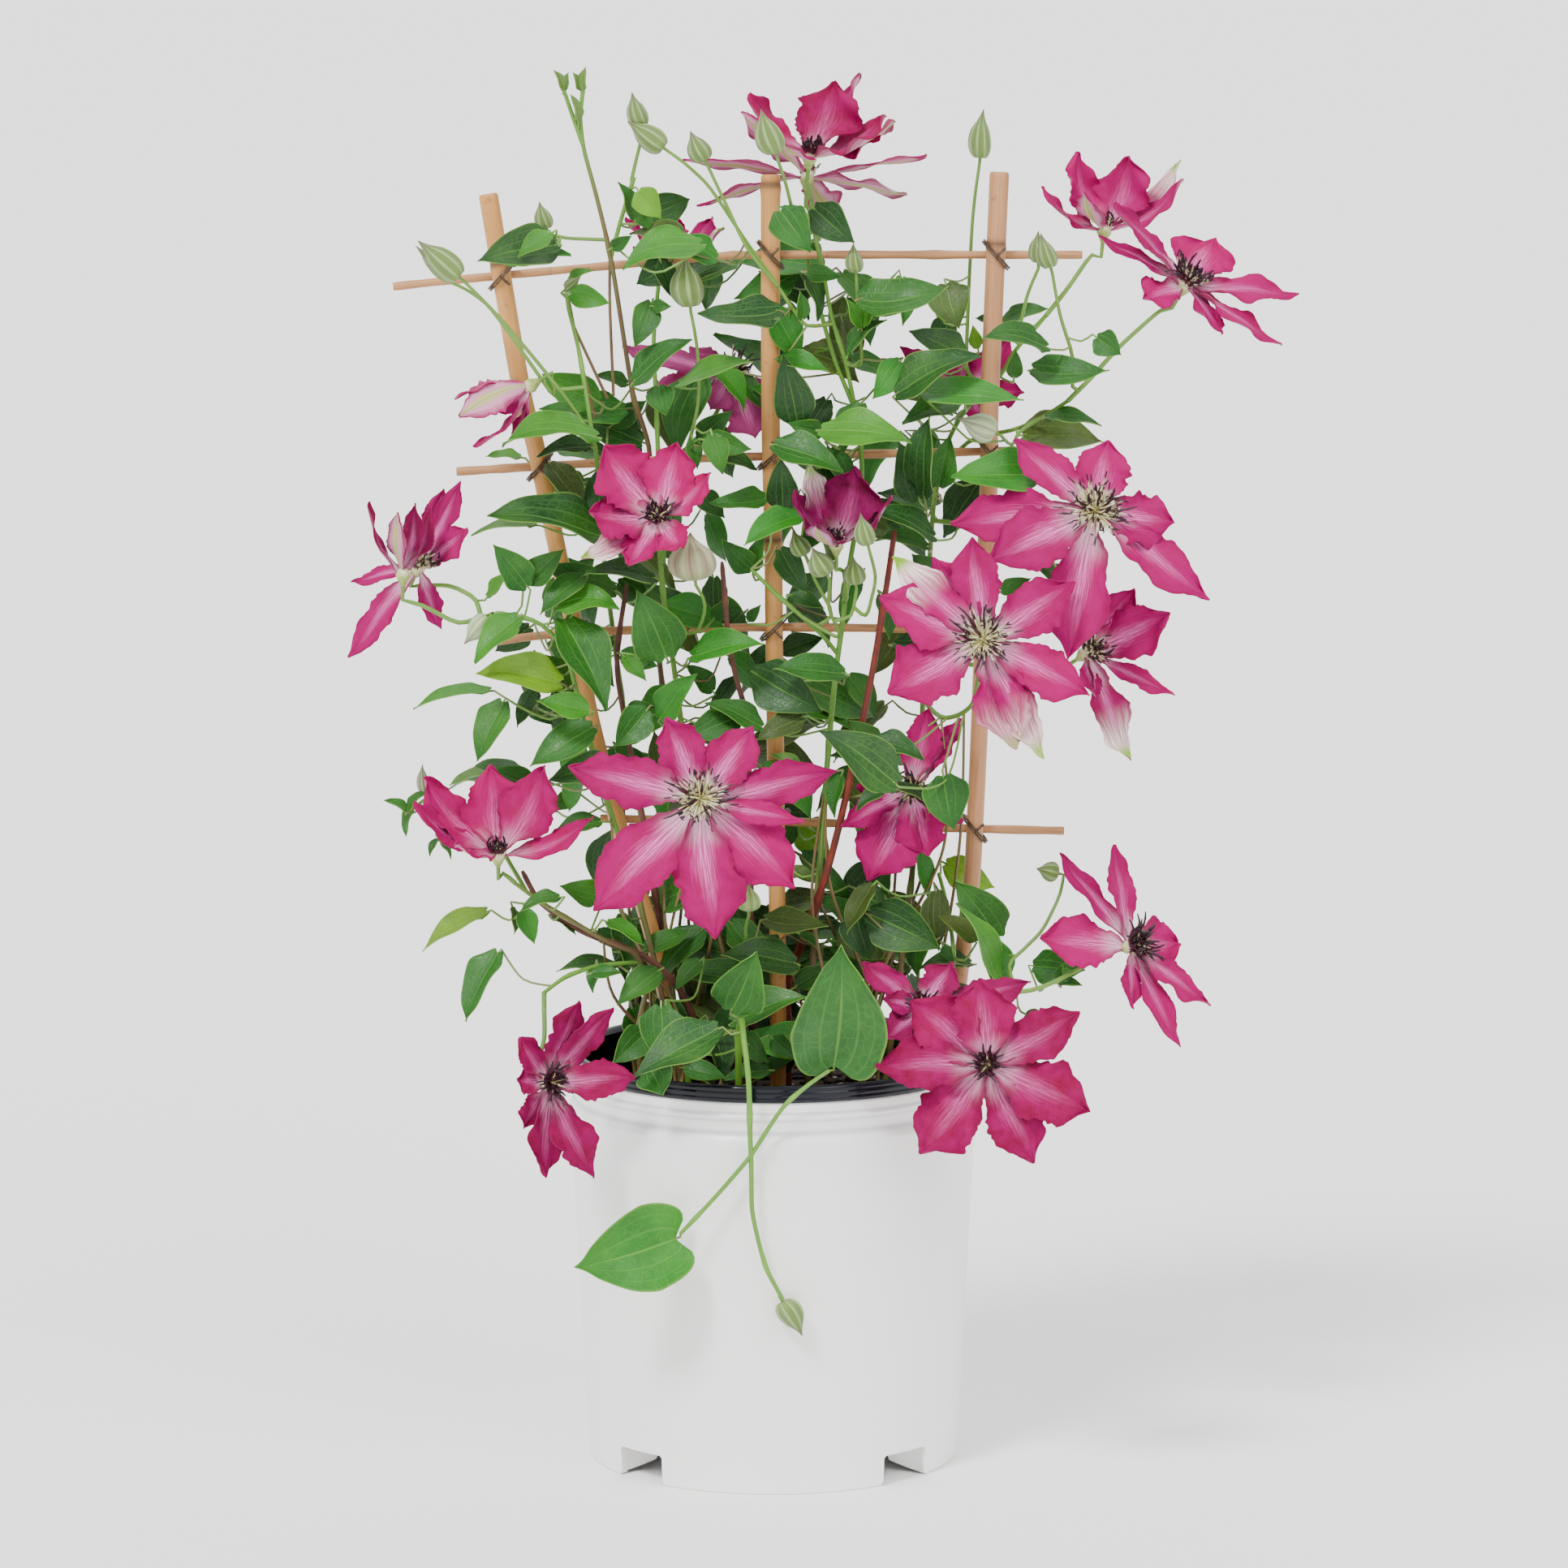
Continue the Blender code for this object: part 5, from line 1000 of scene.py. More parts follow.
def tepal_finish():
    """Silky skin: edge colour, pale bar with streaks, dark centre line, green-white back."""
    made, tree, shader = new_material("tepal", Specular_IOR_Level=0.12)
    along, around = own_place(tree)
    aside = reckoned(tree, "ABSOLUTE", scaled(tree, around, 2, -1))
    tint = own_mark(tree, "tint", "Color")
    pale, bleached, back = [own_mark(tree, name) for name in ("pale", "bleached", "back")]
    streaks = grained(tree, scaled(tree, along, 2.2), scaled(tree, around, 34))
    fibres = grained(tree, scaled(tree, along, 4.5), scaled(tree, around, 60))

    def product(*factors):
        value = factors[0]
        for factor in factors[1:]:
            value = reckoned(tree, "MULTIPLY", value, factor)
        return value

    # The pale bar narrows and fades towards the tip, and the foot is paler still
    ragged = reckoned(tree, "MULTIPLY_ADD", streaks, 0.5, aside)
    inside = reckoned(tree, "DIVIDE", ragged, ranged(tree, along, 0.05, 0.95, 1.15, 0.5))
    bar, fade = ranged(tree, inside, 0.15, 0.9, 1, 0), ranged(tree, along, 0.25, 0.95, 1, 0.06)
    bar = product(bar, fade, pale, ranged(tree, fibres, 0.3, 0.7, 0.22, 1))
    foot = product(ranged(tree, along, 0.03, 0.38, 1, 0), ranged(tree, fibres, 0.3, 0.7, 0.5, 1))
    foot = product(foot, ranged(tree, pale, 0.3, 1, 0.4, 1), ranged(tree, aside, 0.4, 1, 1, 0.15))
    body = mixed(tree, mottled(tree, 130), tint, mixed(tree, 0.4, tint, colour("AE0074")))
    body = mixed(tree, ranged(tree, aside, 0.75, 1.0, 0, 0.3), body, colour("76003A"))
    body = mixed(tree, bar, body, colour("FF8CD4"))
    body = mixed(tree, foot, body, colour("FFDCEE"))

    # A thin line down the middle, and one on each side of it
    middle = ranged(tree, aside, 0.015, 0.06, 0.5, 0)
    beside = ranged(tree, apart(tree, aside, 0.24), 0.01, 0.05, 0.3, 0)
    lines = reckoned(tree, "MAXIMUM", middle, beside)
    share = product(lines, ranged(tree, along, 0.1, 0.9, 1, 0.2))
    body = mixed(tree, share, body, colour("86083E"))

    # A bleached tip is whitish, and green at its very end
    share = product(bleached, ranged(tree, along, 0.45, 0.85, 0, 1.15))
    share = product(share, ranged(tree, streaks, 0.3, 0.6, 0.25, 1))
    body = mixed(tree, share, body, colour("FFF2E8"))
    share = product(bleached, ranged(tree, along, 0.82, 0.94, 0, 1.2))
    body = mixed(tree, share, body, colour("8CBE34"))

    # The back is green in the middle, and pink towards the edge
    rear = mixed(tree, 0.25, colour("E6A4C6"), tint)
    rear = mixed(tree, ranged(tree, ragged, 0.35, 0.65), colour("B4BC74"), rear)
    rear = mixed(tree, ranged(tree, ragged, 0.75, 1.15, 0, 0.85), rear, tint)
    rear = mixed(tree, product(lines, 0.8), rear, colour("96705C"))
    body = mixed(tree, ranged(tree, back, 0.85, 1, 0, 0.92), body, rear)
    painted(tree, shader, body, ranged(tree, streaks, 0, 1, 0.55, 0.7))
    bumped(tree, shader, reckoned(tree, "MULTIPLY_ADD", lines, -1.2, streaks), 0.25, 0.7)
    return made


tepal_skin = tepal_finish()
bloom_hearts = {}
for name, (centre, facing, bulge, tepals) in BLOOMS.items():
    across, up, forward = centre
    facing = Vector(facing).normalized()
    solid = node_tree(name)

    def bloom_miss(move):
        surfaces = bloom_tepals((across, up, forward + move), facing, tepals, bulge)
        return miss(solid, [surface(t, 0) for surface, *_ in surfaces for t in (0.66, 0.98)])

    place = (across, up, forward + min(BLOOM_MOVES, key=bloom_miss))
    bloom_hearts[name] = (seen(*place), facing)
    form = bmesh.new()
    pale, bleached = [form.verts.layers.float.new(key) for key in ("pale", "bleached")]
    tint = tint_layer(form)
    edge = colour(TEPAL_EDGES.get(name, TEPAL_EDGE))
    for surface, spot, width, length in bloom_tepals(place, facing, tepals, bulge):
        rng = random.Random(f"{name} {spot}")
        strength = PALE_BARS.get(name, 1.0) * rng.uniform(0.8, 1.15)
        light = rng.uniform(0.82, 1.12)
        shade = [min(1, share * light) for share in edge[:3]] + [1]
        seed = spot[0] + 0.37 * spot[1]
        for vert in lay_tepal(form, surface, width * 1.04, length, bulge, seed):
            vert[pale] = strength
            vert[bleached] = BLEACHED.get(spot, 0.0)
            vert[tint] = shade
    mesh = finished_mesh(thickened(form, TEPAL_THICKNESS), name, 70)
    finish_piece(name + ".tepals", mesh, tepal_skin, "tepal_magenta", [name])


# In the middle of an open bloom stand the stamens: flat cream filaments with dark purple anthers,
# spread round a tuft of pale curled styles. All grow from the green knob at the stalk's end.
KNOB_TOP = 2.2
KNOB_DEPTH = 5.0
# Spread of the outer filaments in degrees, their length, how many there are, and what share of
# them is maroon, which is all of them from MAROON_MIDDLE on
MAROON_MIDDLE = 0.85
STAMENS = {
    "bloom_right_open": (50, 12, 64, 0.7), "bloom_upper_left": (42, 9, 46, 0.8),
    "bloom_right_upper": (66, 16, 96, 0.12), "bloom_right_large": (68, 15, 90, 0.2),
    "bloom_lower_left_large": (68, 15, 90, 0.1), "bloom_low_right": (48, 13, 60, 0.9),
    "bloom_at_rim_left": (42, 12, 40, 1.0), "bloom_at_rim_right": (38, 10, 44, 1.0),
    "bloom_top_front": (24, 8, 26, 0.9), "bloom_dark_cup": (20, 7, 20, 0.8),
    "bloom_left_cup": (24, 8, 24, 0.9), "bloom_far_left_open": (50, 13, 40, 0.3),
    "bloom_right_hidden": (46, 12, 40, 0.5), "bloom_behind_stake": (46, 12, 40, 0.7),
    "bloom_behind_rim": (40, 10, 30, 0.9), "bloom_back_middle": (64, 13, 44, 0.4),
    "bloom_back_left": (24, 8, 18, 0.8), "bloom_back_right": (40, 10, 26, 0.8),
    "bloom_right_cup": (18, 7, 16, 0.8), "bloom_top_back": (30, 8, 16, 0.5),
}
FILAMENT_POINTS = 7
STYLE_POINTS = 5
FILAMENT_COLOUR = "F2EAC4"
STYLE_COLOUR = "E6E09A"
ANTHER_COLOUR = "2A081A"
DARK_FILAMENT = "4C0A26"
# The green knob: how far along the facing, radius and colour
KNOB = [
    (-KNOB_DEPTH, 0.95, "9AAE58"), (-3, 1.9, "9AAE58"), (-1, 3.0, "A8B85E"), (0.8, 2.8, "D8DCA0"),
    (KNOB_TOP, 1.6, "E8E2B8"), (KNOB_TOP + 0.3, 0.3, "E8E2B8"),
]

stamen_skin, tree, shader = new_material("stamens", Roughness=0.55)
share = ranged(tree, mottled(tree, 900), 0, 1, 0, 0.4)
painted(tree, shader, mixed(tree, share, own_mark(tree, "tint", "Color"), colour("0E0408")))
bumped(tree, shader, mottled(tree, 1500), 0.1, 0.5)


def lay_tinted_tube(form, layer, points, radii, sides, codes):
    """A tube with a colour for each of its points, as a code or as linear values."""
    shades = [colour(code) if isinstance(code, str) else code for code in codes]
    for vert in laid_tube(form, points, radii, sides):
        vert[layer] = shades[nearest_place(points, vert)]


def lay_plain_tube(form, layer, points, radii, sides, shade):
    """A tube of one colour."""
    lay_tinted_tube(form, layer, points, radii, sides, [shade] * len(points))


for name, (heart, facing) in bloom_hearts.items():
    rng = random.Random(name)
    side, other = sides_of(facing)
    form = bmesh.new()
    layer = tint_layer(form)
    rises, radii, codes = zip(*KNOB)
    lay_tinted_tube(form, layer, [heart + facing * rise for rise in rises], radii, 12, codes)
    spread, length, count, dark = STAMENS.get(name, (0, 0, 0, 0))
    foot = heart + facing * 1.2
    for i in range(count):
        row = rng.random() ** 0.7
        lean = math.radians(spread) * (0.25 + 0.75 * row) * rng.uniform(0.9, 1.1)
        turn = 2 * math.pi * (i + rng.uniform(-0.3, 0.3)) / count * 3.02
        out = side * math.cos(turn) + other * math.sin(turn)
        reach = length * rng.uniform(0.7, 1.08) * (0.62 + 0.38 * row)
        hook = rng.uniform(-1.5, 0.9)
        sway = rng.uniform(-0.25, 0.25)
        aside = facing.cross(out)
        maroon = rng.random() < dark or dark >= MAROON_MIDDLE
        if maroon:
            filament_radius, anther_radius, anther_from = 0.95, 0.45, 0.64
        else:
            filament_radius, anther_radius, anther_from = 0.32, 0.34, 0.7
        points, radii, codes = [], [], []
        for k in range(FILAMENT_POINTS):
            t = k / (FILAMENT_POINTS - 1)
            bend = lean * (0.55 + 0.45 * t) + hook * max(0, t - 0.7)
            way = facing * math.cos(bend) + out * math.sin(bend)
            way += aside * sway * t * t
            points.append(foot + out * (0.9 + 1.5 * row) + way * reach * t)
            if t > anther_from:
                radii.append(anther_radius)
                codes.append(ANTHER_COLOUR)
            else:
                radii.append(filament_radius)
                codes.append(DARK_FILAMENT if maroon and t > 0.2 else FILAMENT_COLOUR)
        radii[-1] = 0.25
        lay_tinted_tube(form, layer, points, radii, 4, codes)
    for i in range(count // (3 if dark < MAROON_MIDDLE else 7)):
        turn = 2.4 * i
        out = side * math.cos(turn) + other * math.sin(turn)
        lean = 0.09 * math.sqrt(i)
        points = []
        for k in range(STYLE_POINTS):
            t = k / (STYLE_POINTS - 1)
            way = facing * math.cos(lean * (1 + t)) + out * math.sin(lean * (1 + t) + 0.5 * t * t)
            points.append(foot + out * 0.25 * math.sqrt(i) + way * length * 0.55 * t)
        codes = [STYLE_COLOUR] * 4 + ["F3EFC4" if dark < 0.65 else "7A3A4A"]
        lay_tinted_tube(form, layer, points, [0.4, 0.4, 0.38, 0.35, 0.3], 4, codes)
    stamens = name.replace("bloom", "stamens")
    replaced = [stamens] if stamens in frame["nodes"] else []
    mesh = finished_mesh(closed_tubes(form), stamens, 60)
    finish_piece(stamens + ".tuft", mesh, stamen_skin, "stamen_cream", replaced)


# Old stems are thin, bare and woody. Their bark is reddish brown and splits into fine strips along
# the stem, and a thicker ring marks each joint where leaves once grew.
WOODY = {
    "woody_stem_right": (1.8, (6, -8), [
        (6, 190, 4), (11, 205, 10), (20, 230, 14), (27, 255, 16), (36, 295, 20), (41, 320, 22),
        (46, 350, 24), (50, 377, 24),
    ]),
    "woody_stem_left": (1.5, (-44, -6), [
        (-45, 200, 0), (-52, 250, 8), (-62, 305, 10), (-64, 326, 12), (-60, 355, 10),
    ]),
    "woody_stem_middle": (1.5, (-8, -14), [
        (-9, 200, 0), (-10, 260, 8), (-10, 295, 14), (-14, 312, 16), (-18, 330, 16), (-21, 364, 14),
    ]),
    "woody_branch_low": (1.6, (-28, 4), [
        (-34, 180, 10), (-50, 200, 22), (-80, 213, 28), (-97, 226, 30), (-103, 237, 30),
    ]),
}
RED_BARK = ["7E2410", "6E2010", "8A2E16"]
BROWN_BARK = ["6A3A2C", "5E3226", "744434"]
# A stem's way is sought in steps, at levels of depth, up to so many levels off
ROUTE_STEP = 9
ROUTE_LEVEL = 3
ROUTE_REACH = 7
MISS_LIMIT = 5


def follow(stops, solid, fixed_end=False):
    """The way of a stem through its (across, up, forward) stops, as deep as the solid has it.

    Returns its points and how badly they miss the solid.
    """
    way = smooth_way(stops, ROUTE_STEP)

    def point_at(k, level):
        return seen(way[k].x, way[k].y, way[k].z + level * ROUTE_LEVEL)

    def cost_at(point):
        return min(solid.find_nearest(point)[3], MISS_LIMIT) ** 2

    costs, sources = [{0: 0.0}], [{}]
    for k in range(1, len(way)):
        here, source = {}, {}
        for level in range(-ROUTE_REACH, ROUTE_REACH + 1):
            if k == len(way) - 1 and fixed_end and level:
                continue
            point = point_at(k, level)
            own = cost_at(point)
            for before in range(level - 2, level + 3):
                if before not in costs[-1]:
                    continue
                middle = point_at(k - 1, before).lerp(point, 0.5)
                cost = costs[-1][before] + own + cost_at(middle) + 0.1 * (level - before) ** 2
                if level not in here or cost < here[level]:
                    here[level], source[level] = cost, before
        costs.append(here)
        sources.append(source)
    level = min(costs[-1], key=costs[-1].get)
    total = costs[-1][level] / len(way)
    deep = []
    for k in range(len(way) - 1, -1, -1):
        deep.append(way[k].z + level * ROUTE_LEVEL)
        level = sources[k].get(level, 0)
    deep = deep[::-1]
    eased = [deep[0]]
    for k in range(1, len(deep) - 1):
        eased.append((deep[k - 1] + 2 * deep[k] + deep[k + 1]) / 4)
    eased.append(deep[-1])
    line = [(spot.x, spot.y, depth) for spot, depth in zip(way, eased)]
    return [seen(*spot) for spot in smooth_way(line, 3.5)], total


def stem_finish(name, roughness, streak, streak_share, along_scale, around_scale, relief):
    """A stem's skin: its own tint, with streaks of another colour along it."""
    made, tree, shader = new_material(name)
    along, around = own_place(tree)
    tint = own_mark(tree, "tint", "Color")
    streaks = grained(tree, scaled(tree, along, along_scale), scaled(tree, around, around_scale))
    body = mixed(tree, ranged(tree, streaks, 0.35, 1, 0, streak_share), tint, colour(streak))
    body = mixed(tree, ranged(tree, mottled(tree, 160), 0, 1, 0, 0.3), body, colour(streak))
    painted(tree, shader, body, ranged(tree, streaks, 0, 1, roughness, roughness + 0.15))
    bumped(tree, shader, streaks, relief, 0.8)
    return made


bark_skin = stem_finish("woody bark", 0.55, "3A1A10", 0.8, 12, 9, 0.4)
for name, (radius, (across, forward), stops) in WOODY.items():
    top = Vector((across, -forward, SOIL_TOP + 3))
    points, _ = follow([as_seen(top)] + stops, node_tree(name))
    points = [top - UP * 20] + points
    form = bmesh.new()
    layer = tint_layer(form)
    rng = random.Random(name)
    radii, codes = [], []
    for k in range(len(points)):
        thinner = 1 - 0.35 * k / len(points)
        uneven_radius = 1 + 0.35 * bell(k % 17 - 8, 1.2) + rng.uniform(-0.04, 0.04)
        radii.append(radius * thinner * uneven_radius)
        codes.append(rng.choice(RED_BARK if name == "woody_stem_right" else BROWN_BARK))
    radii[-1] *= 0.6
    lay_tinted_tube(form, layer, points, radii, 9, codes)
    mesh = finished_mesh(closed_tubes(form), name, 60)
    finish_piece(name + ".bark", mesh, bark_skin, "woody_bark", [name])


# The vines: green stems, brown where they are old, which climb the trellis and hold on to it by
# their leaf stalks. Root: across and forward of the pot's axis. Stem: stops of across, up, forward.
# Stalks: bloom and the stops back to the stem. Branches: further stems. Buds: base, tip, width,
# forward, stops. Leaves: base, tip, width as seen, forward, and a letter for the leaf's colour.
VINES = {
    "vine_left": {
        "root": (-36, 18),
        "stem": [
            (-44, 178, 16), (-50, 205, 12), (-58, 235, 12), (-68, 265, 14), (-78, 300, 16),
            (-86, 328, 18), (-99, 340, 20), (-112, 343, 22),
        ],
        "stalks": [
            ("bloom_far_left_cup", [(-144, 346), (-129, 339), (-120, 341)]),
            ("bloom_far_left_open", [(-133, 354), (-122, 348)]),
        ],
        "buds": [
            (-117, 341, -127, 330, 9, 26, []),
        ],
        "leaves": [
            (-101, 354, -115, 371, 14, 24, "m"), (-101, 356, -86, 369, 12, 22, "m"),
            (-78, 358, -96, 343, 10, 20, "m"), (-88, 346, -63, 345, 12, 26, "l"),
            (-105, 341, -123, 323, 12, 32, "l"), (-100, 337, -114, 327, 12, -8, "d"),
            (-88, 314, -122, 319, 16, 28, "y"), (-86, 340, -68, 303, 20, 22, "m"),
            (-76, 303, -97, 307, 11, 34, "l"), (-111, 306, -122, 282, 13, 20, "m"),
            (-74, 296, -100, 280, 15, 26, "m"), (-66, 281, -92, 275, 14, 18, "d"),
            (-102, 277, -134, 272, 8, -6, "m"), (-96, 268, -118, 279, 10, 2, "m"),
        ],
        "small_leaves": [
            (-117, 350, -106, 360, 5, 14, "l"), (-82, 268, -92, 262, 8, -20, "m"),
            (-118, 277, -133, 272, 4, 14, "g"), (-78, 333, -70, 321, 9, -16, "d"),
            (-97, 311, -105, 296, 8, 14, "d"), (-100, 305, -90, 297, 8, -12, "d"),
            (-117, 311, -148, 305, 5, 10, "l"), (-54, 279, -66, 290, 10, -12, "m"),
            (-71, 257, -91, 252, 8, 18, "m"),
        ],
    },
    "vine_upper_left": {
        "root": (-26, -22),
        "stem": [
            (-36, 180, -20), (-48, 230, -16), (-58, 280, -14), (-65, 330, -14), (-70, 370, -4),
            (-72, 400, 8), (-74, 414, 12), (-80, 424, 16),
        ],
        "branches": [
            [(-74, 414, 12), (-76, 428, 14), (-80, 452, 10), (-84, 468, 8), (-85, 476, 8)],
        ],
        "stalks": [
            ("bloom_left_nodding", [(-90, 435)]),
        ],
        "buds": [
            (-129, 481, -146, 496, 11, 30, [(-113, 465), (-96, 445), (-85, 431)]),
            (-133, 480, -147, 494, 6, 16, [(-118, 470), (-100, 446), (-90, 432)]),
            (-85, 476, -79, 481, 5, 8, []),
        ],
        "leaves": [
            (-72, 430, -95, 441, 16, -4, "l"), (-73, 415, -111, 413, 11, 26, "l"),
            (-70, 374, -117, 384, 16, 22, "d"), (-49, 357, -77, 360, 9, 26, "d"),
            (-70, 402, -70, 377, 9, 6, "d"), (-66, 420, -52, 430, 10, -16, "m"),
        ],
        "small_leaves": [
            (-60, 437, -73, 441, 6, -10, "m"), (-104, 407, -118, 407, 4, -14, "l"),
            (-84, 479, -74, 484, 4, 2, "l"), (-84, 400, -76, 392, 8, -20, "m"),
            (-90, 394, -86, 402, 6, -22, "m"), (-80, 423, -96, 427, 7, 12, "m"),
            (-98, 379, -124, 375, 4, 12, "g"), (-76, 411, -97, 408, 7, 14, "d"),
            (-83, 474, -67, 470, 10, 14, "l"),
        ],
    },
    "young_shoot": {
        "root": (-16, -36),
        "stem": [
            (-24, 180, -36), (-36, 240, -34), (-44, 300, -30), (-50, 360, -24), (-51, 411, -8),
            (-57, 430, -4), (-66, 485, 8), (-72, 512, 8), (-78, 535, 8), (-79, 549, 8),
            (-78, 558, 8),
        ],
        "branches": [
            [(-78, 536, 8), (-83, 549, 9), (-86, 558, 9)],
            [(-67, 488, 8), (-62, 506, 6), (-57, 522, 6)],
        ],
        "buds": [
            (-54, 543, -58, 557, 8, 6, [(-56, 530), (-58, 521)]),
            (-93, 501, -96, 512, 7, 14, [(-85, 497)]),
        ],
        "leaves": [
            (-89, 494, -121, 488, 18, 22, "d"), (-108, 487, -83, 490, 9, 16, "b"),
            (-50, 506, -34, 513, 14, -8, "d"), (-55, 516, -46, 505, 12, 14, "y"),
            (-30, 494, -62, 485, 14, 18, "l"),
        ],
        "small_leaves": [
            (-66, 493, -58, 498, 6, 12, "m"), (-86, 558, -90, 566, 4, 9, "p"),
            (-86, 558, -84, 565, 4, 7, "p"), (-79, 558, -82, 565, 4, 7, "p"),
            (-78, 558, -77, 567, 4, 9, "p"), (-80, 545, -83, 556, 4, 10, "p"),
            (-91, 499, -105, 489, 8, 34, "l"), (-57, 505, -63, 520, 7, 4, "m"),
            (-56, 510, -50, 500, 9, 0, "m"),
        ],
    },
    "vine_middle_left": {
        "root": (-12, 10),
        "stem": [
            (-15, 180, 10), (-22, 210, 4), (-32, 250, 2), (-38, 300, 4), (-42, 330, 10),
            (-46, 360, 12), (-47, 400, 4), (-48, 430, 0), (-49, 455, -6), (-47, 478, -10),
        ],
        "stalks": [
            ("bloom_back_left", [(-43, 482)]),
            ("bloom_lower_left_large", [(-33, 258)]),
            ("bloom_back_middle", [(-24, 424), (-36, 410)]),
            ("bloom_upper_left", [(-45, 372), (-45, 364)]),
        ],
        "buds": [
            (-34, 469, -36, 490, 13, 12, [(-31, 450), (-31, 428), (-38, 405)]),
            (-32, 357, -34, 376, 19, 30, [(-28, 346), (-32, 335)]),
        ],
        "leaves": [
            (-43, 487, -56, 478, 13, -12, "d"), (-38, 478, -15, 488, 10, -14, "d"),
            (-50, 470, -57, 452, 12, 10, "m"), (-57, 438, -34, 456, 11, 14, "m"),
            (-38, 437, -8, 446, 8, 18, "l"), (-44, 325, -56, 352, 23, 24, "m"),
            (-35, 341, -53, 355, 14, -8, "d"), (-46, 300, -32, 318, 13, 20, "b"),
            (-52, 303, -65, 288, 15, 22, "m"), (-28, 414, -9, 410, 11, 16, "m"),
            (-25, 416, -21, 400, 11, 24, "m"), (-30, 414, -17, 426, 11, 12, "m"),
            (-33, 325, -4, 331, 12, 22, "b"), (-14, 300, -37, 290, 14, 22, "m"),
        ],
        "small_leaves": [
            (-49, 469, -42, 469, 6, 12, "m"), (-61, 325, -52, 315, 7, 26, "l"),
            (-60, 303, -48, 304, 6, 12, "m"), (-33, 414, -31, 402, 7, 10, "m"),
            (-32, 329, -40, 335, 8, -12, "o"), (-24, 341, -18, 349, 7, 6, "m"),
            (-34, 370, -46, 366, 8, 4, "m"), (-46, 487, -41, 472, 9, -8, "d"),
            (-47, 436, -44, 424, 12, 16, "m"), (-62, 326, -47, 321, 10, 16, "m"),
            (-25, 311, -36, 322, 9, -4, "m"), (-30, 392, -20, 382, 10, -16, "m"),
        ],
    },
    "vine_middle": {
        "root": (14, 12),
        "stem": [
            (15, 180, 14), (17, 210, 12), (20, 250, 10), (23, 290, 10), (26, 320, 12),
            (28, 335, 12), (31, 360, 6), (36, 390, 0), (36, 410, -4), (34, 425, -4), (26, 445, -2),
            (20, 465, -4), (15, 485, -8), (13, 495, -10),
        ],
        "branches": [
            [(28, 326, 12), (20, 334, 16), (0, 352, 18), (-9, 361, 18)],
            [(34, 425, -4), (30, 445, 0), (24, 465, 2), (21, 482, 2)],
        ],
        "stalks": [
            ("bloom_top_back", [(15, 508)]),
            ("bloom_top_front", [(16, 512), (17, 500)]),
            ("bloom_dark_cup", [(29, 360), (30, 350)]),
        ],
        "buds": [
            (-45, 534, -60, 545, 10, 6, [(-28, 520), (-10, 494), (0, 480), (14, 461)]),
            (-28, 529, -34, 541, 9, 12, [(-18, 508), (-10, 492), (2, 477)]),
            (1, 532, -5, 550, 11, 34, [(5, 520), (8, 508), (11, 497)]),
            (34, 483, 33, 495, 7, 14, [(35, 465), (36, 445)]),
            (13, 367, 8, 377, 8, 26, [(17, 357), (24, 342)]),
            (22, 359, 16, 370, 10, 36, [(23, 345), (27, 333)]),
            (34, 355, 33, 366, 9, 30, [(32, 342)]),
            (39, 371, 36, 384, 8, 44, [(42, 358), (38, 342)]),
            (-10, 221, -10, 232, 10, 44, [(-11, 208), (-2, 196)]),
        ],
        "leaves": [
            (3, 508, 15, 491, 17, 22, "m"), (17, 509, 33, 495, 16, 14, "d"),
            (36, 472, 72, 478, 16, 18, "m"), (2, 467, -31, 466, 13, 20, "d"),
            (52, 446, 41, 431, 13, 16, "b"), (10, 421, 4, 449, 17, 12, "d"),
            (20, 418, 57, 413, 15, 24, "l"), (1, 412, 29, 401, 14, 20, "m"),
            (11, 383, -12, 371, 11, 28, "b"), (4, 386, 3, 407, 14, 20, "d"),
            (-3, 390, -26, 388, 9, 12, "m"), (-9, 361, -21, 373, 11, 14, "m"),
            (3, 369, 14, 351, 12, 20, "d"), (4, 327, 21, 333, 10, -10, "d"),
            (-7, 318, 20, 303, 22, 16, "d"), (29, 318, 0, 320, 12, 26, "m"),
            (12, 300, -7, 291, 11, 24, "o"), (-5, 296, -28, 306, 10, 8, "m"),
            (31, 317, 42, 300, 11, -6, "m"), (11, 256, 23, 242, 14, -12, "y"),
            (-3, 217, 23, 215, 11, 22, "o"), (9, 199, -21, 203, 15, 26, "d"),
        ],
        "small_leaves": [
            (12, 464, 11, 475, 6, 8, "m"), (8, 463, 6, 472, 4, 0, "m"),
            (36, 461, 30, 472, 6, 10, "l"), (36, 461, 43, 471, 6, 12, "l"),
            (8, 350, 21, 345, 7, 4, "m"), (-10, 340, -5, 346, 5, 4, "m"),
            (11, 279, -1, 285, 6, 8, "p"), (8, 238, 17, 232, 6, 2, "o"),
            (11, 211, 20, 204, 4, 8, "m"), (45, 270, 34, 262, 6, 26, "d"),
            (14, 483, 28, 481, 8, 8, "m"), (14, 482, 19, 463, 7, 2, "d"),
            (31, 449, 46, 464, 6, 8, "m"), (-13, 440, -5, 427, 8, -12, "m"),
            (20, 417, 6, 421, 9, 8, "m"), (-8, 361, -4, 375, 8, 12, "m"),
            (8, 256, 2, 244, 8, -16, "m"), (28, 276, 25, 259, 7, 14, "m"),
            (3, 447, 23, 442, 8, 14, "b"),
        ],
    },
    "vine_right": {
        "root": (46, 8),
        "stem": [
            (50, 180, 8), (54, 210, 4), (58, 245, -6), (61, 290, -10), (62, 330, -8), (64, 360, -6),
            (67, 395, -6), (74, 418, -10), (84, 432, -12), (93, 440, -12), (99, 450, -8),
            (112, 465, -4),
        ],
        "branches": [
            [(68, 398, -6), (80, 413, -10), (98, 418, -8), (110, 423, 0), (121, 430, 6)],
        ],
        "stalks": [
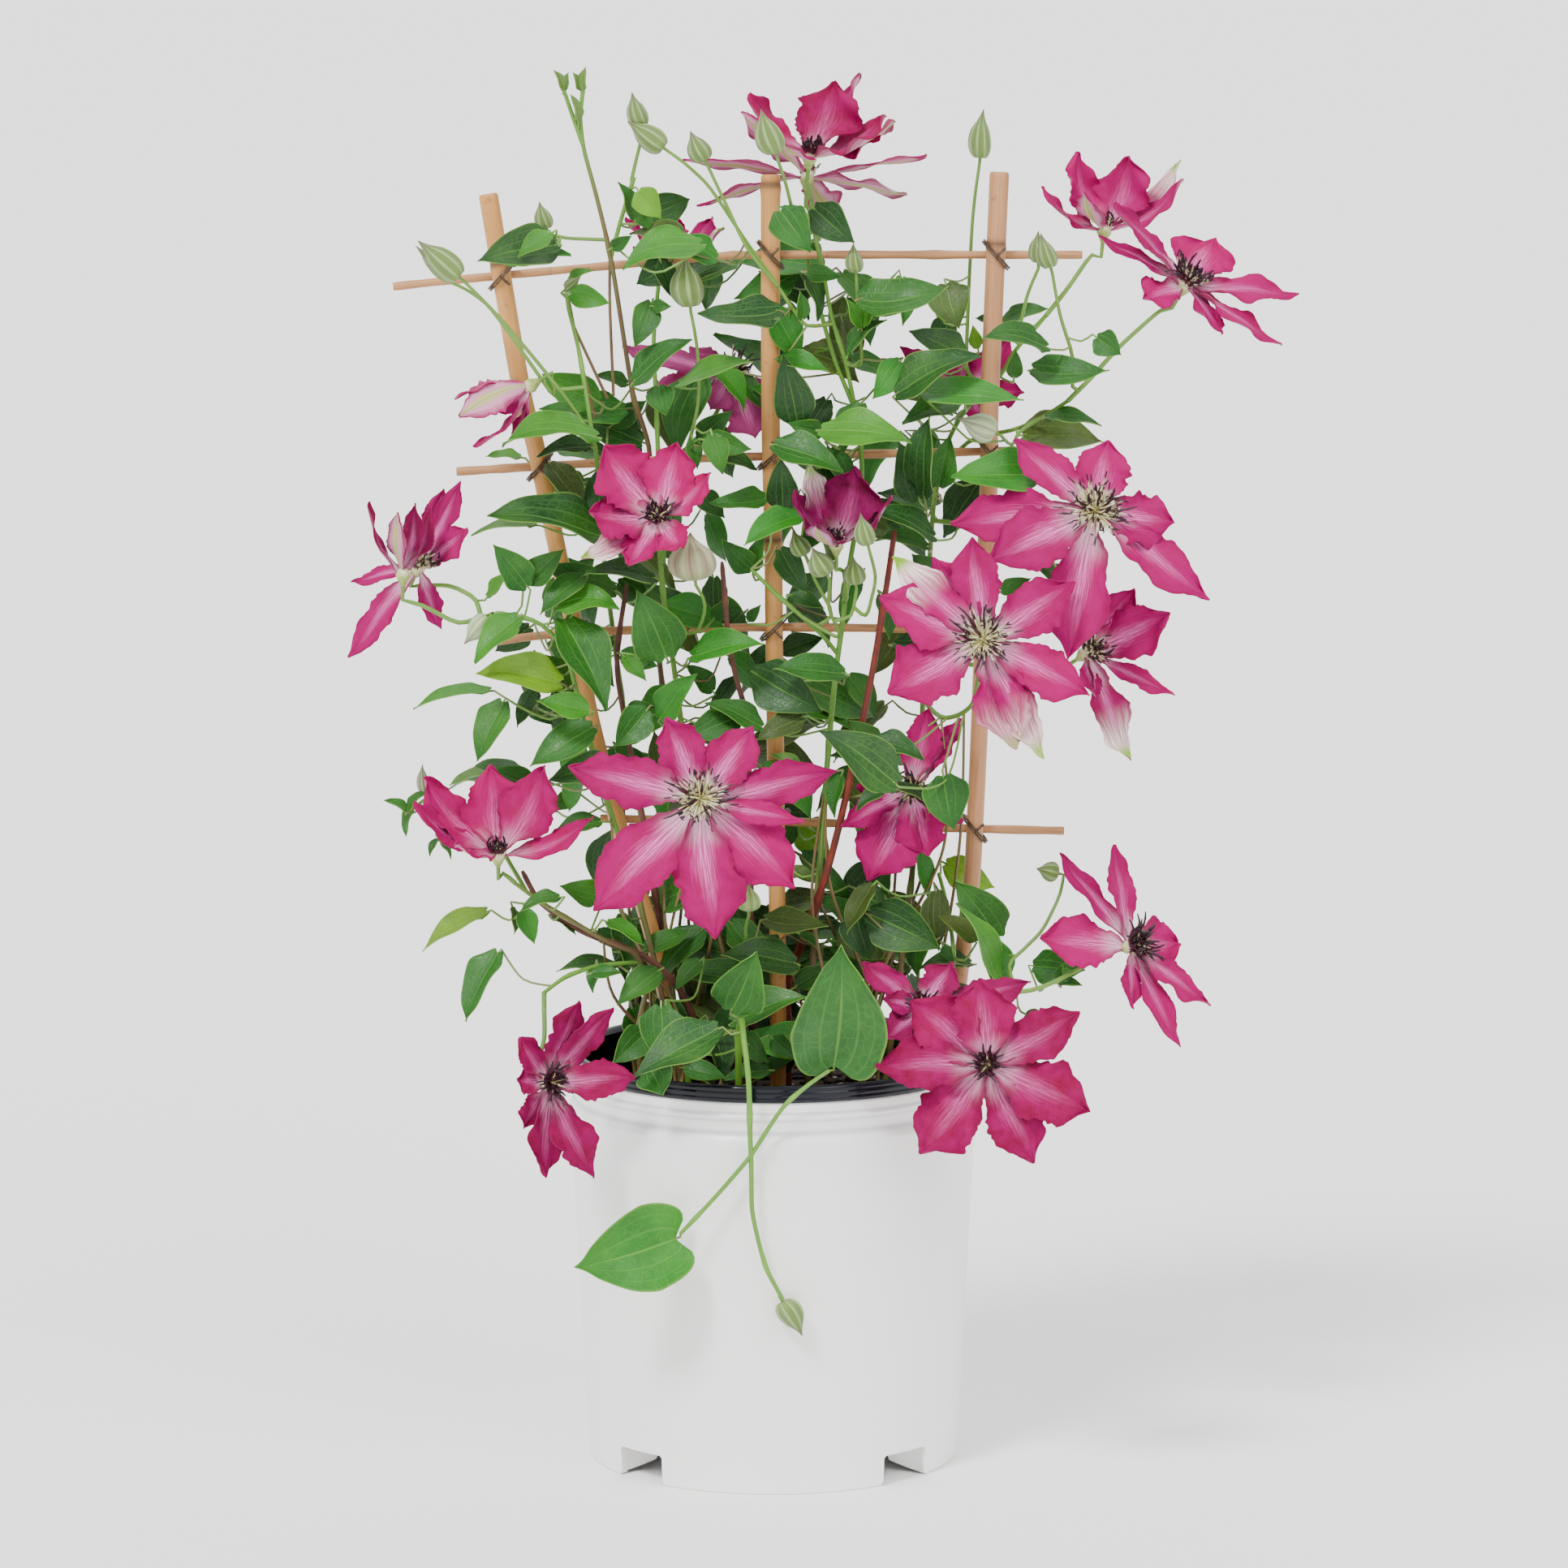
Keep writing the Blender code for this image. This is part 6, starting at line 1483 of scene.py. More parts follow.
            ("bloom_right_cup", [(131, 490), (120, 475)]),
            ("bloom_right_open", [(159, 467), (143, 453), (131, 440)]),
            ("bloom_back_right", [(76, 424)]),
            ("bloom_right_upper", [(112, 374), (88, 378)]),
            ("bloom_right_hidden", [(118, 322), (98, 319), (80, 322)]),
            ("bloom_right_large", [(82, 306), (70, 300)]),
            ("bloom_behind_stake", [(59, 262)]),
        ],
        "buds": [
            (85, 530, 86.5, 550, 9, -10, [(82, 505), (80, 465), (80, 442)]),
            (91, 417, 76, 423, 11, 26, [(98, 412), (101, 417)]),
            (109, 487, 109, 500, 7, 8, [(105, 475), (102, 460)]),
            (114, 485, 110, 499, 8, 14, [(118, 465), (123, 448), (123, 436)]),
        ],
        "leaves": [
            (78, 449, 56, 459, 13, 12, "d"), (71, 478, 76, 460, 18, 8, "o"),
            (112, 452, 86, 456, 10, 22, "m"), (107, 443, 138, 443, 13, 12, "m"),
            (51, 433, 85, 449, 15, 14, "d"), (62, 434, 103, 431, 12, 24, "b"),
            (76, 431, 53, 421, 12, 20, "m"), (60, 390, 52, 413, 18, 8, "d"),
            (62, 392, 64, 424, 13, 14, "d"), (68, 395, 73, 416, 13, 18, "m"),
            (108, 400, 73, 399, 18, 26, "b"), (103, 416, 136, 414, 16, -2, "o"),
            (84, 396, 70, 374, 15, -16, "d"), (66, 374, 40, 385, 10, 18, "d"),
            (50, 330, 72, 327, 9, 6, "d"), (50, 273, 20, 295, 20, 34, "d"),
            (42, 291, 62, 283, 10, 40, "d"), (70, 276, 74, 254, 20, 40, "m"),
        ],
        "small_leaves": [
            (70, 464, 66, 475, 6, -8, "y"), (84, 452, 82, 461, 6, -14, "y"),
            (94, 463, 83, 464, 6, -14, "d"), (99, 440, 100, 451, 7, 4, "d"),
            (104, 327, 112, 321, 9, -6, "y"), (62, 267, 48, 272, 5, 30, "d"),
            (46, 228, 49, 239, 5, 10, "m"), (94, 352, 106, 357, 7, 6, "m"),
            (95, 463, 113, 468, 7, -12, "m"), (113, 423, 135, 420, 6, 8, "m"),
            (120, 358, 108, 362, 8, 4, "d"), (43, 290, 31, 299, 9, 16, "d"),
            (133, 456, 143, 449, 12, 18, "m"), (63, 370, 43, 374, 7, 4, "m"),
            (67, 358, 57, 367, 12, 12, "m"), (44, 350, 48, 332, 8, 12, "m"),
        ],
    },
    "vine_low_right": {
        "root": (58, 24),
        "stem": [
            (62, 170, 28), (70, 182, 34), (82, 188, 36),
        ],
        "branches": [
            [(70, 182, 34), (74, 200, 16), (72, 220, 4), (68, 236, -4)],
        ],
        "stalks": [
            ("bloom_low_right", [(128, 198), (106, 188)]),
            ("bloom_at_rim_right", [(84, 172)]),
            ("bloom_behind_rim", [(64, 174)]),
        ],
        "buds": [
            (117, 236, 108, 238, 8, 18, [(118, 228), (110, 212), (97, 198)]),
        ],
        "leaves": [
            (92, 210, 75, 233, 20, 16, "m"), (93, 190, 76, 224, 9, 40, "l"),
            (95, 192, 84, 214, 13, 30, "b"), (71, 240, 91, 230, 14, -16, "y"),
            (107, 198, 128, 196, 15, 10, "m"), (34, 220, 40, 200, 17, 22, "d"),
            (40, 219, 69, 205, 22, 20, "d"), (41, 231, 30, 211, 9, 30, "o"),
        ],
        "small_leaves": [
            (70, 206, 74, 199, 5, 14, "m"), (67, 184, 82, 190, 6, 46, "d"),
            (118, 191, 119, 199, 4, 24, "m"), (118, 191, 127, 190, 4, 24, "m"),
            (104, 178, 114, 173, 8, 40, "m"), (82, 209, 68, 219, 8, 22, "o"),
            (81, 199, 60, 198, 7, 4, "d"),
        ],
    },
    "vine_low_left": {
        "root": (-54, 20),
        "stem": [
            (-55, 172, 22), (-52, 190, 22), (-56, 202, 26), (-68, 208, 28), (-82, 216, 32),
            (-95, 224, 36), (-106, 232, 40),
        ],
        "branches": [
            [(-102, 229, 38), (-108, 240, 26), (-118, 254, 18), (-134, 256, 14), (-146, 264, 12)],
            [(-55, 200, 24), (-72, 198, 34), (-86, 193, 42), (-94, 187, 50)],
        ],
        "stalks": [
            ("bloom_left_cup", [(-111, 236)]),
            ("bloom_at_rim_left", [(-94, 168), (-94, 180)]),
        ],
        "buds": [
            (-143, 269, -144, 281, 5, 14, []),
        ],
        "leaves": [
            (-71, 227, -87, 231, 12, 20, "l"), (-118, 220, -144, 204, 8, 24, "y"),
            (-113, 203, -126, 175, 12, 34, "m"), (-47, 196, -64, 182, 12, 34, "m"),
        ],
        "small_leaves": [
            (-107, 222, -106, 211, 4, 26, "g"), (-90, 218, -81, 211, 4, 30, "m"),
            (-73, 198, -74, 187, 5, 30, "m"), (-74, 195, -62, 195, 6, 40, "m"),
            (-150, 262, -160, 266, 4, 12, "m"), (-148, 264, -151, 251, 4, 8, "m"),
            (-150, 262, -142, 270, 4, 10, "m"), (-138, 250, -141, 243, 3, 8, "m"),
            (-137, 250, -132, 242, 3, 16, "m"), (-88, 226, -104, 221, 6, 44, "m"),
            (-102, 221, -98, 207, 9, 34, "b"), (-68, 216, -53, 206, 6, 40, "l"),
            (-72, 212, -60, 204, 8, 10, "m"), (-65, 198, -89, 196, 6, 22, "m"),
        ],
    },
    "hanging_shoot": {
        "root": (-14, 50),
        "stem": [
            (-14, 172, 62), (-13, 176, 74), (-12, 168, 86), (-10, 150, 91), (-9.5, 130, 90),
            (-9, 118, 89), (-8.5, 97, 88), (-6, 85, 87), (-2, 72, 86), (4, 61, 86),
        ],
        "branches": [
            [(-9, 121, 89), (-22, 105, 88), (-38, 88, 87)],
            [(-9, 121, 89), (6, 142, 89), (23, 155, 88)],
        ],
        "buds": [
            (4, 60, 12, 46, 10, 86, []),
        ],
        "leaves": [
            (25, 157, 28, 207, 38, 84, "m"), (-40, 86, -81, 74, 35, 84, "b"),
            (-17, 180, -7, 204, 22, 72, "m"), (-16, 175, 14, 186, 14, 64, "m"),
            (-23, 172, -57, 153, 18, 84, "d"),
        ],
    },
    "rim_leaves": {
        "root": (-34, 34),
        "stem": [
            (-36, 164, 36), (-40, 176, 40), (-44, 184, 42),
        ],
        "leaves": [
            (-46, 181, -46, 157, 19, 56, "m"), (-52, 171, -66, 158, 14, 44, "m"),
            (-50, 155, -45, 145, 16, 84, "m"), (-14, 170, -2, 158, 11, 48, "m"),
        ],
        "small_leaves": [
            (-30, 200, -40, 188, 8, 20, "m"), (0, 168, 10, 160, 9, 46, "m"),
            (-36, 156, -19, 152, 9, 56, "m"), (-2, 155, -20, 151, 8, 50, "m"),
            (10, 190, 24, 198, 9, 20, "d"),
        ],
    },
}
MAIN_STEM_RADIUS = 1.4
JOINT_STEPS = 18
STALK_RADIUS = 0.62
LEAF_MOVES = [0, 4, -4, 8, -8, 12, -12, 16, -16, 20, -20, 24, -24, 28, -28, 34, -34, 40, -40]
vine_trees = {vine: node_tree(vine) for vine in VINES}
vine_lines = {vine: [] for vine in VINES}
stem_forms = {vine: bmesh.new() for vine in VINES}
stem_tints = {vine: tint_layer(form) for vine, form in stem_forms.items()}
# The height up to which a vine's main stem has turned brown
OLD_STEMS = {"young_shoot": 532, "hanging_shoot": 0, "rim_leaves": 0, "vine_low_right": 120}
stem_skin = stem_finish("green stem", 0.42, "4F7A2A", 0.35, 10, 7, 0.12)


def spaced(points, step=2.5):
    """Points along a line, about this far apart."""
    found = []
    for a, b in zip(points, points[1:]):
        count = max(1, round((b - a).length / step))
        found += [a.lerp(b, i / count) for i in range(count)]
    return found + [points[-1]]


def nearest_on(vine, point, least=0.0):
    """The point of a vine's own stems that is nearest, with stems that pass below it preferred."""
    best = None
    for spot in vine_lines[vine]:
        away = (spot - point).length + 0.5 * max(0.0, spot.z - point.z)
        if away >= least and (best is None or away < best[0]):
            best = (away, spot)
    return best[1]


def blended(low, high, share):
    """A colour code's way to another, as linear values."""
    return [a + (b - a) * share for a, b in zip(colour(low), colour(high))]


def lay_stem(vine, points, radius, taper, sides, old):
    """A stem with thicker joints. It is brown below the height old, and green above."""
    radii, codes = [], []
    for k, point in enumerate(points):
        joint = bell(k % JOINT_STEPS - JOINT_STEPS / 2, 1.1) * min(1, (len(points) - k) / 4)
        radii.append(radius * (1 - taper * k / len(points)) * (1 + 0.3 * joint))
        brown = 1 - smooth(old - 25, old + 25, point.z)
        shade = blended("5E8E28", "64402A", brown)
        codes.append([share * (1 + 0.3 * joint) for share in shade[:3]] + [1])
    lay_tinted_tube(stem_forms[vine], stem_tints[vine], points, radii, sides, codes)


def lay_stalk(vine, head, stops, radius, rng, tone):
    """A stalk from a bloom or bud, through its stops, into the vine's stem."""
    lead = head[-1]
    best = None
    for least in (0, 8, 14, 20, 28):
        goal = nearest_on(vine, seen(*stops[-1], -lead.y) if stops else lead, least)
        start_place, goal_place = as_seen(lead), as_seen(goal)
        middle = []
        for k, (across, up) in enumerate(stops):
            share = (k + 1) / (len(stops) + 1)
            middle.append((across, up, start_place[2] + (goal_place[2] - start_place[2]) * share))
        points, total = follow([start_place] + middle + [goal_place], vine_trees[vine], True)
        if best is None or total < best[1] - 0.3:
            best = (points, total)
    points = best[0]
    vine_lines[vine] += spaced(points)[2:-2]
    points = head[:-1] + points
    radii = [radius * (0.85 + 0.25 * k / len(points)) for k in range(len(points))]
    shade = blended("6E9634", tone, rng.uniform(0, 0.7))
    lay_plain_tube(stem_forms[vine], stem_tints[vine], points, radii, 7, shade)


for vine, plan in VINES.items():
    across, forward = plan["root"]
    top = Vector((across, -forward, SOIL_TOP + 3))
    points, _ = follow([as_seen(top)] + plan["stem"], vine_trees[vine])
    vine_lines[vine] += spaced(points)[2:]
    old = OLD_STEMS.get(vine, 240)
    lay_stem(vine, [top - UP * 20] + points, MAIN_STEM_RADIUS, 0.4, 8, old)
    for stops in plan.get("branches", []):
        start = nearest_on(vine, seen(*stops[0]))
        points, _ = follow([as_seen(start)] + stops[1:], vine_trees[vine])
        vine_lines[vine] += spaced(points)
        lay_stem(vine, points, 0.95, 0.15, 7, old - 240)

bud_places = {vine: [] for vine in VINES}
for vine, plan in VINES.items():
    rng = random.Random(vine + " stalks")
    for bloom, stops in plan.get("stalks", []):
        heart, facing = bloom_hearts[bloom]
        head = [heart - facing * (KNOB_DEPTH - 0.5), heart - facing * 11]
        lay_stalk(vine, head, stops, 1.0, rng, "4E7828")
    for base_across, base_up, tip_across, tip_up, width, forward, stops in plan.get("buds", []):

        def bud_ends(move):
            base = seen(base_across, base_up, forward + move)
            return base, seen(tip_across, tip_up, forward + move + 1)

        def bud_miss(move):
            base, tip = bud_ends(move)
            rings = [tip]
            side, other = sides_of((tip - base).normalized())
            for turn in range(4):
                out = side * math.cos(turn * math.pi / 2) + other * math.sin(turn * math.pi / 2)
                rings.append(base.lerp(tip, 0.28) + out * width * 0.45)
            return miss(vine_trees[vine], rings)

        base, tip = bud_ends(min(LEAF_MOVES, key=bud_miss))
        bud_places[vine].append((base, tip, width, (base_across, base_up)))
        lead = base - (tip - base).normalized() * 2.5
        lay_stalk(vine, [base, lead], stops, 0.78, rng, "5A7E2E")


# A flower bud is four tepals shut into a pointed egg. It is pale green and a little downy, with
# whitish ribs, and pink or brown shows in its seams.
BUD_TONES = {
    (-117, 341): "A9BC90", (-143, 269): "6E7C58", (-32, 357): "9A9070", (91, 417): "B4C29C",
    (-10, 221): "8FB45C",
}
BUD_TONE = "587E2C"
bud_skin, tree, shader = new_material(
    "bud skin", Roughness=0.6, Sheen_Weight=0.2, Sheen_Roughness=0.5,
)
along, around = own_place(tree)
tint = own_mark(tree, "tint", "Color")
stripe = reckoned(tree, "SINE", scaled(tree, around, 8 * 2 * math.pi))
streaks = grained(tree, scaled(tree, along, 3), scaled(tree, around, 22))
body = mixed(tree, ranged(tree, stripe, 0.1, 1, 0, 0.38), tint, colour("BCCB8C"))
body = mixed(tree, ranged(tree, stripe, -1, -0.75, 0.6, 0), body, colour("74503E"))
body = mixed(tree, ranged(tree, streaks, 0.5, 1, 0, 0.4), body, colour("6E9440"))
body = mixed(tree, ranged(tree, along, 0.0, 0.3, 0.35, 0), body, colour("7DA048"))
body = mixed(tree, ranged(tree, along, 0.7, 1, 0, 0.5), body, colour("8A6048"))
painted(tree, shader, body)
bumped(tree, shader, stripe, 0.5, 0.8)
for vine, buds in bud_places.items():
    if not buds:
        continue
    form = bmesh.new()
    layer = tint_layer(form)
    for base, tip, width, spot in buds:
        way = tip - base
        side, other = sides_of(way.normalized())
        rng = random.Random(f"bud {spot}")
        fullest = 0.62 if width < 12 else 0.68
        spin = rng.uniform(0, 3)

        def bud_point(t, s):
            turn = math.pi * s + spin
            swell = math.sin(math.pi * (0.06 + 0.94 * t) ** fullest) ** 0.85
            radius = width / 2 * max(swell, 0.03) * (1 - 0.42 * smooth(0.55, 0.9, t))
            radius *= 1 + 0.05 * math.cos(4 * turn) + 0.02 * math.cos(8 * turn)
            radius = max(radius, 0.1) if t > 0.5 else max(radius, 0.7)
            lean = side * 0.04 * way.length * math.sin(math.pi * t)
            out = side * math.cos(turn) + other * math.sin(turn)
            return base + way * t + lean + out * radius

        shade = colour(BUD_TONES.get(spot, BUD_TONE))
        for vert in laid_grid(form, 18, 24, bud_point):
            vert[layer] = shade
    mesh = finished_mesh(closed_tubes(form), vine + " buds", 60)
    finish_piece(vine + ".buds", mesh, bud_skin, "leaf_green", [vine])


# Leaves are thin, smooth and a little leathery. Each is a pointed oval with a rounded foot, folded
# along its midrib, waved at its edge, and veined by long arcs that run from foot to tip.
LEAF_WIDTH_SHARE = 0.58
LEAF_ARCH = 0.07
LEAF_CUP = 0.16
LEAF_THICKNESS = 0.4
LEAF_TONES = {
    "y": ("548A0A", "70A010"), "l": ("2F720E", "3A8012"), "b": ("1C6C12", "247614"),
    "m": ("17520E", "1F5C12"), "d": ("0F3A0E", "144410"), "o": ("384814", "445018"),
    "g": ("46642E", "526E36"), "p": ("648A3E", "749648"),
}
# The two heart-shaped leaves at the rim, by base: how far their lobes swing back past the stalk
LEAF_HEARTS = {(25, 157): 0.12, (-40, 86): 0.16}
HEART_LOBE_END = 0.25
LARGE_LEAF = 190
# How far a curved leaf's midrib passes from the straight line, by the leaf's base
LEAF_BENDS = {
    (-30, 494): 0.12, (-73, 415): 0.15, (-88, 346): -0.14, (-3, 217): 0.12, (36, 472): 0.16,
    (2, 467): -0.14, (112, 452): 0.1, (107, 443): 0.14, (62, 434): 0.12, (-3, 390): -0.12,
}
# The veins which a leaf shows: how far aside of its middle, breadth and strength
LEAF_VEINS = [(0, 0.06, 1), (0.4, 0.045, 0.5), (0.74, 0.035, 0.3)]


def leaf_profile(t):
    """The half width of a leaf from its foot to its tip, as a share of its greatest."""
    return math.sin(math.pi * min(t, 1) ** 0.6) ** 0.85 if 0 < t < 1 else 0.0


def leaf_surface(base, tip, seen_width):
    """A leaf that looks this wide from the front: a narrow one is turned to show its edge."""
    along = (tip - base).normalized()
    view = (EYE - (base + tip) / 2).normalized()
    flat = (view - along * view.dot(along)).normalized()
    share = seen_width / (LEAF_WIDTH_SHARE * (tip - base).length)
    shown = min(1.0, max(0.36, share))
    turn = along.cross(flat) * math.sqrt(1 - shown * shown)
    face = flat * shown + (turn if turn.z >= 0 else -turn)
    width = seen_width / shown
    return curved_surface(
        base, tip, face, width, LEAF_ARCH, LEAF_CUP, leaf_profile, 0.0, STALK_RADIUS,
    ), width


def leaf_plate(surface, widest):
    """A leaf as two flat triangles, to find what it would run into."""
    corners = [surface(t, s) for t, s in ((0, 0), (widest, -1), (widest, 1), (1, 0))]
    return BVHTree.FromPolygons(corners, [(0, 1, 3), (0, 3, 2)])


def lay_leaf(form, surface, width, length, rng, bend, heart=0.0):
    """One leaf, with a rounded foot that its two lobes draw back from the stalk."""
    fold = rng.uniform(0.02, 0.28)
    ruffle = rng.uniform(0.02, 0.06) * width
    phase = rng.uniform(0, 6)
    lobe = rng.uniform(0.03, 0.07) * length
    start = 0 if heart else 0.05
    sway = (bend if bend else rng.uniform(-0.03, 0.03)) * length
    droop = rng.uniform(0.0, 0.06) * length
    seed = rng.uniform(0, 50)

    def place(t, s):
        half = width / 2 * max(leaf_profile(start + (1 - start) * t), 0.02)
        half *= 1 - 0.4 * smooth(0.82, 0.99, t)
        half = max(half * (1 + 0.05 * uneven(seed + (s > 0), t * 5)), 0.12)
        foot = max(0, 1 - t / 0.35) ** 2
        back = foot * (lobe * math.sin(math.pi * abs(s)) ** 2 - 0.1 * s ** 4 * length)
        if heart:
            share = math.sqrt(min(1, t / HEART_LOBE_END))
            back = heart * length * abs(s) * math.sin(math.pi * share)
        wave = ruffle * abs(s) ** 2 * math.sin(phase + t * 9 + (2.5 if s > 0 else 0))
        lift = (fold * abs(s) - 0.1) * half + wave - droop * smooth(0.6, 1, t)
        lift -= 0.25 * bell(s, 0.12) * (1 - t)
        return surface(t, s, half, lift * smooth(0, 0.1, t), back, sway * 4 * t * (1 - t))

    return laid_grid(form, *((44, 24) if heart else (16, 10)), place)


def leaf_finish():
    """Leaf skin: its uneven tint, with paler veins and a net between them, and a dull pale back."""
    made, tree, shader = new_material("leaf", Specular_IOR_Level=0.35)
    along, around = own_place(tree)
    aside = reckoned(tree, "ABSOLUTE", scaled(tree, around, 2, -1))
    tint, back = own_mark(tree, "tint", "Color"), own_mark(tree, "back")
    veins = 0
    for middle, breadth, strength in LEAF_VEINS:
        vein = ranged(tree, apart(tree, aside, middle), breadth * 0.3, breadth, strength, 0)
        veins = reckoned(tree, "MAXIMUM", veins, vein)
    veins = reckoned(tree, "MULTIPLY", veins, ranged(tree, along, 0.5, 1, 1, 0.35))
    spots = add_node(tree, "CombineXYZ", {
        "X": scaled(tree, along, 13), "Y": scaled(tree, around, 9),
    })
    cells = add_node(tree, "TexVoronoi", {
        "Vector": spots.outputs["Vector"], "Scale": 1,
    }, feature="DISTANCE_TO_EDGE")
    net = ranged(tree, cells.outputs["Distance"], 0.0, 0.08, 0.32, 0)
    lines = reckoned(tree, "MAXIMUM", veins, net)
    clouds = mottled(tree, 75)
    dark = mixed(tree, 0.5, tint, colour("08260A"))
    light = mixed(tree, 0.3, tint, colour("5CA01E"))
    body = mixed(tree, ranged(tree, clouds, 0.1, 0.9, 0.0, 0.55), tint, dark)
    body = mixed(tree, ranged(tree, mottled(tree, 28), 0.4, 1, 0, 0.5), body, light)
    body = mixed(tree, scaled(tree, lines, 0.42), body, mixed(tree, 0.6, tint, colour("7CB648")))
    body = mixed(tree, ranged(tree, aside, 0.93, 1, 0, 0.4), body, colour("7FA83A"))
    rear = mixed(tree, 0.4, body, colour("6F9450"))
    body = mixed(tree, ranged(tree, back, 0.85, 1), body, rear)
    painted(tree, shader, body, ranged(tree, clouds, 0, 1, 0.38, 0.55))
    bumped(tree, shader, scaled(tree, lines, -1, 0.3), 0.3, 0.8)
    return made


leaf_skin = leaf_finish()
random_lean = random.Random(7)
all_solids = [node_tree(name) for name in frame["nodes"]]
for vine, plan in VINES.items():
    form = bmesh.new()
    tint = tint_layer(form)
    found = []
    for leaf in plan["leaves"]:
        base_across, base_up, tip_across, tip_up, seen_width, forward, _ = leaf
        length = math.hypot(tip_across - base_across, tip_up - base_up)
        lean = random_lean.uniform(0.1, 0.45) * (1 if forward > 0 else -1)

        def leaf_at(move):
            depth = forward + move
            base = seen(base_across, base_up, depth)
            tip = seen(tip_across, tip_up, depth + lean * length)
            surface, width = leaf_surface(base, tip, seen_width)
            return base, surface, width, (tip - base).length

        def leaf_miss(move):
            surface = leaf_at(move)[1]
            rows = (0.22, 0.6) if length * seen_width > LARGE_LEAF else (0.38,)
            spots = [(t, s) for t in rows for s in (-1, 0, 1)] + [(1, 0)]
            return miss(vine_trees[vine], [surface(t, s) for t, s in spots])

        found.append((leaf, leaf_at(min(LEAF_MOVES, key=leaf_miss))))
    for leaf in plan.get("small_leaves", []):
        base_across, base_up, tip_across, tip_up, seen_width, forward, _ = leaf
        for move in LEAF_MOVES:
            depth = forward + move
            base = seen(base_across, base_up, depth)
            tip = seen(tip_across, tip_up, depth + 3)
            surface, width = leaf_surface(base, tip, seen_width)
            plate = leaf_plate(surface, 0.4)
            if not any(plate.overlap(solid) for solid in all_solids):
                break
        found.append((leaf, (base, surface, width, (tip - base).length)))
    for leaf, (base, surface, width, length) in found:
        rng = random.Random(str(leaf[:4]))
        shade = blended(*LEAF_TONES[leaf[6]], rng.random())
        shade = [share * rng.uniform(0.88, 1.12) for share in shade[:3]] + [1]
        bend, heart = LEAF_BENDS.get(leaf[:2], 0), LEAF_HEARTS.get(leaf[:2], 0.0)
        for vert in lay_leaf(form, surface, width, length, rng, bend, heart):
            vert[tint] = shade
        lead = base - (surface(0.1, 0) - base).normalized() * 2.5
        goal = nearest_on(vine, lead)
        gap = (goal - lead).length
        sag = lead.lerp(goal, 0.5) - UP * gap * rng.uniform(0.05, 0.3)
        sag += Vector((gap * rng.uniform(-0.12, 0.12), 0, 0))
        stops = [lead, sag, goal] if gap > 8 else [lead, goal]
        points, _ = follow([as_seen(stop) for stop in stops], vine_trees[vine], True)
        points = [surface(0.03, 0), base] + points
        stalk = blended("6E9A3E", "7A6A44", rng.random() ** 2)
        radii = [STALK_RADIUS * 0.8] * len(points)
        lay_plain_tube(stem_forms[vine], stem_tints[vine], points, radii, 5, stalk)
    mesh = finished_mesh(thickened(form, LEAF_THICKNESS), vine + " leaves", 70)
    finish_piece(vine + ".leaves", mesh, leaf_skin, "leaf_green", [vine])
    mesh = finished_mesh(closed_tubes(stem_forms[vine]), vine + " stems", 60)
    finish_piece(vine + ".stems", mesh, stem_skin, "leaf_green", [vine])


# Behind what shows from the front, the trellis is filled with more leaves, in shade, on long bent
# stalks, and with thin old twigs which rise from the crown. Fill: height, and the two sides of it.
FILL = [
    (500, -60, 18), (471, -60, 80), (441, -88, 90), (408, -100, 108), (378, -106, 68),
    (318, -108, 56), (288, -94, 74), (228, -72, 74), (165, -62, 60), (150, -52, 52),
]
INNER_LEAVES = 185
MOST_TRIES = 5000
LONGEST_STALK = 42
TWIGS = 24
# Three thin brown stems which stand free above the foliage on the left
THIN_STEMS = [
    [(-67, 489, 4), (-67, 469, 4), (-65.5, 432, 2)],
    [(-84, 472, 5), (-79, 447, 4), (-73, 423, 2)],
    [(-82, 461, 4), (-76, 448, 4), (-68, 431, 2)],
]
INNER_TONES = "mmmmddoobb"


def sides_at(up):
    """How far to the left and the right the foliage is dense at a height."""
    for (high, left, right), (low, next_left, next_right) in zip(FILL, FILL[1:]):
        if low <= up <= high:
            share = (high - up) / (high - low)
            return left + (next_left - left) * share, right + (next_right - right) * share
    return 0, 0


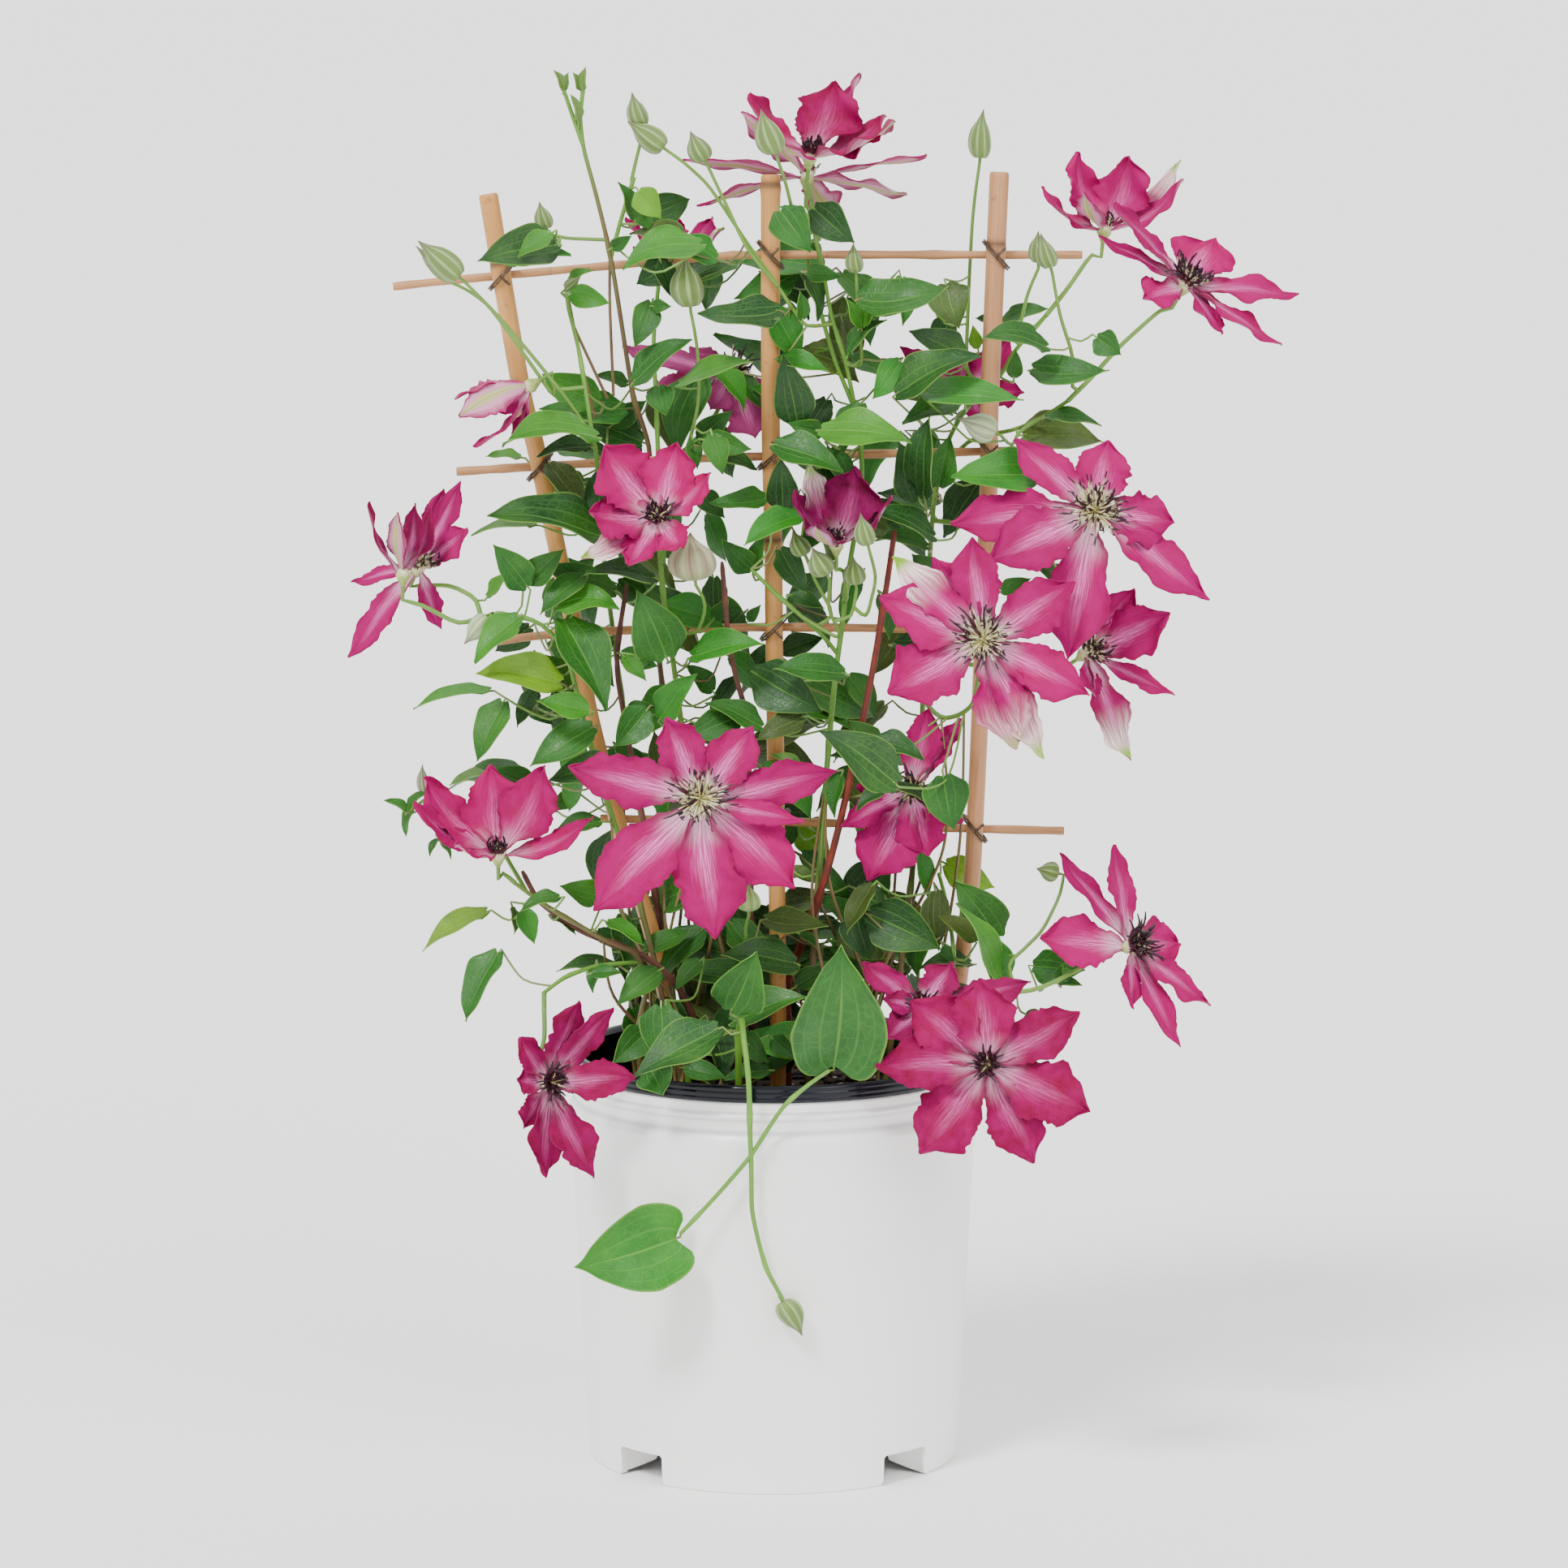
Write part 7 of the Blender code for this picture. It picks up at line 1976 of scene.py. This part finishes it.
rng = random.Random(11)
every_line = [spot for lines in vine_lines.values() for spot in lines]
leaf_form, stalk_form = bmesh.new(), bmesh.new()
leaf_tint, stalk_tint = tint_layer(leaf_form), tint_layer(stalk_form)
laid_plates = []
for _ in range(MOST_TRIES):
    if len(laid_plates) == INNER_LEAVES:
        break
    up = rng.choice([rng.uniform(158, 496), rng.uniform(158, 496), rng.uniform(158, 230)])
    left, right = sides_at(up)
    across = rng.uniform(left + 6, right - 6)
    forward = rng.choice([rng.uniform(-46, 4), rng.uniform(-30, 16)])
    forward += max(0, 190 - up) * rng.uniform(0, 1.6)
    length = rng.uniform(19, 34)
    turn = rng.gauss(-1.57, 1.1)
    tip_across, tip_up = across + length * math.cos(turn), up + length * math.sin(turn)
    low, high = sides_at(tip_up)
    if not low < tip_across < high:
        continue
    base = seen(across, up, forward)
    tip = seen(tip_across, tip_up, forward + rng.uniform(-12, 12))
    surface, width = leaf_surface(base, tip, length * rng.uniform(0.34, 0.56))
    plate = leaf_plate(surface, 0.35)
    goal = min(every_line, key=lambda spot: (spot - base).length + 0.5 * max(0, spot.z - base.z))
    if (goal - base).length > LONGEST_STALK:
        continue
    if any(plate.overlap(other) for other in all_solids + laid_plates):
        continue
    laid_plates.append(plate)
    shade = blended(*LEAF_TONES[rng.choice(INNER_TONES)], rng.random())
    bend = rng.uniform(-0.12, 0.12)
    for vert in lay_leaf(leaf_form, surface, width, (tip - base).length, rng, bend):
        vert[leaf_tint] = shade
    lead = base - (surface(0.1, 0) - base).normalized() * 4
    gap = (goal - lead).length
    sag = lead.lerp(goal, 0.5) - UP * rng.uniform(0.0, 0.35) * gap
    sag += Vector((rng.uniform(-0.2, 0.2) * gap, 3, 0))
    points = [surface(0.03, 0), base] + smooth_way([lead, sag, goal], 4)
    stalk = blended("56802C", "64482E", rng.random())
    lay_plain_tube(stalk_form, stalk_tint, points, [0.48] * len(points), 5, stalk)
for _ in range(TWIGS):
    turn = rng.uniform(0, 2 * math.pi)
    foot = Vector((-4 + 52 * math.cos(turn), 4 + 34 * math.sin(turn), SOIL_TOP - 1))
    goal = rng.choice([
        spot for spot in every_line if 200 < spot.z < 330 and abs(spot.x - foot.x) < 45
    ])
    bent = [
        foot.lerp(goal, share) + Vector((rng.uniform(-11, 11), rng.uniform(-6, 9), 0))
        for share in (0.3, 0.65)
    ]
    points = smooth_way([foot] + bent + [goal], 4)
    shade = blended("6A4030", "8A6A40", rng.random())
    radii = [0.95 - 0.4 * k / len(points) for k in range(len(points))]
    lay_plain_tube(stalk_form, stalk_tint, points, radii, 6, shade)
for stops in THIN_STEMS:
    points = smooth_way([seen(*stop) for stop in stops], 4)
    lay_plain_tube(stalk_form, stalk_tint, points, [0.7] * len(points), 6, "6E4034")
mesh = finished_mesh(thickened(leaf_form, LEAF_THICKNESS), "inner leaves", 70)
finish_piece("inner.leaves", mesh, leaf_skin, "leaf_green")
mesh = finished_mesh(closed_tubes(stalk_form), "inner stalks", 60)
finish_piece("inner.stalks", mesh, stem_skin, "leaf_green")
